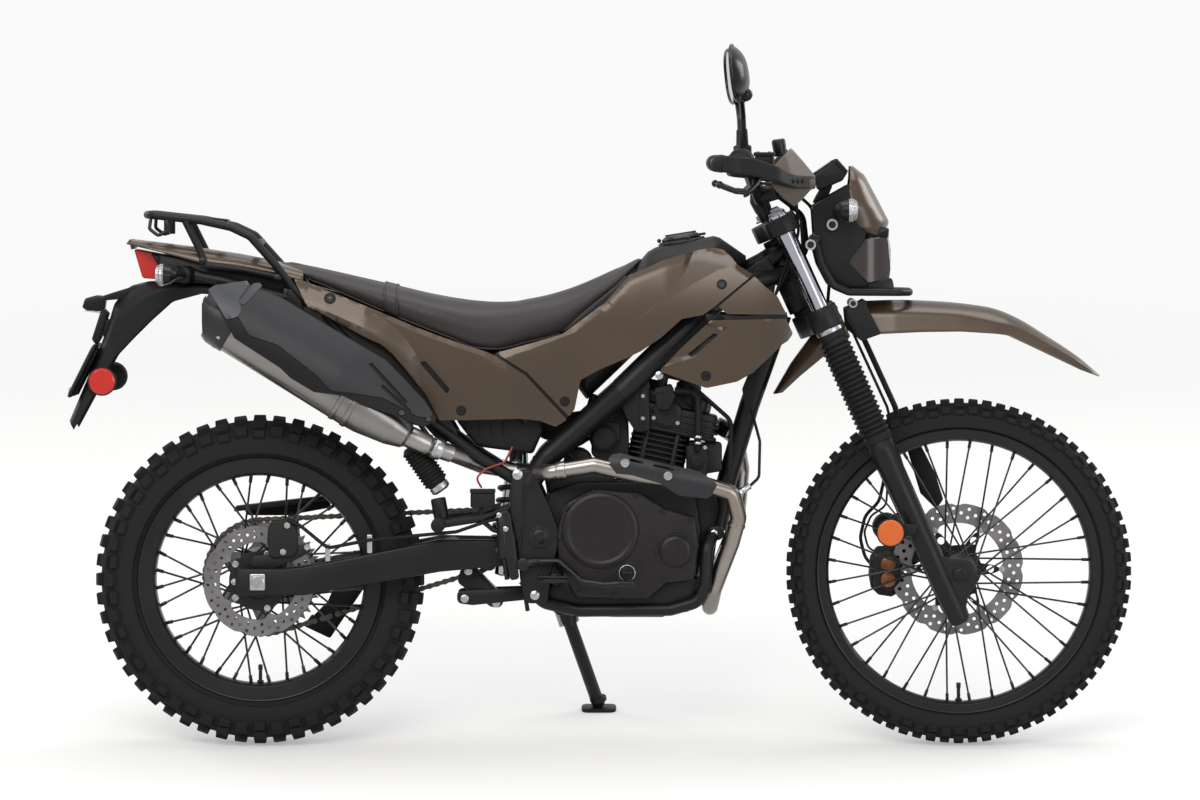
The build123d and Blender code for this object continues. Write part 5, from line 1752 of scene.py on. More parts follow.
@dataclass
class Seat(Assembly):
    """The long bench seat: foam under one vinyl cover, a welted edge and a passenger strap."""

    top: tuple[Flat, ...] = ((-648, 955), (-620, 948), (-559, 935), (-497, 921), (-444, 909), (-405, 900), (-344, 886),
                             (-298, 878), (-258, 873), (-221, 871), (-191, 872), (-160, 877), (-129, 883), (-80, 897),
                             (-37, 914), (6, 934), (39, 952), (55, 960), (66, 963))
    foot: tuple[Flat, ...] = ((-648, 946), (-620, 930), (-559, 905), (-497, 877), (-436, 850), (-375, 824), (-313, 799),
                              (-258, 777), (-221, 775), (-160, 789), (-92, 807), (-68, 824), (-25, 860), (12, 891),
                              (39, 923), (55, 944), (66, 958))
    half: tuple[Flat, ...] = ((-648, 46), (-620, 74), (-580, 96), (-500, 112), (-400, 124), (-330, 127), (-240, 118),
                              (-160, 103), (-60, 88), (0, 78), (40, 66), (66, 40))
    start: float = -648.0
    stop: float = 66.0
    strap_x: float = -428.0
    pressure: float = 2.0
    cap_mm: float = 2.0

    def section(self, along: float, across: float) -> Sequence[float]:
        """Gives a point of the foam's skin, round its section."""
        x = self.start + (self.stop - self.start) * along
        top, foot, half = blend_value(self.top, x), blend_value(self.foot, x), blend_value(self.half, x)
        angle = math.tau * across
        side, up = math.sin(angle), math.cos(angle)
        wide = math.copysign(abs(side) ** (0.62 if up > 0 else 0.4), side)
        tall = math.copysign(abs(up) ** (0.8 if up > 0 else 0.3), up)
        middle = (top * 0.42 + foot * 0.58)
        z = middle + ((top - middle) * tall if up > 0 else (middle - foot) * tall)
        pull = 1.0 - 0.10 * max(0.0, -tall)
        return (x, half * wide * pull, z)

    def build(self) -> None:
        """Shapes the foam, lets the cover settle over it, and sews on welt and strap."""
        form = blank(120, 56, self.section, wrap=True)
        close_ends(form)
        form = self.settle(form)
        smooth(form, 80)
        self.finish(form, "bench_seat_cover", SEAT_VINYL, "seat_cover", ("seat",))
        self.strap()
        self.welt()

    def settle(self, form: bpy.types.Object) -> bpy.types.Object:
        """Lets the vinyl cover stretch over the foam by a short cloth simulation.

        Args:
            form: The foam's shape.

        Returns:
            The cover after it has settled, no point further than the cap from the foam.
        """
        place(form, Matrix.Scale(MM, 4))
        remesh = form.modifiers.new("voxels", "REMESH")
        remesh.mode = "VOXEL"
        remesh.voxel_size = 0.0066
        apply_all(form)
        rest = [v.co.copy() for v in form.data.vertices]
        cloth = form.modifiers.new("cover", "CLOTH")
        cloth.settings.quality = 6
        cloth.settings.mass = 0.3
        cloth.settings.tension_stiffness = 18
        cloth.settings.compression_stiffness = 12
        cloth.settings.bending_stiffness = 6
        cloth.settings.use_pressure = True
        cloth.settings.uniform_pressure_force = self.pressure
        cloth.settings.effector_weights.gravity = 0.0
        cloth.collision_settings.use_collision = False
        scene = bpy.context.scene
        for number in range(1, 17):
            scene.frame_set(number)
        settled = form.evaluated_get(bpy.context.evaluated_depsgraph_get()).data
        moved = [v.co.copy() for v in settled.vertices]
        form.modifiers.clear()
        for vertex, start, stop in zip(form.data.vertices, rest, moved):
            step = stop - start
            limit = self.cap_mm * MM * self.freedom(start)
            if step.length > limit:
                step = step.normalized() * limit
            vertex.co = start + step
        form.data.update()
        scene.frame_set(1)
        round_off(form, 1)
        return place(form, Matrix.Scale(1 / MM, 4))

    def freedom(self, spot: Vector) -> float:
        """Says how freely the cover moves: not at all at the stapled lower edge."""
        z = spot.z / MM
        foot, top = blend_value(self.foot, spot.x / MM), blend_value(self.top, spot.x / MM)
        return max(0.02, min(1.0, (z - foot) / max(8.0, top - foot)))

    def arc(self, x: float, proud: float, count: int = 27, low: float = 0.36) -> list[Vector]:
        """Gives points over the seat at one station, from one lower edge to the other."""
        along = (x - self.start) / (self.stop - self.start)
        points = []
        for number in range(count):
            across = -low + 2 * low * number / (count - 1)
            spot = Vector(self.section(along, across))
            centre = Vector((x, 0, blend_value(self.foot, x) + 20))
            points.append(spot + (spot - centre).normalized() * proud)
        return points

    def strap(self) -> None:
        """Lays the flat passenger strap over the seat, from edge to edge."""
        width = 28.0
        rows = [self.arc(self.strap_x - width / 2 + width * k / 4, 5.2) for k in range(5)]
        band = blank(26, 4, lambda along, across: rows[int(round(across * 4))][int(round(along * 26))])
        face_up(band, lambda normal: normal.z)
        thicken(band, 2.6, -1.0)
        bevel(band, 0.7, 2, 50)
        smooth(band, 40)
        self.finish(band, "passenger_strap", SEAT_VINYL, "seat_cover")
        stitches = []
        for side in (-1, 1):
            line = self.arc(self.strap_x + side * (width / 2 - 3.5), 5.9, 121)
            for number in range(2, len(line) - 2, 2):
                stitches.append(basis(line[number + 1] - line[number], (1, 0, 0), line[number]))
        stitch = rod(0.55, (0, 0, -2.2), (0, 0, 2.2), 0.2, 6)
        self.finish(patterned(stitch, stitches), "strap_stitches", SOFT_RUBBER, "seat_cover")

    def welt(self) -> None:
        """Runs the piping along the seat's lower edge on both sides."""
        pieces = []
        for side in (-1, 1):
            xs = np.linspace(self.start + 14, self.stop - 16, 60)
            low = [Vector(self.section((x - self.start) / (self.stop - self.start), side * 0.335)) for x in xs]
            pieces.append(pipe([p + Vector((0, side * 1.2, 0)) for p in low], 2.2, 0, 3))
        self.finish(pieces, "seat_edge_piping", SEAT_VINYL, "seat_cover")


# ---- front fork, fender and brake -------------------------------------------------------------

FORK_SIDE = FORK_BASIS @ SIDEWAYS


@dataclass
class Fork(Assembly):
    """The telescopic fork with its bellows, clamps, axle and front brake."""

    body: Body = Body.STEERING
    leg_r: float = 24.5
    tube_r: float = 18.5
    bellows_r: float = 29.5
    folds: int = 19
    bellows: Flat = (302.0, 536.0)
    leg_top: float = 299.0
    cap_top: float = 793.0
    lower_clamp: Flat = (545.0, 589.0)
    upper_clamp: Flat = (750.0, 784.0)
    facet: tuple[Flat, ...] = ((470, 0.64), (690, 0.6), (762, 0.46), (800, 0.56), (967, 0.6))

    def stand_on(self, piece: bpy.types.Object, ahead: float, y: float) -> bpy.types.Object:
        """Sets a piece that was made standing on Z on the fork's axis system."""
        return place(piece, FORK_BASIS @ Matrix.Translation((ahead, y, 0)))

    def build(self) -> None:
        """Makes legs, tubes, bellows, clamps, axle and caliper."""
        self.legs()
        self.tubes()
        self.boots()
        self.clamps()
        self.axle()
        self.caliper()
        self.fender()
        self.reflectors()

    def legs(self) -> None:
        """Turns the outer legs and adds their cast axle lugs and brackets."""
        r = self.leg_r
        rows = [(0, -90, 0), (15, -90, 2), (21, -82, 4), (r - 1.5, -60, 8), (r - 1, 120, 0), (r, 240, 6),
                (r + 2.6, 262, 3), (r + 3.2, 286, 2), (r + 1.0, 303, 2), (0, 303, 0)]
        parts = []
        for y in (LEG_SPREAD, -LEG_SPREAD):
            parts.append(self.stand_on(lathe(rows, 48), LEG_AHEAD, y))
            inner = -1 if y > 0 else 1
            lug = plate([(8, -88, 10), (30, -92, 10), (62, -46, 20), (96, -22, 16), (97, 14, 16), (74, 30, 14),
                         (50, 40, 20), (42, 96, 10), (20, 104, 6), (6, 60, 10)], y - 17, y + 17, 4.0, 3)
            parts.append(place(lug, FORK_SIDE))
            rib = plate([(46, 30, 3), (52, 34, 3), (44, 150, 6), (38, 150, 6)], y - 4, y + 4, 1.5)
            parts.append(place(rib, FORK_SIDE))
            boss = lathe([(0, -21, 0), (17, -21, 2), (17, 21, 2), (0, 21, 0)], 36)
            parts.append(place(place(boss, basis((0, 1, 0))), FORK_BASIS @ Matrix.Translation((AXLE_AHEAD, y - inner,
                0))))
        mount = plate([(-12, 40, 6), (14, 44, 4), (14, 150, 6), (-10, 150, 6), (-38, 120, 10), (-40, 66, 10)], 84, 96,
                      2.5)
        parts.append(place(mount, FORK_SIDE))
        self.finish(parts, "fork_outer_legs", POWDER_COAT, "black_aluminium", ("fork_legs",))

    def tubes(self) -> None:
        """Turns the chromed inner tubes and their top caps."""
        rows = [(0, self.leg_top - 4, 0), (self.tube_r, self.leg_top - 4, 0), (self.tube_r, self.cap_top - 4, 1),
                (0, self.cap_top - 4, 0)]
        parts = [self.stand_on(lathe(rows, 48), LEG_AHEAD, y) for y in (LEG_SPREAD, -LEG_SPREAD)]
        self.finish(parts, "fork_chrome_tubes", HARD_CHROME, "fork_metal", ("fork_tubes",))
        caps, rings = [], []
        for y in (LEG_SPREAD, -LEG_SPREAD):
            cap = join([lathe([(0, self.cap_top - 6, 0), (17, self.cap_top - 6, 1), (17, self.cap_top + 3, 2),
                               (11, self.cap_top + 4, 0.5), (0, self.cap_top + 4, 0)], 40),
                        place(bolt_head(11, 7, "hex"), Matrix.Translation((0, 0, self.cap_top + 3)))])
            caps.append(self.stand_on(cap, LEG_AHEAD, y))
            ring = lathe([(self.tube_r, 536, 0), (27, 536, 1), (27, 545, 1.5), (self.tube_r, 545, 0)], 48)
            rings.append(self.stand_on(ring, LEG_AHEAD, y))
        self.finish(caps, "fork_top_caps", CAST_ALUMINIUM, "fork_metal")
        self.finish(rings, "fork_seal_rings", ZINC_PLATE, "fork_metal")

    def boots(self) -> None:
        """Turns the rubber bellows, fold by fold."""
        low, high = self.bellows
        step = (high - low - 34) / self.folds
        r = self.bellows_r
        rows = [(self.tube_r + 0.6, low, 0), (r - 1, low, 1.5), (r - 1, low + 12, 2), (r - 4, low + 16, 1)]
        for fold in range(self.folds):
            at = low + 17 + fold * step
            rows += [(r - 5.2, at, 0.9), (r, at + step * 0.34, 1.3), (r, at + step * 0.6, 1.3)]
        rows += [(r - 5, high - 15, 1), (r - 3, high - 12, 2), (r - 3, high, 1.5), (self.tube_r + 0.6, high, 0)]
        parts = [self.stand_on(lathe(rows, 32), LEG_AHEAD, y) for y in (LEG_SPREAD, -LEG_SPREAD)]
        self.finish(parts, "fork_bellows", SOFT_RUBBER, "grip_rubber", ("fork_gaiters",))

    def clamps(self) -> None:
        """Casts the two triple clamps with split ears, stem and bar risers."""
        parts, seats = [], []
        for low, high in (self.lower_clamp, self.upper_clamp):
            rows = [(60, -112, 20), (60, -82, 14), (38, -52, 24), (34, 0, 10), (38, 52, 24), (60, 82, 14),
                    (60, 112, 20), (28, 129, 34), (-2, 112, 20), (-8, 78, 24), (-26, 30, 22), (-30, 0, 20),
                    (-26, -30, 22), (-8, -78, 24), (-2, -112, 20), (28, -129, 34)]
            parts.append(place(plate(rows, low, high, 3.0, 3), FORK_BASIS))
            for y in (LEG_SPREAD, -LEG_SPREAD):
                for part in (0.3, 0.72):
                    seats.append((on_fork(-2, y * 0.78, low + (high - low) * part), FORK_FORWARD * -1))
                for part in (0.28, 0.72):
                    ear = rod(7.5, on_fork(54, y * 0.72, low + (high - low) * part),
                              on_fork(54, y * 0.98, low + (high - low) * part), 1.5, 20)
                    parts.append(ear)
        parts.append(rod(22, on_fork(0, 0, 585), on_fork(0, 0, 600), 2, 40))
        parts.append(rod(20, on_fork(0, 0, 734), on_fork(0, 0, 748), 2, 40))
        for y in (-38, 38):
            parts.append(rod(15, on_fork(8, y, 786), on_fork(8, y, 822), 2, 28))
            riser = plate([(-16, -18, 6), (16, -18, 6), (18, 10, 8), (10, 26, 8), (-10, 26, 8), (-18, 10, 8)],
                          y - 13, y + 13, 2)
            parts.append(place(riser, FORK_BASIS @ Matrix.Translation((8, 0, 822)) @ SIDEWAYS))
            for ahead in (-11, 27):
                seats.append((on_fork(ahead, y, 846), FORK_UP))
        self.finish(parts, "fork_triple_clamps", POWDER_COAT, "black_aluminium", ("fork_clamps",))
        nut = join([lathe([(0, 788, 0), (16, 788, 1), (16, 792, 1), (0, 792, 0)], 36),
                    place(bolt_head(13.5, 9, "hex"), Matrix.Translation((0, 0, 792)))])
        self.finish(self.stand_on(nut, 0, 0), "steering_stem_nut", ZINC_PLATE, "steel")
        self.finish(bolts(seats, 5.2, 5.0, "socket"), "clamp_bolts", BLACK_OXIDE, "black_metal")

    def axle(self) -> None:
        """Turns the axle with its nut and the pinch bolts."""
        x, _, z = FRONT_AXLE
        axle = rod(8, (x, -119, z), (x, 116, z), 1, 24)
        head = place(bolt_head(15, 9, "flange"), basis((0, -1, 0), at=(x, -112, z)))
        nut = place(bolt_head(13, 8, "flange"), basis((0, 1, 0), at=(x, 112, z)))
        hole = lathe([(5.5, 9, 0), (8, 9, 0.5), (8, 13, 0.5), (5.5, 13, 0)], 24)
        place(hole, basis((0, -1, 0), at=(x, -112, z)))
        self.finish([axle, head, nut, hole], "front_axle", BLACK_OXIDE, "black_metal")
        seats = []
        for y in (-LEG_SPREAD, LEG_SPREAD):
            seats += [(on_fork(44, y, -52), FORK_FORWARD - FORK_UP * 0.6),
                      (on_fork(62, y, -34), FORK_FORWARD - FORK_UP * 0.6)]
        self.finish(bolts(seats, 5, 5, "socket"), "axle_pinch_bolts", BLACK_OXIDE, "black_metal")

    def caliper(self) -> None:
        """Casts the sliding caliper and its bracket on the left leg, with pads, brake hose and lead."""
        y = 62.0
        back = plate([(519, 304, 8), (534, 290, 8), (560, 286, 8), (584, 300, 6), (586, 330, 6), (578, 352, 10),
                      (584, 372, 10), (562, 388, 10), (530, 386, 10), (517, 366, 8), (514, 330, 10)], 68, 92, 4, 3)
        front = plate([(524, 308, 6), (560, 300, 8), (578, 320, 10), (576, 360, 10), (556, 380, 8), (526, 372, 8)],
                      36, 56, 4, 3)
        bridge = plate([(516, 318, 4), (530, 314, 4), (530, 368, 4), (516, 364, 4)], 50, 74, 3)
        arm = plate([(556, 372, 6), (600, 392, 8), (630, 380, 8), (640, 362, 6), (600, 356, 10), (572, 340, 8)], 70, 80,
                    2.5)
        pins = [rod(6, (548, 66, 300), (548, 96, 300), 1.2, 18), rod(6, (552, 66, 376), (552, 96, 376), 1.2, 18)]
        parts = [place(piece, SIDEWAYS) for piece in (back, front, bridge, arm)] + pins
        fins = [side_plate([(530 + 9 * k, 306, 1), (534 + 9 * k, 305, 1), (534 + 9 * k, 350, 1), (530 + 9 * k, 350, 1)],
                            90, 94, 0.8) for k in range(5)]
        self.finish(join(parts + fins), "front_caliper_body", ENGINE_ENAMEL, "black_aluminium", ("front_caliper",))
        piston = [rod(15, (552, 36 - 6, z), (552, 38, z), 1.5, 36) for z in (322, 352)]
        pads = [side_plate([(532, 312, 4), (576, 318, 6), (572, 362, 6), (530, 364, 4)], low, high, 0.8)
                for low, high in ((y - 7.5, y - 3), (y + 3, y + 7.5))]
        self.finish(join(piston + pads), "front_brake_pads", COPPER_PLATE, "steel")
        hose = pipe([(526, 86, 345), (508, 92, 362), (498, 96, 402), (508, 98, 446), (536, 99, 474), (546, 99, 520),
                     (508, 98, 640), (470, 98, 730), (430, 92, 830), (440, 80, 960), (400, 60, 1060), (330, -60, 1120),
                     (286, -200, 1148)], 3.4, 40, 3)
        lead = pipe([(540, 88, 372), (514, 92, 380), (506, 96, 414), (520, 98, 446), (550, 98, 466), (552, 98, 500),
                     (530, 98, 570), (474, 96, 700), (438, 90, 820)], 2.2, 24, 3)
        self.finish([hose, lead], "front_brake_hose", SOFT_RUBBER, "black_plastic")

    def fender(self) -> None:
        """Moulds the high fender, its rear part behind the fork and its bracket."""
        crest = ((470, 866), (501, 875), (575, 877), (652, 874), (741, 864), (768, 857), (807, 840), (861, 807),
                 (923, 766), (967, 729))
        edge = ((470, 838), (494, 812), (532, 811), (613, 815), (691, 816), (760, 812), (783, 809), (845, 780),
                (900, 754), (930, 740), (967, 727))
        half = ((470, 58), (560, 68), (760, 66), (860, 56), (920, 42), (950, 28), (967, 12))

        def skin(along: float, across: float) -> Sequence[float]:
            """Gives a point of the fender's outer face."""
            x = 470 + 497 * along
            t = 2 * across - 1
            top, low, wide = blend_value(crest, x), height_on(edge, x), height_on(half, x)
            shoulder = low + (top - low) * height_on(self.facet, x)
            a = abs(t)
            if a < 0.62:
                part = a / 0.62
                return (x, math.copysign(wide * 0.88 * part, t), top - (top - shoulder) * part ** 2.4)
            part = (a - 0.62) / 0.38
            return (x, math.copysign(wide * (0.88 + 0.12 * part), t), shoulder + (low - shoulder) * part)

        sheet = blank(90, 34, skin)
        face_up(sheet, lambda normal: normal.z)
        mould(sheet, 2.8, 0.8)
        crest_b = ((0.0, 456, 846), (0.3, 402, 812), (0.65, 358, 752), (1.0, 323, 692))
        edge_b = ((0.0, 474, 806), (0.3, 424, 768), (0.65, 374, 726), (1.0, 341, 694))

        def tail(along: float, across: float) -> Sequence[float]:
            """Gives a point of the rear part's outer face."""
            t = 2 * across - 1
            wide = 56 - 28 * along ** 1.5
            crest_x, crest_z = (height_on([(k[0], k[i]) for k in crest_b], along) for i in (1, 2))
            edge_x, edge_z = (height_on([(k[0], k[i]) for k in edge_b], along) for i in (1, 2))
            part = max(0.0, abs(t) - 0.45) / 0.55
            return (crest_x + (edge_x - crest_x) * part ** 1.4, math.copysign(wide * min(1.0, abs(t) / 0.8), t),
                    crest_z + (edge_z - crest_z) * part ** 1.4)

        back = blank(36, 26, tail)
        face_up(back, lambda normal: normal.z - normal.x)
        mould(back, 2.8, 0.8)
        self.finish([sheet, back], "front_mudguard", BRONZE_PAINT, "body_plastic", ("front_fender",))
        block = side_plate([(462, 862, 6), (500, 872, 4), (533, 812, 4), (496, 797, 8), (466, 820, 8)], -54, 54, 4)
        plates = [side_plate([(466, 860, 4), (503, 880, 4), (508, 862, 4), (534, 811, 3), (494, 797, 5), (466, 838, 5)],
                             low, high, 1.6) for low, high in ((-72, -66), (66, 72))]
        self.finish([block, *plates], "mudguard_bracket", GRAINED_PLASTIC, "black_plastic")
        seats = both_sides(73, (479, 871))
        self.finish(bolts(seats, 8.5, 4, "button"), "mudguard_bolts", ZINC_PLATE, "steel")
        seats = both_sides(76.2, (479, 871))
        self.finish(bolts(seats, 5.4, 1.6, "button"), "mudguard_bolt_sockets", BLACK_OXIDE, "black_metal")
        guard = side_plate([(585, 600, 4), (612, 600, 6), (648, 530, 10), (664, 478, 6), (650, 458, 6), (618, 490, 8)],
                           108, 114, 1.5)
        tubes = [pipe([(498 + n, 60, 812), (566 + n, 60, 664), (572 + n, 60, 640)], r, 20, 3) for n,
                 r in ((0, 6), (-16, 3))]
        self.finish([guard, *tubes], "fork_hose_guard", GRAINED_PLASTIC, "black_plastic")

    def reflectors(self) -> None:
        """Sets the amber side reflectors in black cups on the legs."""
        amber, cups = [], []
        for side in (-1, 1):
            seat = outward_seat(side, 551, 132, 423)
            lens = lathe([(0, 0, 0), (25.5, 0, 0), (25.5, 4, 1.5), (22, 6.2, 1), (0, 6.8, 0)], 56)
            cup = lathe([(0, -10, 0), (24, -10, 3), (28, -2, 2), (28, 3.4, 1), (25.6, 3.4, 0.4), (25.4, 0, 0),
                         (0, 0, 0)], 56)
            amber.append(place(lens, seat))
            cups.append(place(cup, seat))
            stalk = plate([(546, 406, 5), (600, 420, 6), (608, 440, 6), (560, 440, 6)],
                          *sorted((side * 118, side * 123)), 1.4)
            cups.append(place(stalk, SIDEWAYS))
            cups.append(rod(9, (552, side * 112, 423), (552, side * 124, 423), 1.5, 20))
        self.finish(amber, "amber_reflectors", AMBER_LENS, "lens")
        self.finish(cups, "reflector_cups", GRAINED_PLASTIC, "black_plastic")


# ---- handlebar, controls, guards, mirrors and lamps -------------------------------------------

BAR_RISE = Vector((272.0, 205.0, 1140.0))
BAR_END = Vector((212.0, 400.0, 1146.0))
GRIP_WAY = (BAR_END - BAR_RISE).normalized()


@dataclass
class Cockpit(Assembly):
    """The handlebar with what the rider holds and looks into."""

    body: Body = Body.STEERING
    bar_r: float = 11.0
    grip_ribs: int = 22

    def on_bar(self, along: float) -> Matrix:
        """Gives the place on the left grip's axis, with its own up and forward."""
        return basis(GRIP_WAY, (0.0, 0.0, 1.0), BAR_RISE + GRIP_WAY * along)

    def build(self) -> None:
        """Makes bar, grips, levers, guards, mirrors and cables."""
        self.bar()
        self.grips()
        self.levers()
        self.guards()
        self.mirrors()
        self.cables()

    def bar(self) -> None:
        """Bends the tube and sets the knurled bands where the risers clamp it."""
        half = [(294, 0, 1074.6), (294, 95, 1074.6), BAR_RISE, BAR_END]
        tube = pipe([(x, -y, z) for x, y, z in map(tuple, half[::-1])] + half[1:], self.bar_r, 60, 5)
        knurl = [rod(self.bar_r + 1.2, (294, y - 12, 1074.6), (294, y + 12, 1074.6), 0.8, 28) for y in (-38, 38)]
        self.finish([tube, *knurl], "handlebar_tube", POWDER_COAT, "black_metal", ("handlebar",))

    def grips(self) -> None:
        """Turns ribbed grips with flanges, the bar-end weights and the switch housings."""
        rows = [(self.bar_r, 72, 0), (23, 72, 1), (23, 76, 1.5), (17, 79, 1)]
        for rib in range(self.grip_ribs):
            at = 80 + rib * 4.9
            rows += [(15.2, at, 0.5), (16.6, at + 1.4, 0.6), (16.6, at + 3.2, 0.6)]
        rows += [(15.4, 188, 1), (17.5, 190, 1.5), (17.5, 196, 2), (self.bar_r, 196, 0)]
        grip = place(lathe(rows, 30), self.on_bar(0))
        self.finish(mirrored(grip), "ribbed_grips", SOFT_RUBBER, "grip_rubber", ("hand_controls",))
        end = place(lathe([(0, 196, 0), (16, 196, 2), (16.5, 212, 3), (11, 218, 2), (0, 218, 0)], 32), self.on_bar(0))
        self.finish(mirrored(end), "bar_end_weights", BLACK_OXIDE, "black_metal")
        housings = []
        for side in (1, -1):
            box = plate([(-22, -20, 10), (20, -20, 10), (24, 8, 12), (14, 24, 10), (-12, 24, 10), (-24, 6, 10)], 40, 68,
                        3, 3)
            pod = lathe([(0, 20, 0), (17, 20, 3), (18, 36, 3), (15, 41, 2), (0, 41, 0)], 32)
            parts = [place(box, self.on_bar(0)), place(pod, self.on_bar(0))]
            switch = place(plate(oblong(-7, -3, 7, 3, 2), 22, 27, 1), self.on_bar(54) @
                           Matrix.Rotation(math.radians(90 if side > 0 else 70), 4, "Y"))
            parts.append(switch)
            housings.append(join(parts) if side > 0 else place(join(parts), FLIP_SIDE))
        throttle = lathe([(0, 0, 0), (25, 0, 4), (27, 8, 5), (24, 22, 5), (0, 22, 0)], 36)
        place(throttle, FLIP_SIDE @ self.on_bar(44) @ Matrix.Translation((8, 0, 0)))
        self.finish(join(housings + [throttle]), "switch_housings", GRAINED_PLASTIC, "black_plastic")

    def levers(self) -> None:
        """Forges the levers and their perches, and the brake's master cylinder."""
        lever_points = [(286, 196, 1118), (288, 226, 1112), (284, 262, 1104), (270, 322, 1090), (246, 366, 1092),
                        (216, 404, 1104)]
        blade = pipe(lever_points, 6.2, 26, 4, radii=(1.25, 1.15, 0.95, 0.85, 0.85, 0.95))
        tip = ball(7.5, (213, 407, 1105))
        perch = pipe([(276, 208, 1138), (290, 204, 1126), (292, 196, 1116)], 10, 12, 4)
        clamp = place(lathe([(self.bar_r, 4, 0), (18, 4, 2), (18, 20, 2), (self.bar_r, 20, 0)], 32), self.on_bar(0))
        side = join([blade, tip, perch, clamp])
        self.finish(mirrored(side), "hand_levers", BLACK_ANODISED, "black_metal")
        tank_box = plate([(282, -250, 5), (318, -250, 5), (322, -208, 6), (286, -206, 6)], 1136, 1160, 2.5, 3)
        lid = plate([(280, -252, 5), (320, -252, 5), (324, -206, 6), (284, -204, 6)], 1160, 1168, 1.8)
        neck = rod(9, (300, -214, 1128), (300, -176, 1134), 2, 24)
        cup = lathe([(0, 0, 0), (12, 0, 2), (13.5, 22, 2), (13.5, 31, 3), (10, 34, 2), (0, 34, 0)], 32)
        place(cup, Matrix.Translation((334, -182, 1160)) @ Matrix.Rotation(math.radians(-8), 4, "Y"))
        self.finish([tank_box, lid, neck], "brake_reservoir", GRAINED_PLASTIC, "black_plastic")
        self.finish(cup, "cable_adjuster_cup", BLACK_ANODISED, "black_aluminium")
        seats = [((x, y, 1168), (0, 0, 1)) for x, y in ((290, -242), (312, -214))]
        self.finish(bolts(seats, 3.2, 1.6, "button"), "reservoir_screws", ZINC_PLATE, "steel")

    def guard_line(self, along: float) -> Vector:
        """Gives the spar's middle in plan, from bar end to inner clamp."""
        route = path_points([(214, 412, 0), (244, 410, 0), (326, 346, 0), (398, 192, 0), (396, 128, 0)], 50, 10)
        lengths = np.cumsum([0.0] + [(b - a).length for a, b in zip(route, route[1:])])
        return Vector((float(np.interp(along * lengths[-1], lengths, [p.x for p in route])),
                       float(np.interp(along * lengths[-1], lengths, [p.y for p in route])), 0.0))

    def guards(self) -> None:
        """Forges the black spars and moulds the bronze shields on them."""
        spar_z = ((0.0, 1145), (0.18, 1140), (0.45, 1118), (0.6, 1110), (1.0, 1108))
        spar_h = ((0.0, 15), (0.2, 17), (0.45, 13), (1.0, 12))

        def spar(along: float, across: float) -> Sequence[float]:
            """Gives a point of the spar's outer face."""
            spot = self.guard_line(along)
            return (spot.x + 4, spot.y + 7, height_on(spar_z, along) + (2 * across - 1) * height_on(spar_h, along))

        bar = blank(60, 6, spar)
        face_up(bar, lambda normal: normal.x + normal.y)
        thicken(bar, 8)
        bevel(bar, 2.4, 3, 50)
        smooth(bar, 40)
        eye = rod(16, (214, 404, 1145), (214, 416, 1145), 2.5, 36)
        inner = rod(13, (396, 128, 1108), (330, 118, 1092), 3, 24)
        clamp = rod(16, (298, 104, 1082), (330, 118, 1092), 3, 24)
        top = ((310, 1129), (330, 1151), (354, 1176), (376, 1152), (401, 1122))
        foot = ((310, 1120), (319, 1098), (341, 1076), (360, 1063), (374, 1075), (387, 1089), (401, 1104))

        def shield(along: float, across: float) -> Sequence[float]:
            """Gives a point of the shield's outer face."""
            part = 0.40 + 0.36 * along
            spot = self.guard_line(part)
            x = 310 + (401 - 310) * along
            z = height_on(foot, x) + (height_on(top, x) - height_on(foot, x)) * across
            flat = abs(z - 1106) / 60
            crease = max(0.0, x - (352 - (z - 1127) * 0.3)) * 0.16 if z > 1116 else 0.0
            return (x, spot.y - 4 - 6 * flat - crease, z)

        shell = blank(40, 28, shield)
        face_up(shell, lambda normal: normal.y)
        mould(shell, 2.6, 0.9, 24)
        self.finish(mirrored(join([bar, eye, inner, clamp])), "hand_guard_spars", GRAINED_PLASTIC, "black_plastic")
        self.finish(mirrored(shell), "hand_guard_shields", BRONZE_PAINT, "body_plastic", ("hand_guards",))
        seats = [((214, 417, 1145), (0, 1, 0))] + [
            (self.guard_line(p) + Vector((4, 5, 1111)), (0.7, 0.7, 0)) for p in (0.52, 0.58, 0.64)]
        self.finish(mirrored(bolts(seats, 5, 2.5, "button")), "hand_guard_screws", BLACK_OXIDE, "black_metal")

    def mirrors(self) -> None:
        """Moulds the mirror heads, sets their glass and bends the stems."""
        tilt = Matrix.Translation((248, 340, 1321)) @ Matrix.Rotation(math.radians(-6), 4, "Y") @ Matrix.Rotation(
            math.radians(5), 4, "Z")

        def shape(radius: float, angle: float) -> tuple[float, float]:
            """Gives a point of the head's outline, wider outside."""
            y, z = math.cos(angle), math.sin(angle)
            power = 0.72
            wide = math.copysign(abs(y) ** power, y) * 72 * (1.0 + 0.04 * y)
            tall = math.copysign(abs(z) ** power, z) * 54 * (1.0 - 0.16 * y)
            return wide * radius, tall * radius

        def shell(along: float, across: float) -> Sequence[float]:
            """Gives a point of the domed housing."""
            radius = max(0.02, across)
            y, z = shape(radius, math.tau * along)
            return (21 * (1 - radius ** 2.6) - 5 * radius ** 8 - z * 0.06, y, z)

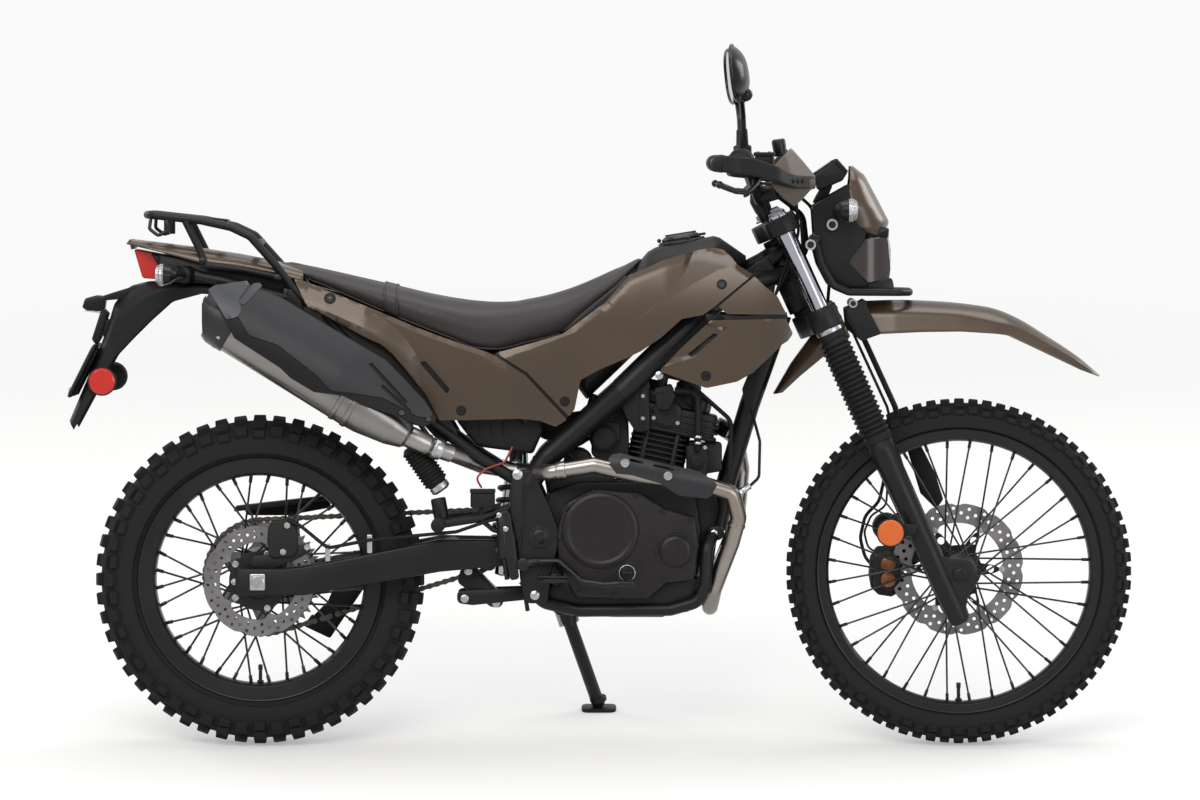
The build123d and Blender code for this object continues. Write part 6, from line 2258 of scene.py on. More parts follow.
        dome = blank(64, 20, shell, wrap=True)
        face_up(dome, lambda normal: normal.x)
        thicken(dome, 3)
        rim = pipe([Vector((-7, *shape(0.985, math.tau * k / 64))) for k in range(65)], 3.0, 0, 3, False)
        outward(rim)
        socket = ball(13, (10, -8, -44), (1.1, 1, 1))
        head = place(join([dome, rim, socket]), tilt)
        stem = pipe([(262, 232, 1150), (262, 240, 1186), (260, 262, 1236), (256, 318, 1272), (258, 333, 1285)], 5.2, 24,
                    4)
        boot = pipe([(262, 232, 1158), (262, 236, 1180), (261, 246, 1212)], 12, 10, 5, radii=(1.25, 1.1, 0.62))
        nut = place(bolt_head(12, 9, "hex"), basis((0, 0.1, 1), at=(262, 231, 1152)))
        self.finish(mirrored(join([head, stem])), "mirror_heads", BLACK_ABS, "mirror_shell", ("mirrors",))
        self.finish(mirrored(boot), "mirror_boots", SOFT_RUBBER, "grip_rubber")
        self.finish(mirrored(nut), "mirror_nuts", BLACK_OXIDE, "black_metal")
        glass = perforated([shape(0.955, math.tau * k / 72) for k in range(72)], [], -1.0, 1.0, 0.4)
        turn = Matrix(((0, 0, 1, -6), (1, 0, 0, 0), (0, 1, 0, 0), (0, 0, 0, 1)))
        self.finish(mirrored(place(glass, tilt @ turn)), "mirror_glasses", MIRROR_GLASS, "mirror_shell")

    def cables(self) -> None:
        """Runs clutch and throttle cables and the wiring from the bar to the head tube."""
        clutch = pipe([(288, 200, 1120), (318, 150, 1116), (356, 96, 1086), (366, 66, 1020), (352, 54, 940),
                       (330, 48, 890)], 3.4, 40, 3)
        throttle = [pipe([(270 + d, -240, 1118 - d), (322, -196 - d, 1112 - d), (366, -104, 1078), (372, -60 - d, 1010),
                          (352 - d, -50, 936), (326, -44 - d, 886)], 3.0, 40, 3) for d in (0, 8)]
        loom = pipe([(292, 160, 1104), (336, 84, 1080), (380, 40, 1046), (384, 24, 980), (360, 20, 930)], 5.0, 36, 4)
        loom_right = pipe([(292, -150, 1100), (336, -80, 1078), (382, -36, 1044), (390, -20, 980), (366, -16, 930)],
                          4.6, 36, 4)
        self.finish([clutch, *throttle, loom, loom_right], "control_cables", SOFT_RUBBER, "black_plastic")


@dataclass
class Headlight(Assembly):
    """The bronze cowl, the lamp in its shell, the instrument, signals and guard bar."""

    body: Body = Body.STEERING

    def build(self) -> None:
        """Makes cowl, shell, lamp, instrument, signals and bar."""
        self.cowl()
        self.shell()
        self.lamp()
        self.instrument()
        self.signals()
        self.bar()

    def shield(self, front: Sequence[Flat], side: Sequence[Flat], half: Sequence[Flat], low: float, high: float,
               power: float = 2.2) -> bpy.types.Object:
        """Shapes a sheet that wraps round the nose between two heights.

        Args:
            front: (z, x) knots of its middle.
            side: (z, x) knots of its side edges.
            half: (z, y) knots of its half width.
            low: Lower height.
            high: Upper height.
            power: How square the wrap is.

        Returns:
            The sheet.
        """
        def skin(along: float, across: float) -> Sequence[float]:
            """Gives a point of the sheet."""
            t = 2 * along - 1
            z = low + (high - low) * across
            nose, edge, wide = height_on(front, z), height_on(side, z), height_on(half, z)
            return (nose - (nose - edge) * abs(t) ** power, wide * math.sin(t * math.pi / 2), z)

        sheet = blank(44, 24, skin)
        return face_up(sheet, lambda normal: normal.x)

    def cowl(self) -> None:
        """Moulds the bronze number-board cowl."""
        front = ((1004, 543), (1024, 549), (1030, 552), (1075, 529), (1123, 503), (1141, 480))
        side = ((1004, 512), (1010, 500), (1029, 485), (1094, 470), (1120, 473), (1141, 473))
        half = ((1004, 70), (1020, 88), (1060, 94), (1110, 84), (1132, 66), (1141, 48))
        sheet = self.shield(front, side, half, 1004, 1141, 2.0)
        mould(sheet, 3)
        self.finish(sheet, "headlight_cowl_shell", BRONZE_PAINT, "body_plastic", ("headlight_cowl",))

    def shell_side(self, x: float, z: float) -> float:
        """Gives the black side shell's outer face."""
        return -(92 - max(0.0, x - 470) ** 2 * 0.006 - max(0.0, 960 - z) ** 2 * 0.004)

    def shell(self) -> None:
        """Moulds the black side shells that hold lamp and cowl."""
        rows = [(398, 1062, 4), (436, 1085, 0), (473, 1106, 4), (470, 1094, 4), (485, 1029, 10), (504, 1008, 4),
                (500, 996, 3), (467, 953, 8), (505, 913, 3), (513, 903, 3), (448, 905, 10), (434, 917, 10),
                (416, 953, 20), (402, 1004, 20)]
        cheek = panel(rows, self.shell_side, 4, (), 12, 1.4, outside=-1)
        bolts_seat = side_plate(oblong(424, 1012, 450, 1040, 10), 88, 96, 2)
        self.finish([mirrored(cheek), mirrored(bolts_seat)], "headlight_side_shells", GRAINED_PLASTIC, "black_plastic")
        chin = side_plate([(440, 912, 8), (505, 914, 6), (556, 922, 8), (560, 899, 4), (452, 899, 8)], -70, 70, 4)
        back = side_plate([(404, 1000, 12), (420, 952, 12), (440, 915, 8), (462, 915, 8), (462, 1060, 20),
                           (410, 1052, 12)], -80, 80, 6)
        roof = side_plate([(398, 1060, 3), (474, 1103, 3), (476, 1096, 3), (404, 1052, 3)], -84, 84, 2)
        self.finish([chin, back, roof], "headlight_bucket", BLACK_ABS, "black_plastic", ("headlight",))
        self.finish(mirrored(bolts([((437, 97, 1026), (0, 1, 0))], 11, 5, "socket")), "shell_bolts", ZINC_PLATE,
                    "steel")
        self.finish(mirrored(bolts([((437, 101, 1026), (0, 1, 0))], 7.2, 1.6, "button")), "shell_bolt_sockets",
                    BLACK_OXIDE, "black_metal")
        self.finish(mirrored(bolts([((475, 92, 977), (0, 1, 0))], 6, 2, "socket")), "shell_screws", BLACK_OXIDE,
                    "black_metal")

    def lamp(self) -> None:
        """Sets the clear lens over its reflector bowls, between dark side lenses."""
        front = ((915, 547), (935, 554), (975, 555.5), (1000, 551), (1022, 543))
        side = ((915, 512), (930, 500), (953, 490), (997, 512), (1022, 520))
        half = ((915, 56), (940, 70), (975, 71), (1000, 66), (1022, 58))
        lens = self.shield(front, side, half, 918, 1000, 3.0)
        thicken(lens, 2.2)
        smooth(lens, 40)
        self.finish(lens, "headlight_lens", CLEAR_LENS, "lens")
        rows = [(503, 998, 2), (547, 1000, 3), (553, 940, 3), (551, 922, 3), (508, 912, 3), (468, 953, 6)]
        cheek = panel(rows, lambda x, z: -(82 - max(0.0, x - 500) ** 2 * 0.012), 3,
                      [[(498, 974), (484, 953), (520, 925)]], 10, 1.0, outside=-1)
        self.finish(mirrored(cheek), "headlight_side_lenses", DARK_BRONZE, "body_plastic")
        bowls = []
        for y, z, r in ((0, 985, 30), (0, 940, 20), (-34, 956, 14), (34, 956, 14)):
            bowl = lathe([(3, -14, 0), (r * 0.5, -12, 2), (r * 0.86, -4, 2), (r, 6, 1), (r + 2, 6, 0.5),
                          (r + 2, 3, 0.5), (r * 0.9, -7, 2), (r * 0.5, -15, 2), (3, -17, 0)], 40)
            bowls.append(place(bowl, basis((1, 0, 0), at=(530, y, z))))
            bowls.append(ball(r * 0.2, (522, y, z)))
        self.finish(bowls, "headlight_reflectors", HARD_CHROME, "fork_metal")
        wall = join([side_plate(oblong(504, 920, 516, 1016, 4), -62, 62, 2),
                     side_plate([(503, 996, 3), (549, 1000, 4), (550, 1020, 4), (504, 1010, 3)], -60, 60, 3)])
        self.finish(wall, "headlight_inner_wall", BLACK_ABS, "black_plastic")

    def instrument(self) -> None:
        """Moulds the instrument's housing, its smoked window and the stays that carry it."""
        case = side_plate([(399, 1121, 5), (445, 1153, 6), (462, 1140, 6), (468, 1128, 5), (458, 1112, 8),
                           (412, 1092, 6)], -66, 66, 4, 3)
        hood = side_plate([(440, 1151, 2), (447, 1156, 3), (470, 1130, 3), (464, 1127, 2)], -70, 70, 1.4)
        self.finish([case, hood], "instrument_case", GRAINED_PLASTIC, "black_plastic", ("instrument",))
        way = Vector((-0.57, 0, 0.82))
        window = plate(oblong(-25, -56, 25, 56, 8), 0, 2.4, 0.8)
        self.finish(place(window, basis(way, (0.82, 0, 0.57), (421, 0, 1137.5))), "instrument_window", SMOKED_LENS,
                    "black_plastic")
        stay = [side_plate([(398, 1064, 4), (430, 1080, 4), (440, 1104, 4), (420, 1104, 4)], y - 3, y + 3,
                           1) for y in (-40, 40)]
        self.finish(stay, "instrument_stays", POWDER_COAT, "black_metal")

    def signals(self) -> None:
        """Turns the bullet signals on flexible stalks."""
        bodies, lenses = [], []
        body = lathe([(0, -22, 0), (9, -21, 4), (18, -10, 6), (22, 4, 2), (22, 5, 0), (0, 5, 0)], 40)
        lens = lathe([(0, 5, 0), (22.5, 5, 0.5), (22.5, 14, 4), (17, 22, 6), (0, 24, 0)], 40)
        seat = basis((1, 0, 0), at=(463, 152, 1055)) @ Matrix.Diagonal((1.0, 1.25, 1.0, 1.0))
        bodies.append(place(body, seat))
        lenses.append(place(lens, seat))
        stalk = pipe([(450, 90, 1052), (452, 112, 1053), (455, 138, 1055)], 8.5, 10, 5, radii=(1.5, 1.0, 1.1))
        ribs = [rod(10.4, (451, y, 1053), (451, y + 2.4, 1053), 0.7, 24) for y in (98, 104, 110, 116)]
        self.finish(mirrored(join(bodies + [stalk] + ribs)), "front_signal_bodies", BLACK_ABS, "black_plastic",
                    ("front_signals",))
        self.finish(mirrored(join(lenses)), "front_signal_lenses", CLEAR_LENS, "lens")
        bulbs = [ball(7, (470, s * 152, 1055), (1.3, 1, 1)) for s in (-1, 1)]
        self.finish(bulbs, "front_signal_bulbs", HARD_CHROME, "fork_metal")

    def bar(self) -> None:
        """Bends the guard bar under the lamp."""
        half = [(590, 0, 893), (590, 38, 893), (568, 64, 893), (470, 84, 894), (438, 96, 908), (416, 100, 950),
                (404, 100, 996)]
        route = [(x, -y, z) for x, y, z in half[:0:-1]] + half
        tube = pipe(route, 8, 26, 4)
        feet = [rod(9.5, (406, s * 90, 990), (404, s * 108, 998), 2, 20) for s in (-1, 1)]
        self.finish([tube, *feet], "lamp_guard_bar", POWDER_COAT, "black_metal")
        self.finish(bolts(both_sides(128, (394, 987)), 10.5, 4, "socket"), "guard_bar_bolts", ZINC_PLATE, "steel")
        self.finish(bolts(both_sides(131.2, (394, 987)), 6.8, 1.6, "button"), "guard_bar_bolt_sockets", BLACK_OXIDE,
                    "black_metal")


# ---- frame, engine and running gear -----------------------------------------------------------

PIVOT = (-136.0, 414.0)


@dataclass
class Chassis(Assembly):
    """The tube frame, its brackets, skid plate, pegs, pedals and rear brake parts."""

    body: Body = Body.FRAME
    pivot_plate: tuple[Row, ...] = ((-192, 545, 12), (-150, 545, 14), (-116, 470, 16), (-101, 430, 12), (-101, 395, 12),
                                    (-115, 340, 14), (-121, 283, 10), (-164, 283, 14), (-175, 330, 14), (-181, 400, 16),
                                    (-195, 460, 16))
    arm_plan: tuple[Flat, ...] = ((-740, -102), (-500, -102), (-400, -94), (-320, -84), (-250, -73), (-100, -70))

    def build(self) -> None:
        """Makes the frame and what is bolted to it."""
        self.frame_tubes()
        self.seat_frame()
        self.skid()
        self.swingarm()
        self.suspension()
        self.rear_brake()
        self.pegs()
        self.fill()
        self.wiring()

    def frame_tubes(self) -> None:
        """Welds head tube, spars, down tube, cradle and pivot plates."""
        parts = [rod(29, on_fork(0, 0, 597), on_fork(0, 0, 736), 3, 40)]
        for side in (-1, 1):
            spar = [(350, side * 26, 930), (250, side * 64, 905), (190, side * 86, 858), (120, side * 94, 792),
                    (22, side * 96, 697), (-124, side * 94, 567), (-162, side * 94, 510), (-170, side * 92, 440),
                    (-168, side * 90, 350)]
            parts.append(pipe(spar, 22, 46, 6, radii=(0.8, 0.95, 1.02, 1.05, 1.05, 1.0, 0.95, 0.85, 0.8)))
            parts.append(pipe([(206, side * 74, 420), (192, side * 96, 392), (189, side * 98, 320),
                               (176, side * 96, 286), (120, side * 92, 270), (-60, side * 92, 268),
                               (-130, side * 92, 284), (-168, side * 90, 330)], 12.5, 34, 5))
            parts.append(side_plate(self.pivot_plate, *sorted((side * 93, side * 111)), 3, 3))
            parts.append(rod(13, (206, side * 30, 420), (206, side * 80, 420), 1, 24))
        parts.append(pipe([(340, 0, 848), (276, 0, 668), (232, 0, 520), (212, 0, 424)], 20, 60, 6))
        parts.append(cross_bar(14, 212, 84, 420, 1, 28))
        for x, z in ((-60, 268), (150, 276)):
            parts.append(cross_bar(11, x, 92, z, 0.6, 24))
        gusset = [side_plate([(352, 846, 4), (322, 850, 6), (262, 700, 10), (270, 650, 8), (286, 668, 10)], y - 3,
                             y + 3, 1) for y in (-18, 18)]
        parts += gusset
        self.finish(parts, "frame_tubes", POWDER_COAT, "black_metal", ("main_frame",))
        seats = [((-180, -111, 536), 10), ((98, -116, 731), 8), ((-146, -111, 299), 9)]
        for spot, r in seats:
            tag = f"frame_bolt_{int(abs(spot[0]))}"
            self.finish(bolts([(Vector(spot), (0, -1, 0))], r, r * 0.5, "flange"), tag, ZINC_PLATE, "steel")
        left = [((-180, 111, 536), (0, 1, 0)), ((98, 117, 731), (0, 1, 0)), ((206, 82, 420), (0, 1, 0)),
                ((206, -82, 420), (0, -1, 0))]
        self.finish(bolts(left, 9, 5, "flange"), "engine_mount_bolts", ZINC_PLATE, "steel")
        pivot_nuts = []
        for side in (-1, 1):
            ring = lathe([(9, 0, 0), (22, 0, 1), (22, 3, 1), (9, 3, 0)], 44)
            place(ring, outward_seat(side, PIVOT[0], 110.5, PIVOT[1]))
            pivot_nuts.append(ring)
            pivot_nuts.append(place(bolt_head(14, 9, "flange"), outward_seat(side, PIVOT[0], 112, PIVOT[1])))
        self.finish(pivot_nuts, "swingarm_pivot_nuts", BLACK_OXIDE, "black_metal")

    def seat_frame(self) -> None:
        """Bends the seat rails, struts and cross tubes."""
        parts = []
        for side in (-1, 1):
            parts.append(pipe([(-160, side * 84, 640), (-190, side * 84, 690), (-260, side * 88, 738),
                               (-420, side * 90, 806), (-600, side * 92, 874), (-760, side * 92, 916),
                               (-850, side * 80, 934)], 11, 60, 5))
            parts.append(pipe([(-176, side * 92, 520), (-250, side * 96, 566), (-340, side * 96, 632),
                               (-470, side * 94, 750), (-560, side * 92, 850)], 12, 50, 5))
            hanger = side_plate([(-640, 850, 8), (-606, 856, 8), (-590, 900, 6), (-632, 900, 6)],
                                *sorted((side * 96, side * 102)), 1.5)
            parts.append(hanger)
        for x, z in ((-300, 754), (-560, 858), (-760, 914)):
            parts.append(cross_bar(9, x, 88, z, 0.6, 24))
        self.finish(parts, "seat_rails", POWDER_COAT, "black_metal", ("rear_subframe",))

    def skid(self) -> None:
        """Presses the bash plate with its folded sides under the engine."""
        rows = [(-140, 279, 6), (-115, 270, 8), (-100, 258, 8), (-48, 258, 6), (7, 255, 6), (105, 255, 8),
                (145, 270, 10), (159, 285, 6), (178, 330, 6), (173, 332, 3), (153, 290, 8), (140, 276, 10),
                (103, 261, 8), (-98, 264, 8), (-112, 276, 8), (-138, 284, 4)]
        plate_piece = side_plate(rows, -86, 86, 1.6, 3)
        folds = [side_plate([(-136, 281, 4), (-112, 270, 6), (-98, 260, 4), (100, 257, 4), (142, 272, 8), (157, 287, 6),
                             (174, 330, 4), (140, 334, 8), (96, 322, 12), (-60, 322, 12), (-104, 330, 8)], low, high,
                            1.4, 2) for low, high in ((-88, -83), (83, 88))]
        stub = rod(5, (-69, -70, 238), (-69, -70, 262), 1, 16)
        self.finish([plate_piece, *folds, stub], "engine_skid_plate", POWDER_COAT, "black_metal", ("skid_plate",))
        seats = both_sides(89, (-60, 272), (90, 272))
        self.finish(bolts(seats, 5.5, 3, "flange"), "skid_plate_bolts", BLACK_OXIDE, "black_metal")

    def swingarm(self) -> None:
        """Welds the tapered swingarm with axle blocks, chain guard and guide."""
        parts = []
        for side in (-1, 1):
            arm = [(-172, 358, 14), (-172, 406, 14), (-334, 408, 10), (-600, 356, 8), (-640, 352, 6), (-728, 352, 6),
                   (-734, 338, 6), (-734, 312, 6), (-726, 297, 6), (-640, 299, 6), (-600, 299, 10), (-334, 344, 10)]
            beam = side_plate(arm, -13, 13, 6, 3)
            for x, _ in self.arm_plan[1:-1]:
                slice_across(beam, x)
            shift_sideways(beam, lambda x: -side * height_on(self.arm_plan, x))
            parts.append(beam)
            parts.append(pipe([(-220, side * 72, 380), (-180, side * 72, 396), (PIVOT[0], side * 72, PIVOT[1])], 21, 12,
                              5))
        parts.append(cross_bar(28, -312, 80, 378, 2, 40))
        parts.append(cross_bar(21, PIVOT[0], 84, PIVOT[1], 2, 36))
        self.finish(parts, "swingarm_welded", POWDER_COAT, "black_metal", ("swingarm",))
        clips = [side_plate(oblong(x - 5, z - 18, x + 5, z + 18, 2), y - 3, y + 2, 1)
                 for x, y, z in ((-552, -114, 384), (-470, -112, 400))]
        self.finish(clips, "hose_clips", ZINC_PLATE, "steel")
        pieces = []
        x, _, z = REAR_AXLE
        for side in (-1, 1):
            washer = plate(oblong(-15, -16, 15, 16, 3), 0, 4, 1)
            place(washer, outward_seat(side, x, 115, z))
            pieces.append(washer)
            pieces.append(place(bolt_head(14, 10, "flange"), outward_seat(side, x, 119, z)))
            pieces.append(rod(4, (-742, side * 102, z), (-722, side * 102, z), 0.6, 14))
            pieces.append(place(bolt_head(7, 5, "hex"), basis((-1, 0, 0), at=(-734, side * 102, z))))
        self.finish(pieces, "rear_axle_nuts", ZINC_PLATE, "steel")
        guard = side_plate([(-746, 459, 4), (-742, 466, 4), (-560, 487, 6), (-540, 484, 4), (-542, 478, 3),
                            (-562, 478, 4), (-744, 455, 3)], 62, 106, 1.6)
        skirt = side_plate([(-730, 462, 4), (-560, 484, 4), (-552, 462, 10), (-640, 446, 20), (-720, 446, 8)], 102, 106,
                           1.4)
        stay = side_plate([(-640, 452, 4), (-620, 452, 4), (-610, 350, 6), (-636, 350, 6)], 98, 103, 1.4)
        self.finish([guard, skirt, stay], "chain_guard", GRAINED_PLASTIC, "black_plastic")
        guide = [side_plate([(-608, 228, 4), (-555, 203, 6), (-478, 317, 6), (-542, 318, 6), (-560, 276, 10)], low,
                            high, 2) for low, high in ((68, 74), (96, 102))]
        pad = side_plate([(-606, 231, 3), (-560, 209, 4), (-545, 230, 4), (-592, 250, 4)], 74, 96, 2)
        self.finish([*guide, pad], "chain_guide", GRAINED_PLASTIC, "black_plastic")

    def suspension(self) -> None:
        """Makes the damper, its coil spring and the rising-rate linkage."""
        top, foot = Vector((-176, 0, 600)), Vector((-214, 0, 330))
        way = (top - foot).normalized()
        length = (top - foot).length
        seat = basis(way, (1, 0, 0), foot)
        damper = lathe([(0, 0, 0), (14, 4, 3), (14, 44, 2), (31, 48, 2), (31, 56, 2), (20, 74, 1), (20, 150, 2),
                        (22, length - 60, 2), (32, length - 56, 2), (32, length - 42, 2), (22, length - 46, 2),
                        (14, length, 3), (0, length, 0)], 44)
        place(damper, seat)
        self.finish(damper, "damper_body", HARD_CHROME, "steel", ("rear_suspension",))
        turns, points = 6, []
        for k in range(turns * 20 + 1):
            angle = math.tau * k / 20
            points.append(seat @ Vector((27 * math.cos(angle), 27 * math.sin(angle),
                                         62 + (length - 124) * k / (turns * 20))))
        self.finish(pipe(points, 5.2, 0, 3), "coil_spring", POWDER_COAT, "black_metal")
        rows = [(-300, 280, 12), (-270, 276, 14), (-150, 288, 10), (-138, 294, 8), (-138, 306, 8), (-150, 310, 10),
                (-270, 306, 14), (-300, 304, 10)]
        link, twin = (side_plate(rows, low, high, 2.5) for low, high in ((-52, -42), (42, 52)))
        rocker = side_plate([(-292, 352, 14), (-268, 352, 14), (-206, 288, 14), (-214, 270, 12), (-234, 272, 12),
                             (-300, 320, 12)], -40, 40, 4)
        self.finish([link, rocker, twin], "suspension_linkage", POWDER_COAT, "black_metal")
        seats = both_sides(53, (-285, 289), (-146, 299))
        seats += both_sides(41, (-223, 280), (-278, 343))
        self.finish(bolts(seats, 8, 5, "flange"), "linkage_bolts", ZINC_PLATE, "steel")

    def rear_brake(self) -> None:
        """Casts the rear caliper, its bracket, the reservoir, cylinder and hose."""
        body = side_plate([(-669, 378, 8), (-660, 371, 6), (-618, 374, 8), (-610, 392, 8), (-612, 434, 10),
                           (-630, 448, 8), (-664, 446, 8), (-671, 420, 8)], -104, -84, 4, 3)
        inner = side_plate([(-664, 384, 6), (-620, 382, 6), (-618, 430, 8), (-660, 438, 6)], -66, -50, 4)
        bridge = side_plate([(-672, 396, 4), (-660, 392, 4), (-658, 436, 4), (-670, 432, 4)], -92, -60, 3)
        bracket = side_plate([(-706, 352, 10), (-700, 376, 8), (-650, 380, 8), (-606, 398, 8), (-588, 400, 8),
                              (-586, 384, 8), (-620, 366, 8), (-660, 350, 8)], -98, -90, 2)
        self.finish([body, inner, bridge, bracket], "rear_caliper_body", ENGINE_ENAMEL, "black_aluminium",
                    ("rear_brake",))
        seats = [((-593, -99, 393), (0, -1, 0)), ((-640, -105, 384), (0, -1, 0)), ((-632, -105, 436), (0, -1, 0))]
        self.finish(bolts(seats, 6.5, 4, "hex"), "rear_caliper_bolts", ZINC_PLATE, "steel")
        pot = place(plate(oblong(-24, -16, 24, 16, 6), 472, 500, 3, 3), Matrix.Translation((-248, -114, 0)))
        lid = place(plate(oblong(-25, -17, 25, 17, 6), 500, 508, 1.4), Matrix.Translation((-248, -114, 0)))
        feed = pipe([(-250, -114, 474), (-252, -114, 448), (-228, -114, 428), (-214, -112, 424)], 5, 14, 3)
        self.finish([pot, lid, feed], "rear_reservoir", GRAINED_PLASTIC, "black_plastic")
        master = join([rod(11, (-212, -112, 452), (-206, -112, 372), 2, 28),
                       rod(5, (-206, -112, 374), (-200, -112, 330), 1, 16),
                       side_plate([(-222, 462, 8), (-196, 466, 8), (-184, 400, 14), (-176, 332, 8), (-194, 328, 8),
                                   (-206, 390, 12)], -122, -117, 1.4)])
        self.finish(master, "rear_master_cylinder", BLACK_ANODISED, "black_aluminium")
        self.finish(bolts([((-216, -122, 465 - 8), (0, -1, 0)), ((-203, -122, 430), (0, -1, 0))], 5.5, 3, "hex"),
                    "master_cylinder_bolts", ZINC_PLATE, "steel")
        hose = pipe([(-212, -112, 450), (-236, -118, 446), (-300, -116, 424), (-470, -118, 408), (-552, -118, 392),
                     (-606, -112, 436), (-630, -104, 446)], 3.6, 24, 3)
        self.finish(hose, "rear_brake_hose", SOFT_RUBBER, "black_plastic")

    def pegs(self) -> None:
        """Forges pegs, passenger pegs, brake pedal and shift lever."""
        pegs, rubbers = [], []
        for side in (-1, 1):
            bracket = side_plate([(-150, 372, 6), (-112, 366, 8), (-92, 336, 8), (-100, 318, 6), (-150, 330, 8)],
                                 *sorted((side * 100, side * 108)), 2)
            pegs.append(bracket)
            pegs.append(rod(8, (-108, side * 104, 336), (-108, side * 140, 336), 1.4, 20))
            outline = [(-136, side * 140, 6), (-82, side * 140, 6), (-78, side * 206, 8), (-90, side * 216, 6),
                       (-126, side * 216, 6), (-140, side * 206, 8)]
            pegs.append(plate(outline if side > 0 else outline[::-1], 330, 336, 1.4))
            for x in (-132, -86):
                for k in range(5):
                    pegs.append(rod(2.6, (x, side * (150 + 13 * k), 336), (x, side * (150 + 13 * k), 345), 1.6, 10))
            pegs.append(pipe([(-138, side * 142, 340), (-138, side * 208, 340), (-108, side * 216, 340),
                              (-80, side * 208, 340), (-80, side * 142, 340)], 2.6, 8, 2))
            stay = pipe([(-196, side * 96, 470), (-250, side * 112, 452), (-330, side * 124, 440)], 9, 14, 4)
            pegs.append(stay)
            rubbers.append(rod(12.5, (-334, side * 128, 440), (-334, side * 206, 442), 3, 28))
            for k in range(6):
                rubbers.append(rod(14, (-334, side * (138 + 11 * k), 440), (-334, side * (142 + 11 * k), 440), 1, 28))
        self.finish(pegs, "foot_pegs", ENGINE_ENAMEL, "black_metal", ("foot_controls",))
        self.finish(rubbers, "passenger_peg_rubbers", SOFT_RUBBER, "grip_rubber")
        pedal = pipe([(-168, -118, 362), (-136, -122, 366), (-98, -126, 366), (-54, -138, 328), (-10, -146, 322),
                      (34, -150, 325)], 7, 14, 4, radii=(1.2, 1.0, 1.0, 0.95, 0.9, 1.0))
        pad = side_plate([(20, 320, 3), (50, 321, 3), (50, 330, 3), (20, 330, 3)], -182, -144, 2)
        teeth = [rod(2, (x, -178 + 8 * k, 330), (x, -178 + 8 * k, 334), 0.8, 8) for x in (27, 43) for k in range(5)]
        boss = rod(13, (-168, -128, 360), (-168, -108, 360), 2, 28)
        shifter = pipe([(-40, 132, 330), (-4, 140, 326), (60, 146, 316), (94, 146, 312)], 5.4, 18, 4)
        toe = rod(8, (98, 138, 312), (98, 178, 312), 2, 24)
        shaft = rod(10, (-44, 118, 330), (-44, 140, 330), 1.4, 24)
        self.finish([pedal, pad, boss, shifter, shaft, *teeth], "foot_pedals", BLACK_OXIDE, "black_metal")
        self.finish(toe, "shift_toe_rubber", SOFT_RUBBER, "grip_rubber")

    def fill(self) -> None:
        """Moulds what fills the frame under the seat: airbox, seat base liners and canister."""
        box = side_plate([(-150, 575, 10), (-262, 590, 12), (-300, 640, 14), (-300, 720, 14), (-220, 742, 14),
                          (-140, 690, 16), (-130, 620, 14)], -78, 78, 8, 3)
        ribs = [side_plate(oblong(x, 610, x + 4, 700, 1), -81, 81, 1) for x in (-280, -256, -232, -208)]
        inner = [(-640, 905, 8), (-560, 868, 30), (-470, 820, 30), (-400, 768, 30), (-340, 690, 20), (-292, 608, 10),
                 (-330, 596, 10), (-400, 672, 30), (-480, 738, 30), (-560, 790, 30), (-640, 846, 10)]
        liners = [side_plate(inner, *sorted((side * 97, side * 101)), 1.4, 2) for side in (-1, 1)]
        base = side_plate([(-620, 915, 8), (-520, 886, 30), (-400, 840, 30), (-300, 806, 20), (-225, 792, 20),
                           (-160, 803, 20), (-92, 822, 10), (-68, 840, 10), (-25, 876, 8), (12, 906, 8), (34, 928, 4),
                           (44, 900, 8), (12, 862, 8), (-25, 832, 8), (-68, 796, 10), (-92, 776, 10), (-180, 752, 20),
                           (-300, 760, 20), (-400, 796, 30), (-520, 846, 30), (-616, 882, 8)], -84, 84, 4, 2)
        self.finish([*liners, base], "seat_base_liner", BLACK_ABS, "black_plastic")
        self.finish([box, *ribs], "airbox_shell", GRAINED_PLASTIC, "black_plastic", ("airbox",))
        foot, top = Vector((-334, -112, 514)), Vector((-397, -112, 604))
        way = (top - foot).normalized()
        seat = basis(way, (0, 1, 0), foot)
        rows = [(0, 0, 0), (17, 0, 2), (19, 6, 1)]
        for k in range(11):
            rows += [(21, 8 + 7.4 * k, 1.2), (25, 10.4 + 7.4 * k, 1.4), (25, 12.4 + 7.4 * k, 1.4)]
        rows += [(20, 92, 1), (16, 96, 2), (0, 96, 0)]
        self.finish(place(lathe(rows, 44), seat), "ribbed_canister", SOFT_RUBBER, "grip_rubber")
        self.finish(place(lathe([(0, -12, 0), (14, -12, 3), (20, -8, 3), (20, 3, 1), (0, 3, 0)], 40), seat),
                    "canister_cap", ZINC_PLATE, "steel")
        strap = join([pipe([(-396, -112, 604), (-408, -112, 622), (-398, -110, 642), (-372, -104, 636),
                            (-356, -98, 612)], 5, 10, 3), rod(15, (-326, -106, 436), (-336, -106, 490), 3, 28)])
        self.finish(strap, "canister_bracket", POWDER_COAT, "black_metal")

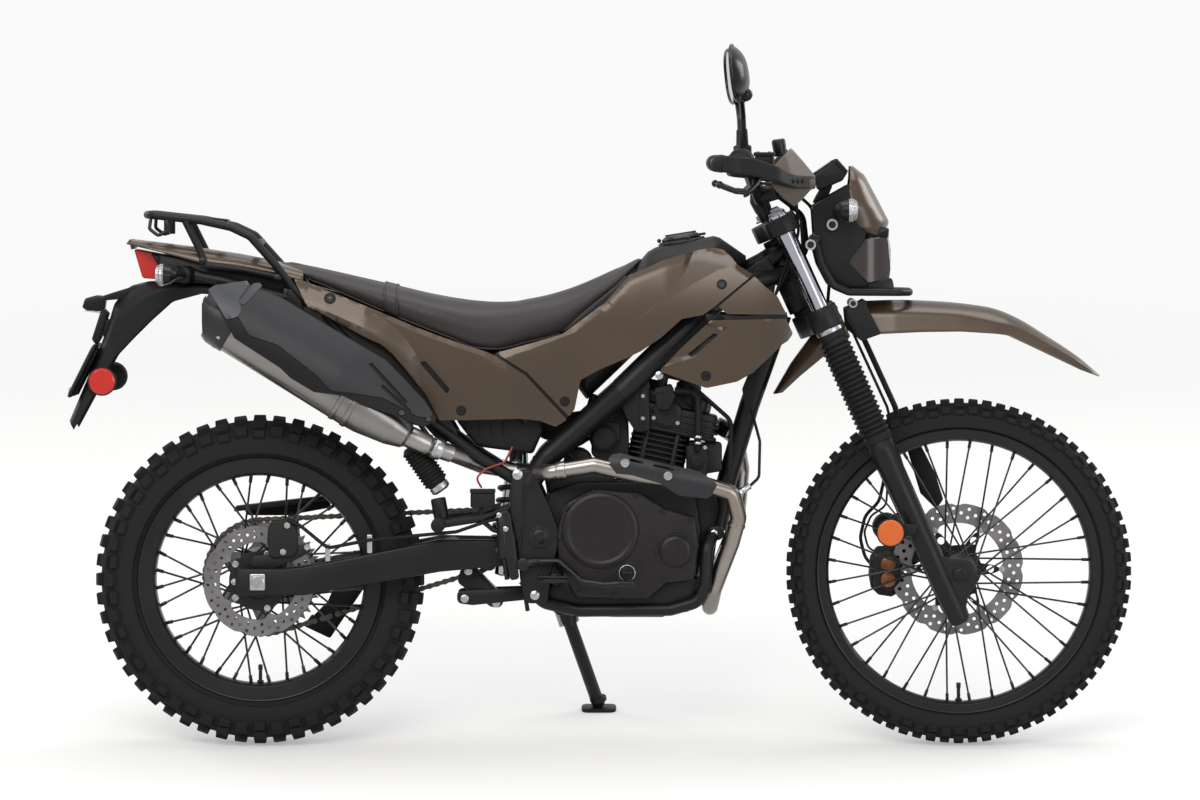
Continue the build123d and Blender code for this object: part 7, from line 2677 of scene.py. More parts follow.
    def wiring(self) -> None:
        """Runs the main loom, breather hoses and the small clips along the frame."""
        loom = pipe([(300, 30, 846), (220, 96, 800), (120, 116, 730), (20, 114, 640), (-60, 100, 590), (-150, 60, 560)],
                    6, 30, 4)
        breather = pipe([(-60, -60, 560), (-100, -70, 590), (-140, -76, 560), (-160, -106, 470), (-176, -110, 400),
                         (-170, -108, 330), (-160, -104, 268)], 4.2, 26, 3)
        vent = pipe([(30, -20, 712), (60, -40, 740), (150, -60, 720), (240, -44, 640), (236, -40, 520), (206, -60, 400),
                     (196, -70, 320)], 4.6, 30, 3)
        bundle = [pipe([(250, y, 902 + 9 * n), (296, y * 0.9, 930 + 8 * n), (336, y * 0.8, 964 + 6 * n),
                        (362, y * 0.7, 1004)], 6.5, 20, 3)
                  for n, y in enumerate((-46, -40, -32, 34, 42))]
        horn = side_plate([(262, 868, 6), (300, 856, 6), (322, 874, 8), (330, 930, 8), (316, 962, 10), (288, 950, 12),
                           (266, 906, 10)], -48, 40, 5, 3)
        clip = [side_plate([(296, 884, 3), (318, 878, 3), (324, 896, 3), (304, 908, 3)], -52, -48, 1)]
        self.finish([loom, breather, vent, horn, *bundle, *clip], "frame_hoses", SOFT_RUBBER, "black_plastic")
        lead = pipe([(-250, -112, 510), (-262, -112, 530), (-240, -110, 548), (-205, -104, 560), (-190, -98, 590)], 2.2,
                    14, 3)
        self.finish(lead, "red_lead", RED_SLEEVE, "black_plastic")
        loop = pipe([(286, -44, 842), (296, -56, 800), (316, -48, 784), (328, -34, 800), (318, -28, 822)], 2.2, 16, 3)
        self.finish(loop, "hose_guide_loop", ZINC_PLATE, "steel")


@dataclass
class Engine(Assembly):
    """The air-cooled single: cases, covers, fins, head and its fixings."""

    body: Body = Body.FRAME
    lean: float = 12.0
    barrel_foot: Flat = (84.0, 516.0)

    def barrel(self) -> Matrix:
        """Gives the place of the barrel's foot, with its leaning axis as Z."""
        x, z = self.barrel_foot
        return Matrix.Translation((x, 0, z)) @ Matrix.Rotation(math.radians(self.lean), 4, "Y")

    def build(self) -> None:
        """Makes cases, covers, cylinder, head and fixings."""
        self.cases()
        self.covers()
        self.cylinder()
        self.head()
        self.ports()
        self.dressing()
        self.bolts()

    def cases(self) -> None:
        """Casts the two crankcase halves with their seam and ribs."""
        rows = [(-150, 420, 30), (-158, 360, 30), (-120, 300, 26), (-60, 284, 16), (80, 282, 16), (150, 300, 24),
                (176, 340, 20), (182, 420, 20), (170, 500, 22), (150, 522, 14), (40, 522, 10), (-60, 520, 20),
                (-120, 500, 26)]
        case = side_plate(rows, -70, 70, 6, 3)
        seam = side_plate([(x * 1.012, 400 + (z - 400) * 1.018, r) for x, z, r in rows], -4, 4, 1.4)
        ribs = [side_plate(oblong(x, 290, x + 5, 278, 1), -60, 60, 1) for x in range(-40, 140, 24)]
        box = side_plate([(-120, 480, 16), (-130, 540, 14), (-60, 560, 16), (10, 540, 10), (10, 500, 8)], -52, 40, 6)
        self.finish([case, seam, box, *ribs], "crankcase_halves", ENGINE_ENAMEL, "black_aluminium", ("crankcase",))

    def covers(self) -> None:
        """Casts the clutch, filter, generator and sprocket covers."""
        clutch = side_plate([(-104, 420, 40), (-100, 370, 30), (-66, 294, 20), (75, 291, 16), (112, 322, 14),
                             (167, 328, 12), (176, 400, 14), (170, 452, 16), (110, 470, 16), (60, 500, 30),
                             (-30, 508, 40), (-90, 480, 36)], -112, -68, 7, 4)
        disc = lathe([(0, 0, 0), (75, 0, 0), (75, 9, 4), (66, 12, 3), (60, 9.5, 3), (0, 9.5, 0)], 90)
        place(disc, basis((0, -1, 0), at=(-17, -108, 427)))
        filter_cap = lathe([(0, 0, 0), (31, 0, 0), (31, 10, 3), (24, 13, 3), (0, 13, 0)], 60)
        place(filter_cap, basis((0, -1, 0), at=(130, -106, 386)))
        rim = lathe([(36, 0, 0), (40, 0, 0), (40, 5, 1.4), (36, 5, 1.4)], 60)
        place(rim, basis((0, -1, 0), at=(130, -108, 386)))
        generator = lathe([(0, 0, 0), (84, 0, 0), (84, 30, 8), (70, 40, 8), (30, 42, 4), (26, 38, 3), (0, 38, 0)], 90)
        place(generator, basis((0, 1, 0), at=(40, 66, 400)))
        caps = [place(lathe([(0, 0, 0), (r, 0, 0), (r, 5, 1.6), (r - 4, 6, 1), (0, 6, 0)], 40),
                      basis((0, 1, 0), at=(x, 106, z))) for x, z, r in ((40, 400, 15), (76, 444, 11))]
        sprocket = side_plate([(-146, 440, 20), (-150, 350, 20), (-110, 318, 16), (-52, 330, 12), (-44, 470, 16),
                               (-100, 480, 20)], 66, 96, 6, 3)
        shell = join([clutch, disc, filter_cap, rim, generator, sprocket, *caps])
        self.finish(shell, "engine_side_covers", COVER_ENAMEL, "black_aluminium", ("engine_covers",))
        filler = lathe([(0, 0, 0), (15, 0, 0), (15, 4, 1), (12, 10, 2), (0, 10, 0)], 32)
        ridge = plate(oblong(-10, -2, 10, 2, 1), 9, 14, 1)
        place(join([filler, ridge]), basis((0, -1, 0), at=(35, -111, 343)))
        self.finish(filler, "oil_filler_cap", BLACK_ABS, "black_plastic")
        ring = lathe([(12, 0, 0), (16.5, 0, 1), (16.5, 3, 1), (12, 3, 0)], 36)
        self.finish(place(ring, basis((0, -1, 0), at=(35, -112, 343))), "oil_filler_ring", ZINC_PLATE, "steel")

    def cylinder(self) -> None:
        """Casts the barrel and stacks its cooling fins."""
        core = place(plate(oblong(-46, -46, 46, 46, 18), 0, 104, 3), self.barrel())
        parts = [core]
        for k in range(9):
            wide = 60 if k < 8 else 56
            fin = plate(oblong(-wide, -62, wide - 4, 62, 20), 10 + 10.6 * k, 13.6 + 10.6 * k, 1.2)
            parts.append(place(fin, self.barrel()))
        for x, y in ((-30, -63), (30, -63), (-30, 63), (30, 63)):
            parts.append(place(rod(5, (x, y * 0.93, 6), (x, y * 0.93, 104), 0.5, 14), self.barrel()))
        tunnel = plate(oblong(-58, 12, 56, 54, 6), 2, 108, 3)
        parts.append(place(tunnel, self.barrel()))
        self.finish(parts, "finned_barrel", ENGINE_ENAMEL, "black_aluminium", ("cylinder",))

    def head(self) -> None:
        """Casts the finned head, its cover and the rocker caps."""
        seat = self.barrel()
        base = place(plate(oblong(-56, -66, 100, 66, 18), 104, 156, 4), seat)
        parts = [base]
        for k in range(4):
            fin = plate(oblong(-62, -70, 106, 70, 18), 107 + 12 * k, 111 + 12 * k, 1.2)
            parts.append(place(fin, seat))
        cover = place(plate([(-58, -60, 16), (72, -60, 16), (84, -20, 20), (72, 60, 16), (-58, 60, 16)], 154, 184, 8,
                            4), seat)
        parts.append(cover)
        for x, tall in ((-36, 200), (32, 210)):
            cap = place(lathe([(0, 178, 0), (25, 178, 2), (25, tall - 6, 5), (18, tall, 4), (0, tall, 0)], 48),
                        seat @ Matrix.Translation((x, 0, 0)))
            parts.append(cap)
        side = place(lathe([(0, 0, 0), (30, 0, 0), (30, 8, 3), (22, 11, 3), (0, 11, 0)], 48),
                     seat @ Matrix.Translation((0, -60, 142)) @ basis((0, -1, 0)))
        parts.append(side)
        front = side_plate([(150, 528, 6), (222, 540, 8), (222, 596, 8), (156, 600, 8)], -44, 20, 4)
        parts.append(front)
        self.finish(parts, "cylinder_head", ENGINE_ENAMEL, "black_aluminium")

    def ports(self) -> None:
        """Makes the throttle body, its boot, the starter and the cooler hoses."""
        boot = pipe([(30, 0, 640), (4, 0, 640), (-24, 0, 636)], 22, 20, 5, radii=(1.05, 1.0, 1.15))
        throttle = pipe([(-20, 0, 637), (-64, 0, 630), (-96, 0, 626)], 27, 20, 5)
        intake = pipe([(-92, 0, 627), (-116, 0, 628), (-140, 0, 640)], 30, 20, 5)
        self.finish([boot, intake], "intake_boots", SOFT_RUBBER, "grip_rubber")
        pulley = rod(25, (-9, -40, 610), (-9, -20, 610), 3, 44)
        injector = rod(9, (-40, -16, 650), (-30, -26, 690), 2, 20)
        self.finish([throttle, pulley, injector], "throttle_body", BLACK_ANODISED, "black_aluminium")
        starter = rod(29, (-62, -46, 556), (-62, 44, 556), 6, 44)
        self.finish(starter, "starter_motor", ENGINE_ENAMEL, "black_aluminium")
        hoses = [pipe([(180, y, 596), (182, y, 630), (176, y, 662), (150, y * 1.6, 684)], 8.5, 20, 4) for y in (-52,
            -28)]
        self.finish(hoses, "oil_hoses", SOFT_RUBBER, "black_plastic")
        clips = [rod(10.6, (180, y, 598), (181, y, 606), 1, 28) for y in (-52, -28)]
        self.finish(clips, "hose_clamps", ZINC_PLATE, "steel")
        plug = pipe([(96, 68, 668), (104, 84, 682), (110, 86, 712), (90, 60, 744)], 6, 14, 4,
                    radii=(1.7, 1.5, 0.8, 0.7))
        self.finish(plug, "spark_plug_lead", SOFT_RUBBER, "black_plastic")

    def dressing(self) -> None:
        """Hangs bracket, breather box, air hose and the dark covers round the head."""
        hanger = side_plate([(18, 684, 6), (52, 710, 10), (78, 728, 6), (78, 622, 8), (52, 618, 10), (34, 646, 12)],
                            -86, -80, 1.4, 2)
        pad = side_plate([(60, 700, 6), (74, 700, 6), (74, 634, 6), (60, 640, 6)], -89, -85, 1.2)
        left = side_plate([(30, 690, 6), (78, 716, 8), (78, 630, 10), (48, 628, 10)], 78, 84, 1.4)
        front = [side_plate([(150, 524, 8), (206, 520, 8), (214, 470, 8), (204, 400, 10), (196, 352, 8), (160, 350, 8)],
                            y, y + 6, 1.4, 2)
                 for y in (-56, 50)]
        self.finish([hanger, pad, left, *front], "head_hangers", POWDER_COAT, "black_metal")
        shell = side_plate([(88, 706, 6), (122, 714, 6), (131, 690, 14), (117, 660, 12), (92, 662, 12)], -104, -66, 6,
                           3)
        lid = side_plate([(86, 698, 3), (126, 707, 3), (127, 701, 3), (88, 692, 3)], -105.5, -64, 1.2)
        stem = rod(7, (106, -84, 708), (110, -84, 730), 1, 24)
        self.finish([shell, lid, stem], "breather_box", GRAINED_PLASTIC, "black_plastic")
        hose = pipe([(128, -84, 700), (160, -84, 699), (173, -84, 690), (175, -83, 660), (174, -82, 620),
                     (172, -72, 584), (176, -54, 572)], 6.6, 14, 4)
        self.finish(hose, "air_hose", SOFT_RUBBER, "black_plastic")
        ring = [rod(8.4, (174, -82, z), (174, -81.6, z + 5), 0.8, 28) for z in (606, 594)]
        self.finish(ring, "air_hose_clamps", ZINC_PLATE, "steel")
        valve = side_plate([(150, 592, 8), (186, 596, 8), (196, 570, 10), (192, 530, 8), (152, 524, 8)], -72, -46, 5, 3)
        cap = place(lathe([(0, 0, 0), (15, 0, 0), (15, 5, 2), (10, 8, 2), (0, 8, 0)], 36),
                    basis((0, -1, 0), at=(172, -70, 560)))
        self.finish([valve, cap], "air_valve", GRAINED_PLASTIC, "black_plastic")
        fill = side_plate([(-34, 640, 14), (2, 684, 10), (36, 690, 8), (40, 560, 8), (20, 540, 10), (-36, 572, 14)],
                          -52, 52, 8, 3)
        dome = place(lathe([(0, 0, 0), (27, 0, 0), (27, 10, 3), (20, 15, 4), (0, 16, 0)], 44),
                     basis((0, -1, 0), at=(-12, -56, 606)))
        stay = side_plate([(-40, 600, 6), (-30, 640, 10), (20, 636, 8), (22, 604, 8), (-10, 576, 14)], -62, -54, 2, 2)
        self.finish([fill, dome, stay], "throttle_covers", GRAINED_PLASTIC, "black_plastic")
        seats = [((66, -89.5, z), (0, -1, 0)) for z in (690, 646)] + [((188, -72.5, 588), (0, -1, 0)),
            ((148, -74, 530), (0, -1, 0))]
        self.finish(bolts(seats, 4.4, 3, "hex"), "hanger_bolts", ZINC_PLATE, "steel")

    def bolts(self) -> None:
        """Sets the zinc bolts of covers, barrel and head."""
        rim = [(-96, 412), (-88, 352), (-60, 304), (10, 298), (70, 300), (108, 328), (160, 336), (170, 396), (160, 448),
               (104, 464), (52, 496), (-30, 502), (-84, 470)]
        seats = [((x, -112.5, z), (0, -1, 0)) for x, z in rim]
        seats += [((130 + r[0], -113, 386 + r[1]), (0, -1, 0)) for r in (polar(35.5, math.radians(a)) for a in (60, 180,
            300))]
        self.finish(bolts(seats, 5.4, 4, "flange"), "clutch_cover_bolts", BLACK_OXIDE, "black_metal")
        left = [((40 + p[0], 97, 400 + p[1]), (0, 1, 0)) for p in (polar(78, math.tau * k / 8) for k in range(8))]
        left += [((x, 97, z), (0, 1, 0)) for x, z in ((-136, 430), (-138, 352), (-60, 336), (-56, 462))]
        self.finish(bolts(left, 5.4, 4, "flange"), "generator_cover_bolts", ZINC_PLATE, "steel")
        seat = self.barrel()
        top = [(seat @ Vector((x, y, 184)), (0.2, 0, 1)) for x in (-48, 62) for y in (-48, 48)]
        self.finish(bolts(top, 5, 4, "hex"), "head_cover_bolts", ZINC_PLATE, "steel")
        nuts = [(seat @ Vector((x, -71, z)), (0, -1, 0)) for x, z in ((-24, 128), (24, 128), (0, 168))]
        self.finish(bolts(nuts, 4.6, 3, "hex"), "head_side_bolts", ZINC_PLATE, "steel")


@dataclass
class Stand(Assembly):
    """The side stand: bracket end, leg, foot and its two springs."""

    body: Body = Body.SIDE_STAND

    pivot: Point = (-100.0, 132.0, 288.0)
    foot: Point = (-22.0, 262.0, 46.52)
    axle: Point = (-0.1, 0.93, 0.32)

    def build(self) -> None:
        """Bends the leg, presses its foot and hooks its two springs."""
        pivot, foot, axle = Vector(self.pivot), Vector(self.foot), Vector(self.axle).normalized()
        up = PARKED.to_3x3().transposed() @ Vector((0, 0, 1))
        leg = rod(13, pivot, foot + up * 10, 2, 36)
        sole = place(plate(oblong(-35, -23, 35, 23, 16), 0, 8, 2), basis(up, (1, 0, 0), foot))
        collar = rod(17, foot + up * 16 + (pivot - foot).normalized() * 4,
                     foot + up * 22 + (pivot - foot).normalized() * 8, 2, 28)
        eye = place(lathe([(0, -12, 0), (20, -12, 2), (20, 12, 2), (0, 12, 0)], 40), basis(axle, (0, 0, 1), pivot))
        self.finish([leg, sole, collar, eye], "stand_leg", POWDER_COAT, "black_metal", ("side_stand",))
        bolt = place(bolt_head(12, 7, "flange"), basis(axle, (0, 0, 1), pivot + axle * 12))
        self.finish(bolt, "stand_pivot_bolt", ZINC_PLATE, "steel")
        down = (foot - pivot).normalized()
        aside = down.cross(axle).normalized()
        coils = []
        for offset in (-15, 15):
            start = pivot + down * 26 + aside * offset * 1.05
            seat = basis(down, axle, start)
            points = [seat @ Vector((4.5 * math.cos(math.tau * k / 10), 4.5 * math.sin(math.tau * k / 10),
                                     46 * k / 130)) for k in range(131)]
            coils.append(pipe(points, 1.4, 0, 2))
        self.finish(coils, "stand_springs", ZINC_PLATE, "steel")


# ---- exhaust ----------------------------------------------------------------------------------

CAN_BACK = Vector((-775.2, -160.0, 848.8))
CAN_FRONT = Vector((-500.2, -160.0, 677.8))


@dataclass
class Exhaust(Assembly):
    """Header, middle pipe with its shield, silencer with its slate cover."""

    body: Body = Body.FRAME
    pipe_r: float = 16.0
    y_can: float = -160.0

    def build(self) -> None:
        """Makes pipe, shield, can, cover and fixings."""
        self.pipe()
        self.shield()
        self.can()
        self.cover()
        self.fixings()

    def pipe(self) -> None:
        """Bends the header and the middle pipe, with flange and welded rings."""
        header = [(224, 30, 622), (250, 44, 604), (262, 74, 540), (252, 76, 430), (208, 70, 320), (200, 40, 272),
                  (198, -40, 272), (206, -74, 310), (240, -98, 400), (254, -112, 452), (242, -122, 500),
                  (180, -132, 520), (60, -140, 536), (-30, -142, 556), (-116, -128, 541), (-176, -60, 540),
                  (-250, -64, 552), (-306, -110, 576), (-352, -146, 594), (-392, -150, 612)]
        tube = pipe(header, self.pipe_r, 22, 6)
        rings = [rod(self.pipe_r + 2.2, (-84, -133.6, 546.6), (-102, -130.6, 543.6), 1.2, 32),
                 rod(self.pipe_r + 1.8, (249, -107.4, 434), (250.4, -108.7, 440), 1.0, 32)]
        cone = pipe([(-310, -128, 578), (-352, -146, 594), (-396, -150, 614)], 17, 6, 5, radii=(1.05, 1.15, 1.3))
        self.finish([tube, cone, *rings], "exhaust_header", EXHAUST_TUBE, "exhaust_steel", ("exhaust_pipe",))
        flange = plate(oblong(-34, -17, 34, 17, 10), 0, 8, 2)
        place(flange, basis((0.84, 0.4, -0.36), (0, 1, 0), (222, 29, 624)))
        self.finish(flange, "exhaust_flange", ZINC_PLATE, "steel")
        sensor = [rod(9, (246, -116, 496), (260, -112, 504), 1.5, 6),
                  rod(6.5, (260, -112, 504), (276, -106, 514), 1.2, 20)]
        wire = pipe([(275, -106, 513), (294, -96, 530), (296, -70, 600), (280, -30, 660)], 3, 20, 3)
        self.finish(sensor, "oxygen_sensor", ZINC_PLATE, "steel")
        self.finish(wire, "oxygen_sensor_lead", SOFT_RUBBER, "black_plastic")

    def shield(self) -> None:
        """Presses the heat shield over the middle pipe."""
        rows = [(-2, 569, 3), (7, 578, 4), (22, 580, 4), (75, 567, 10), (136, 552, 10), (154, 550, 4), (179, 543, 4),
                (206, 526, 5), (211, 518, 4), (200, 497, 5), (191, 491, 5), (136, 497, 14), (99, 521, 20),
                (44, 537, 20), (13, 540, 5)]
        holes = [[(40, 570, 2), (66, 564, 2), (66, 559, 2), (40, 565, 2)],
                 [(86, 559, 2), (126, 550, 2), (126, 545, 2), (86, 554, 2)]]

        def face(x: float, z: float) -> float:
            """Gives the shield's outer face, bowed over the pipe."""
            middle = height_on(((-20, 556), (44, 553), (99, 541), (136, 526), (211, 512)), x)
            return -(164 - (z - middle) ** 2 * 0.014)

        sheet = panel(rows, face, 1.8, [[(20, 561), (75, 552), (150, 528), (196, 512)]], 8, 0.7, holes=holes,
                      outside=-1)
        self.finish(sheet, "heat_shield_plate", SLATE_COVER, "black_metal", ("heat_shields",))
        seats = [((31, -164.5, 561), (0, -1, 0)), ((115, -164.2, 536), (0, -1, 0))]
        self.finish(bolts(seats, 8.5, 4, "button"), "heat_shield_screws", ZINC_PLATE, "steel")
        posts = [rod(5, (31, -150, 556), (31, -163, 561), 0.8, 16), rod(5, (115, -146, 534), (115, -162, 536), 0.8, 16)]
        self.finish(posts, "heat_shield_posts", EXHAUST_TUBE, "exhaust_steel")

    def can(self) -> None:
        """Rolls the silencer's shell with end cap, outlet, cone and weld band."""
        way = (CAN_BACK - CAN_FRONT).normalized()
        seat = basis(way, (0, 0, 1), CAN_FRONT) @ Matrix.Diagonal((1.0, 1.12, 1.0, 1.0))
        length = (CAN_BACK - CAN_FRONT).length
        rows = [(20, -128, 0), (26, -122, 4), (36, -92, 8), (47, -30, 8), (48, -9, 3), (50.5, -7, 1), (50.5, 1, 1),
                (48.5, 3, 1), (48.5, 18, 1), (50.5, 20, 1), (50.5, 27, 1), (48.5, 29, 1), (49, length - 10, 4),
                (46, length - 2, 3), (36, length, 2), (0, length, 0)]
        shell = place(lathe(rows, 64), seat)
        self.finish(shell, "silencer_shell", SILENCER_STEEL, "exhaust_steel", ("muffler",))
        cap = place(lathe([(49.2, length - 50, 0), (51.5, length - 50, 1), (51.5, length + 60, 0), (0, length + 60, 0)],
                          64), seat)
        slice_off(cap, (-793, 0, 872), (-0.832, 0, 0.555))
        slice_off(cap, (-788, 0, 0), (-1, 0, 0))
        sink_face(cap, 6, (-5, 0, 0))
        sink_face(cap, 7, (5, 0, 0))
        outlet = place(rod(17, (-12, 0, length - 20), (-12, 0, length + 60), 0, 40), seat)
        slice_off(outlet, (-792, 0, 0), (-1, 0, 0))
        sink_face(outlet, 2.6, tuple(way * -30))
        self.finish([cap, outlet], "silencer_end_cap", SLATE_COVER, "black_metal")
        shoulder = panel([(-780, 901, 4), (-768, 909, 5), (-706, 918, 5), (-701, 911, 5), (-720, 884, 4),
                          (-716, 860, 5), (-723, 848, 4), (-744, 842, 8), (-769, 884, 6)], lambda x,
                         z: self.cover_face(x, z) - 3.6, 3, (), 8, 1.4, outside=-1)
        self.finish(shoulder, "silencer_shoulder", SLATE_TRIM, "black_plastic")
        turn = math.tau / 8
        spots = [polar(51.0, turn * (k + 0.28)) for k in range(8)]
        self.finish(bolts([(seat @ Vector((*spot, length - 34)), seat.to_3x3() @ Vector((*spot, 0))) for spot in spots],
                          3.4, 1.6, "button"), "silencer_rivets", ZINC_PLATE, "steel")

    def cover_face(self, x: float, z: float) -> float:
        """Gives the slate cover's outer face, round the can."""
        along = ((x + 536) * -0.864 + (z - 712) * 0.503)
        across = (x + 536) * 0.503 + (z - 712) * 0.864
        reach = 66.0 - max(0.0, -along) * 0.13
        turn = min(1.0, across / 104 if across > 0 else -across / 66)
        return self.y_can - reach * (0.26 + 0.74 * math.cos(turn * math.pi / 2))

    def cover(self) -> None:
        """Moulds the slate cover with its stepped lower part, lighter band and grooves."""
        top = [(-776, 898, 8), (-733, 917, 6), (-706, 913, 8), (-640, 886, 20), (-620, 874, 10), (-559, 837, 30),
               (-497, 800, 30), (-436, 764, 20), (-405, 733, 16), (-359, 684, 20), (-335, 646, 8)]
        low = [(-362, 632, 8), (-421, 656, 14), (-482, 677, 14), (-516, 694, 14), (-575, 701, 14), (-620, 728, 16),
               (-640, 748, 20), (-729, 806, 8), (-738, 824, 8), (-752, 850, 10)]
        sheet = panel(top + low, self.cover_face, 3, (), 9, 1.2, outside=-1)
        self.finish(sheet, "silencer_cover", GRAINED_PLASTIC, "black_plastic")
        upper = [(-728, 916, 8), (-706, 911, 8), (-640, 884, 20), (-559, 835, 30), (-497, 798, 30), (-436, 762, 20),
                 (-405, 731, 16), (-359, 682, 20), (-340, 652, 8), (-370, 652, 14), (-440, 690, 30), (-500, 700, 14),
                 (-540, 704, 20), (-570, 736, 30), (-645, 794, 30), (-700, 812, 20), (-722, 850, 12), (-728, 880, 10)]
        grooves = [[(-470, 756, 4), (-462, 758, 4), (-392, 682, 4), (-398, 676, 4)],
                   [(-446, 712, 3), (-440, 716, 3), (-384, 664, 3), (-390, 660, 3)]]
        raised = panel(upper, lambda x, z: self.cover_face(x, z) - 3.4, 3, (), 8, 1.6, holes=grooves, outside=-1)
        self.finish(raised, "silencer_cover_step", SLATE_COVER, "black_plastic")
        band = [(-694, 912, 2), (-682, 914, 3), (-676, 908, 2), (-709, 872, 4), (-718, 874, 3), (-718, 880, 3)]
        strip = panel(band, lambda x, z: self.cover_face(x, z) - 5.0, 2, (), 8, 0.8, outside=-1)
        self.finish(strip, "silencer_cover_band", SLATE_TRIM, "black_plastic")

    def fixings(self) -> None:
        """Sets the cover's screws, the front clamp and the hanger."""
        seats = [((x, self.cover_face(x, z) - 1, z), (0, -1, 0.25)) for x, z in ((-352, 648), (-404, 660))]
        self.finish(bolts(seats, 5, 3, "button"), "silencer_cover_screws", BLACK_OXIDE, "black_metal")
        clamp = rod(21, (-330, -137, 585), (-346, -143.5, 591.5), 1.4, 36)
        ear = rod(4, (-334, -164, 602), (-346, -164, 578), 0.8, 6)
        self.finish([clamp, ear], "silencer_clamp", ZINC_PLATE, "steel")
        hanger = side_plate([(-640, 830, 8), (-600, 850, 8), (-606, 900, 8), (-630, 900, 8)], -110, -104, 1.5)
        self.finish(hanger, "silencer_hanger", POWDER_COAT, "black_metal")


# ---- tail: cowl, rack, fender, lamps ----------------------------------------------------------


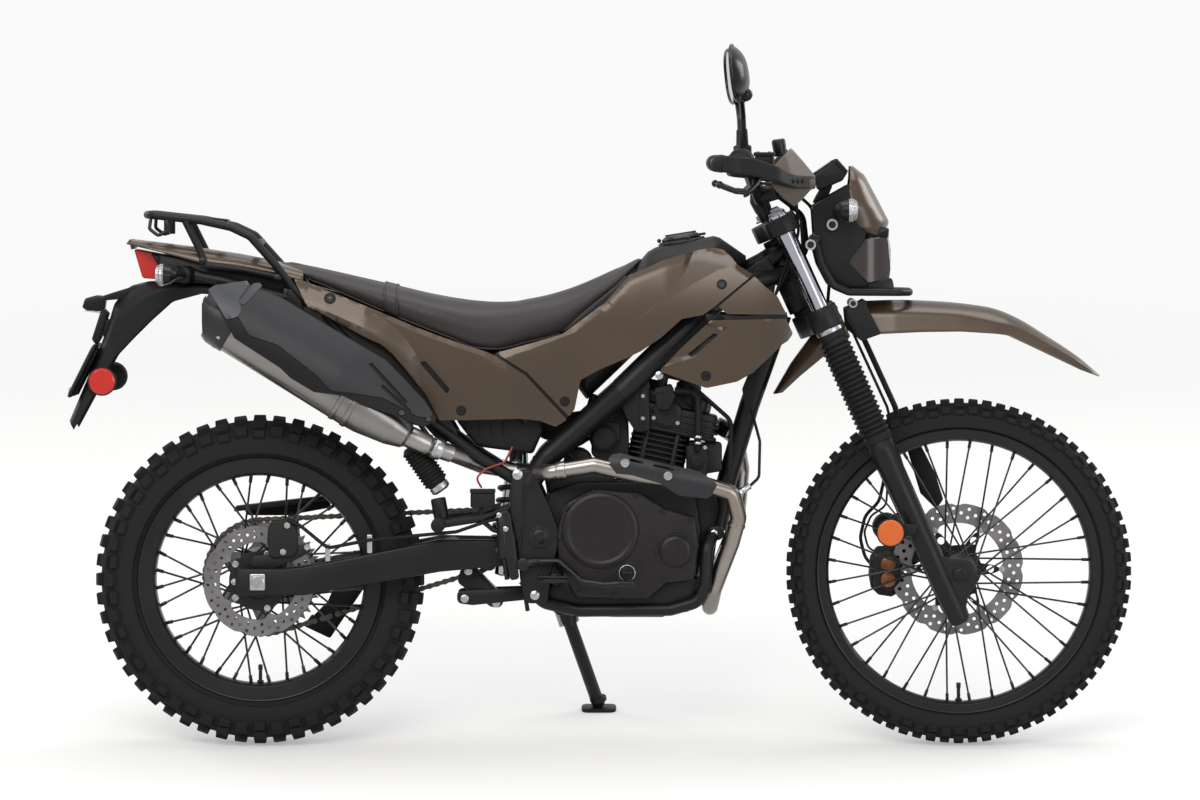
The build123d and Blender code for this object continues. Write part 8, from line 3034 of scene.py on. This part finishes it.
@dataclass
class Tail(Assembly):
    """The bronze tail cowl, carrier, rear fender, plate bracket and lamps."""

    body: Body = Body.FRAME

    def build(self) -> None:
        """Makes cowl, rack, fender, bracket and lamps."""
        self.cowl()
        self.rack()
        self.fender()
        self.bracket()
        self.lamps()
        self.reflectors()

    def cowl(self) -> None:
        """Moulds the thin bronze tail cowl under the rack."""
        crest = ((-944, 997), (-821, 982), (-784, 976), (-730, 968), (-660, 954), (-600, 938))
        edge = ((-944, 988), (-872, 971), (-801, 951), (-730, 944), (-600, 916))
        half = ((-944, 62), (-900, 84), (-800, 96), (-600, 104))

        def skin(along: float, across: float) -> Sequence[float]:
            """Gives a point of the cowl's outer face."""
            x = -944 + 344 * along
            t = 2 * across - 1
            high, low, wide = height_on(crest, x), height_on(edge, x), height_on(half, x)
            return (x - 6 * abs(t) ** 3 * (1 - along),
                    wide * math.sin(t * math.pi / 2) if abs(t) < 1 else math.copysign(wide, t),
                    high - (high - low) * abs(t) ** 3.2)

        sheet = blank(50, 26, skin)
        face_up(sheet, lambda normal: normal.z)
        mould(sheet, 3)
        lip = side_plate([(-945, 996, 2), (-941, 997, 1), (-935, 978, 3), (-940, 976, 3)], -60, 60, 1.2)
        self.finish([sheet, lip], "tail_cowl", BRONZE_PAINT, "body_plastic")

    def rack(self) -> None:
        """Bends the carrier's tubes, its cross tubes, plate and strap hooks."""
        top = [(-908, 0, 1045), (-908, 58, 1045), (-900, 82, 1045), (-801, 92, 1034), (-742, 96, 1021),
               (-704, 100, 1003), (-655, 104, 948), (-620, 104, 902), (-592, 106, 872)]
        mirror_top = [(x, -y, z) for x, y, z in top[:0:-1]]
        parts = [pipe(mirror_top + top, 8, 26, 4)]
        for side in (-1, 1):
            parts.append(pipe([(-832, side * 90, 1034), (-804, side * 92, 978), (-794, side * 94, 950)], 7.5, 20, 4))
            parts.append(pipe([(-802, side * 96, 948), (-720, side * 100, 938), (-640, side * 102, 922)], 7.5, 20, 4))
        for x, z in ((-860, 1040), (-760, 1026)):
            parts.append(cross_bar(7, x, 92, z, 0.5, 24))
        parts.append(cross_bar(7, -690, 100, 990, 0.5, 24))
        parts.append(place(plate([(-10, -40, 4), (118, -36, 4), (118, 36, 4), (-10, 40, 4)], 0, 3, 1),
                           basis((0.125, 0, 1), (1, 0, 0), (-868, 0, 1047))))
        self.finish(parts, "carrier_tubes", POWDER_COAT, "black_metal", ("luggage_rack",))
        hooks = []
        for side in (-1, 1):
            hooks.append(pipe([(-900, side * 84, 1036), (-902, side * 98, 1018), (-884, side * 100, 1004),
                               (-868, side * 96, 1014)], 3.6, 8, 3))
            hooks.append(rod(6, (-868, side * 88, 1006), (-868, side * 88, 1036), 1, 20))
        self.finish(hooks, "strap_hooks", BLACK_OXIDE, "black_metal")
        seats = both_sides(108, (-797, 955), (-650, 922), (-600, 880))
        self.finish(bolts(seats, 7, 4, "flange"), "carrier_bolts", BLACK_OXIDE, "black_metal")

    def fender(self) -> None:
        """Moulds the rear fender, a ridged blade with side cheeks."""
        crest = ((0.0, -620, 898), (0.14, -720, 906), (0.3, -830, 912), (0.42, -908, 911), (0.52, -944, 902),
                 (0.62, -975, 870), (0.72, -990, 820), (0.84, -1016, 752), (1.0, -1063, 640))
        edge = ((0.0, -620, 876), (0.14, -720, 884), (0.3, -800, 890), (0.42, -866, 872), (0.52, -908, 834),
                (0.62, -944, 798), (0.72, -972, 768), (0.84, -1004, 712), (1.0, -1053, 622))
        half = ((0.0, 84), (0.3, 84), (0.5, 74), (0.72, 62), (1.0, 70))

        def skin(along: float, across: float) -> Sequence[float]:
            """Gives a point of the fender's outer face."""
            t = 2 * across - 1
            wide = height_on(half, along)
            top_x, top_z = (height_on([(k[0], k[i]) for k in crest], along) for i in (1, 2))
            low_x, low_z = (height_on([(k[0], k[i]) for k in edge], along) for i in (1, 2))
            part = max(0.0, abs(t) - 0.4) / 0.6
            ridge = 3.0 * max(0.0, 1 - abs(t) / 0.16)
            return (top_x + (low_x - top_x) * part ** 1.6, math.copysign(wide * min(1.0, abs(t) / 0.72), t),
                    top_z + (low_z - top_z) * part ** 1.6 + ridge)

        sheet = blank(70, 40, skin)
        face_up(sheet, lambda normal: normal.z - 0.6 * normal.x)
        mould(sheet, 3, 1, 28)
        self.finish(sheet, "rear_mudguard", GRAINED_PLASTIC, "black_plastic", ("rear_fender",))
        filler = side_plate([(-886, 968, 4), (-800, 956, 10), (-700, 946, 10), (-610, 926, 6), (-560, 874, 6),
                             (-640, 874, 10), (-720, 900, 10), (-800, 908, 10), (-884, 914, 4)], -68, 68, 4)
        self.finish(filler, "tail_undertray", BLACK_ABS, "black_plastic")
        hugger = side_plate([(-886, 912, 4), (-935, 905, 6), (-996, 886, 4), (-996, 876, 4), (-950, 880, 10),
                             (-900, 890, 8)], -50, 50, 3)
        self.finish(hugger, "lamp_shelf", GRAINED_PLASTIC, "black_plastic")

    def bracket(self) -> None:
        """Moulds the plate bracket with its blank plate and the lower flap."""
        arm = side_plate([(-1000, 862, 4), (-988, 850, 4), (-1004, 800, 4), (-1012, 788, 4), (-1020, 800, 6)], -36, 36,
                         3)
        box = side_plate([(-1000, 840, 4), (-976, 836, 4), (-976, 800, 4), (-998, 804, 4)], -32, 32, 3)
        self.finish([arm, box], "plate_arm", GRAINED_PLASTIC, "black_plastic")
        way = Vector((-0.893, 0, 0.45))
        seat = basis(way, (0, 1, 0), (-1040, 0, 738))
        back = place(plate(oblong(-90, -60, 90, 56, 10), -6, 0, 2), seat)
        ribs = [place(plate(oblong(x - 2, -50, x + 2, 50, 1), -12, -5, 1), seat) for x in (-50, 0, 50)]
        self.finish([back, *ribs], "plate_backing", GRAINED_PLASTIC, "black_plastic")
        blank_plate = place(plate(oblong(-84, -54, 84, 50, 6), 0, 1.6, 0.6), seat)
        self.finish(blank_plate, "blank_number_plate", CAST_ALUMINIUM, "steel")
        seats = [(seat @ Vector((x, 42, 2)), way) for x in (-60, 60)]
        self.finish(bolts(seats, 5, 2.5, "hex"), "plate_screws", ZINC_PLATE, "steel")

    def lamps(self) -> None:
        """Moulds the red lamp, the licence lamp and the signals."""
        lens = side_plate([(-936, 978, 4), (-884, 968, 6), (-888, 918, 8), (-919, 920, 8)], -46, 46, 6, 3)
        self.finish(lens, "tail_lamp_lens", RED_LENS, "red_lens", ("rear_lamps",))
        base = side_plate([(-904, 972, 4), (-872, 965, 4), (-872, 912, 4), (-890, 914, 4), (-886, 942, 6)], -52, 52, 3)
        self.finish(base, "tail_lamp_base", BLACK_ABS, "black_plastic")
        hood = side_plate([(-992, 884, 6), (-1012, 886, 8), (-1034, 880, 8), (-1040, 862, 4), (-1030, 856, 4),
                           (-996, 854, 6)], -22, 22, 4, 3)
        self.finish(hood, "licence_lamp_hood", BLACK_ABS, "black_plastic")
        glass = side_plate([(-1036, 860, 2), (-1002, 852, 2), (-1000, 850, 2), (-1034, 854, 2)], -17, 17, 1.2)
        self.finish(glass, "licence_lamp_lens", CLEAR_LENS, "lens")
        body = lathe([(0, -24, 0), (8, -23, 4), (17, -12, 6), (21, 2, 2), (21, 3, 0), (0, 3, 0)], 40)
        cap = lathe([(0, 3, 0), (21.6, 3, 0.5), (21.6, 10, 4), (16, 18, 6), (0, 20, 0)], 40)
        seat = basis((-1, 0, 0), at=(-868, 152, 928)) @ Matrix.Diagonal((1.0, 1.25, 1.0, 1.0))
        place(body, seat)
        place(cap, seat)
        stalk = pipe([(-828, 84, 927), (-836, 108, 927), (-852, 138, 928)], 8.5, 8, 5, radii=(2.2, 1.1, 1.1))
        ribs = [rod(11, (-832, y, 927), (-833, y + 2.4, 927), 0.7, 24) for y in (96, 103, 110)]
        self.finish(mirrored(join([body, stalk, *ribs])), "rear_signal_bodies", BLACK_ABS, "black_plastic")
        self.finish(mirrored(cap), "rear_signal_lenses", CLEAR_LENS, "lens")
        self.finish([ball(7, (-877, s * 152, 928), (1.3, 1, 1)) for s in (-1, 1)], "rear_signal_bulbs", HARD_CHROME,
                    "fork_metal")

    def reflectors(self) -> None:
        """Sets the red side reflectors and the rear strip."""
        red, cups = [], []
        for side, x, z in ((-1, -997, 718), (1, -985, 724)):
            seat = outward_seat(side, x, 78, z)
            red.append(place(lathe([(0, 0, 0), (26, 0, 0), (26, 4, 1.5), (22, 6, 1), (0, 6.6, 0)], 56), seat))
            cups.append(place(lathe([(0, -8, 0), (24, -8, 2), (28.5, -2, 2), (28.5, 3.4, 1), (26.1, 3.4, 0.4),
                                     (26, 0, 0), (0, 0, 0)], 56), seat))
            cups.append(rod(7, (x, side * 56, z), (x, side * 76, z), 1, 20))
        strip = side_plate([(-1001, 836, 2), (-996, 835, 2), (-998, 806, 2), (-1003, 807, 2)], -22, 22, 1)
        red.append(strip)
        self.finish(red, "red_reflectors", RED_LENS, "red_lens")
        self.finish(cups, "red_reflector_cups", GRAINED_PLASTIC, "black_plastic")


# ---- floor, light and camera ------------------------------------------------------------------


@dataclass
class Studio:
    """The pale floor, the soft lamps and the camera beside the bike."""

    floor_size: float = 120.0
    lit_r: float = 2.2
    fade_r: float = 4.6
    white: str = "#fdfdfd"
    white_level: float = 0.97
    gloss_level: float = 0.72
    fill_level: float = 0.42
    veil: float = 0.35
    eye: Point = (48.6, -15000.0, 1153.0)
    target: Point = (-18.6, 0.0, 679.0)
    focal_mm: float = 228.0
    sensor_mm: float = 36.0
    sight_m: float = 60.0
    lit_point: Point = (0.0, 0.0, 0.6)

    def build(self) -> None:
        """Sets up floor, lamps, world and camera."""
        self.floor()
        self.lamps()
        self.world()
        self.camera()

    def floor(self) -> None:
        """Lays one wide sheet under the bike."""
        deselect()
        bpy.ops.mesh.primitive_grid_add(x_subdivisions=8, y_subdivisions=8, size=self.floor_size)
        floor = bpy.context.object
        floor.name = "studio_floor"
        floor.data.materials.append(self.floor_paint())

    def level(self, tree: bpy.types.NodeTree) -> bpy.types.NodeSocket:
        """Gives the white's strength: full to camera and glass, less off metal, least as fill."""
        rays = add_node(tree, "ShaderNodeLightPath")
        strength = self.fill_level
        for kind, value in (("Is Glossy Ray", self.gloss_level), ("Is Transmission Ray", self.white_level),
                            ("Is Camera Ray", self.white_level)):
            strength = add_node(tree, "ShaderNodeMapRange", inputs={
                "Value": rays.outputs[kind], "To Min": strength, "To Max": value}).outputs["Result"]
        return strength

    def floor_paint(self) -> bpy.types.Material:
        """Pale matt paint with faint cloudiness round the bike, fading into plain white."""
        material = bpy.data.materials.new("pale_matt_floor")
        material.use_nodes = True
        tree = material.node_tree
        shader = tree.nodes["Principled BSDF"]
        shader.inputs["Roughness"].default_value = 0.85
        shader.inputs["Specular IOR Level"].default_value = 0.2
        coordinate = add_node(tree, "ShaderNodeTexCoord").outputs["Object"]
        cloud = add_node(tree, "ShaderNodeTexNoise", inputs={"Vector": coordinate, "Scale": 0.8, "Detail": 3.0})
        ramp = add_node(tree, "ShaderNodeValToRGB", inputs={"Fac": cloud.outputs["Fac"]})
        ramp.color_ramp.elements[0].color = srgb("#ebebea")
        ramp.color_ramp.elements[1].color = srgb("#f0f0ef")
        tree.links.new(ramp.outputs["Color"], shader.inputs["Base Color"])
        reach = add_node(tree, "ShaderNodeVectorMath", {"operation": "LENGTH"}, {0: coordinate})
        fade = add_node(tree, "ShaderNodeMapRange", {"interpolation_type": "SMOOTHSTEP"}, {
            "Value": reach.outputs["Value"], "From Min": self.lit_r, "From Max": self.fade_r,
            "To Min": self.veil})
        white = add_node(tree, "ShaderNodeEmission", inputs={
            "Color": srgb(self.white), "Strength": self.level(tree)})
        mixed = add_node(tree, "ShaderNodeMixShader", inputs={
            0: fade.outputs["Result"], 1: shader.outputs["BSDF"], 2: white.outputs["Emission"]})
        tree.links.new(mixed.outputs["Shader"], tree.nodes["Material Output"].inputs["Surface"])
        return material

    def lamp(self, name: str, spot: Point, size: tuple[float, float], watts: float, colour: str) -> None:
        """Hangs one soft rectangular lamp that faces the bike's middle."""
        light = bpy.data.lights.new(name, "AREA")
        light.shape = "RECTANGLE"
        light.size, light.size_y = size
        light.energy = watts
        light.color = srgb(colour)[:3]
        piece = bpy.data.objects.new(name, light)
        bpy.context.scene.collection.objects.link(piece)
        piece.matrix_world = basis(Vector(spot) - Vector(self.lit_point), at=spot)

    def lamps(self) -> None:
        """Sets a broad key from above the camera, a fill and two rims."""
        self.lamp("key_softbox", (-1.7, -4.3, 4.6), (4.8, 2.6), 225, "#fffaf4")
        self.lamp("fill_softbox", (3.8, -4.4, 2.2), (2.6, 3.0), 80, "#f4f7ff")
        self.lamp("top_softbox", (0.2, 0.6, 4.4), (4.6, 2.4), 115, "#ffffff")
        self.lamp("rear_rim", (-4.2, 2.4, 2.6), (2.0, 2.6), 65, "#ffffff")
        self.lamp("front_rim", (4.4, 2.2, 2.4), (2.0, 2.6), 80, "#ffffff")

    def world(self) -> None:
        """Fills the shadows evenly, and shows white to the camera, metal and glass."""
        world = bpy.data.worlds.new("studio_air")
        bpy.context.scene.world = world
        world.use_nodes = True
        tree = world.node_tree
        tree.nodes.clear()
        air = add_node(tree, "ShaderNodeBackground", inputs={
            "Color": srgb(self.white), "Strength": self.level(tree)})
        add_node(tree, "ShaderNodeOutputWorld", inputs={"Surface": air.outputs["Background"]})

    def camera(self) -> None:
        """Stands the camera level with the bike's own frame, leaning with it."""
        data = bpy.data.cameras.new("side_camera")
        data.lens = self.focal_mm
        data.sensor_width = self.sensor_mm
        data.clip_end = self.sight_m
        piece = bpy.data.objects.new("side_camera", data)
        bpy.context.scene.collection.objects.link(piece)
        eye, target = Vector(self.eye), Vector(self.target)
        back = (eye - target).normalized()
        right = Vector((0, 0, 1)).cross(back).normalized()
        up = back.cross(right)
        stand = Matrix((
            (right.x, up.x, back.x, eye.x * MM), (right.y, up.y, back.y, eye.y * MM),
            (right.z, up.z, back.z, eye.z * MM), (0, 0, 0, 1)))
        piece.matrix_world = PARKED @ stand
        bpy.context.scene.camera = piece


def plain_light() -> None:
    """Keeps the colours as written."""
    bpy.context.scene.view_settings.view_transform = "Standard"


# ---- making -----------------------------------------------------------------------------------

ASSEMBLIES: tuple[Assembly, ...] = (
    FRONT_WHEEL, REAR_WHEEL, FRONT_DISC, REAR_DISC, FinalDrive(), Bodywork(), Tank(), Seat(),
    Fork(), Cockpit(), Headlight(), Exhaust(), Tail(), Chassis(), Engine(), Stand(),
)


def main() -> None:
    """Builds the studio and every sub-assembly in order."""
    logging.basicConfig(level=logging.INFO, format="%(message)s")
    plain_light()
    Studio().build()
    for assembly in ASSEMBLIES:
        assembly.build()
        LOG.info("%s: %s", type(assembly).__name__, ", ".join(assembly.made))


if __name__ == "__main__":
    main()
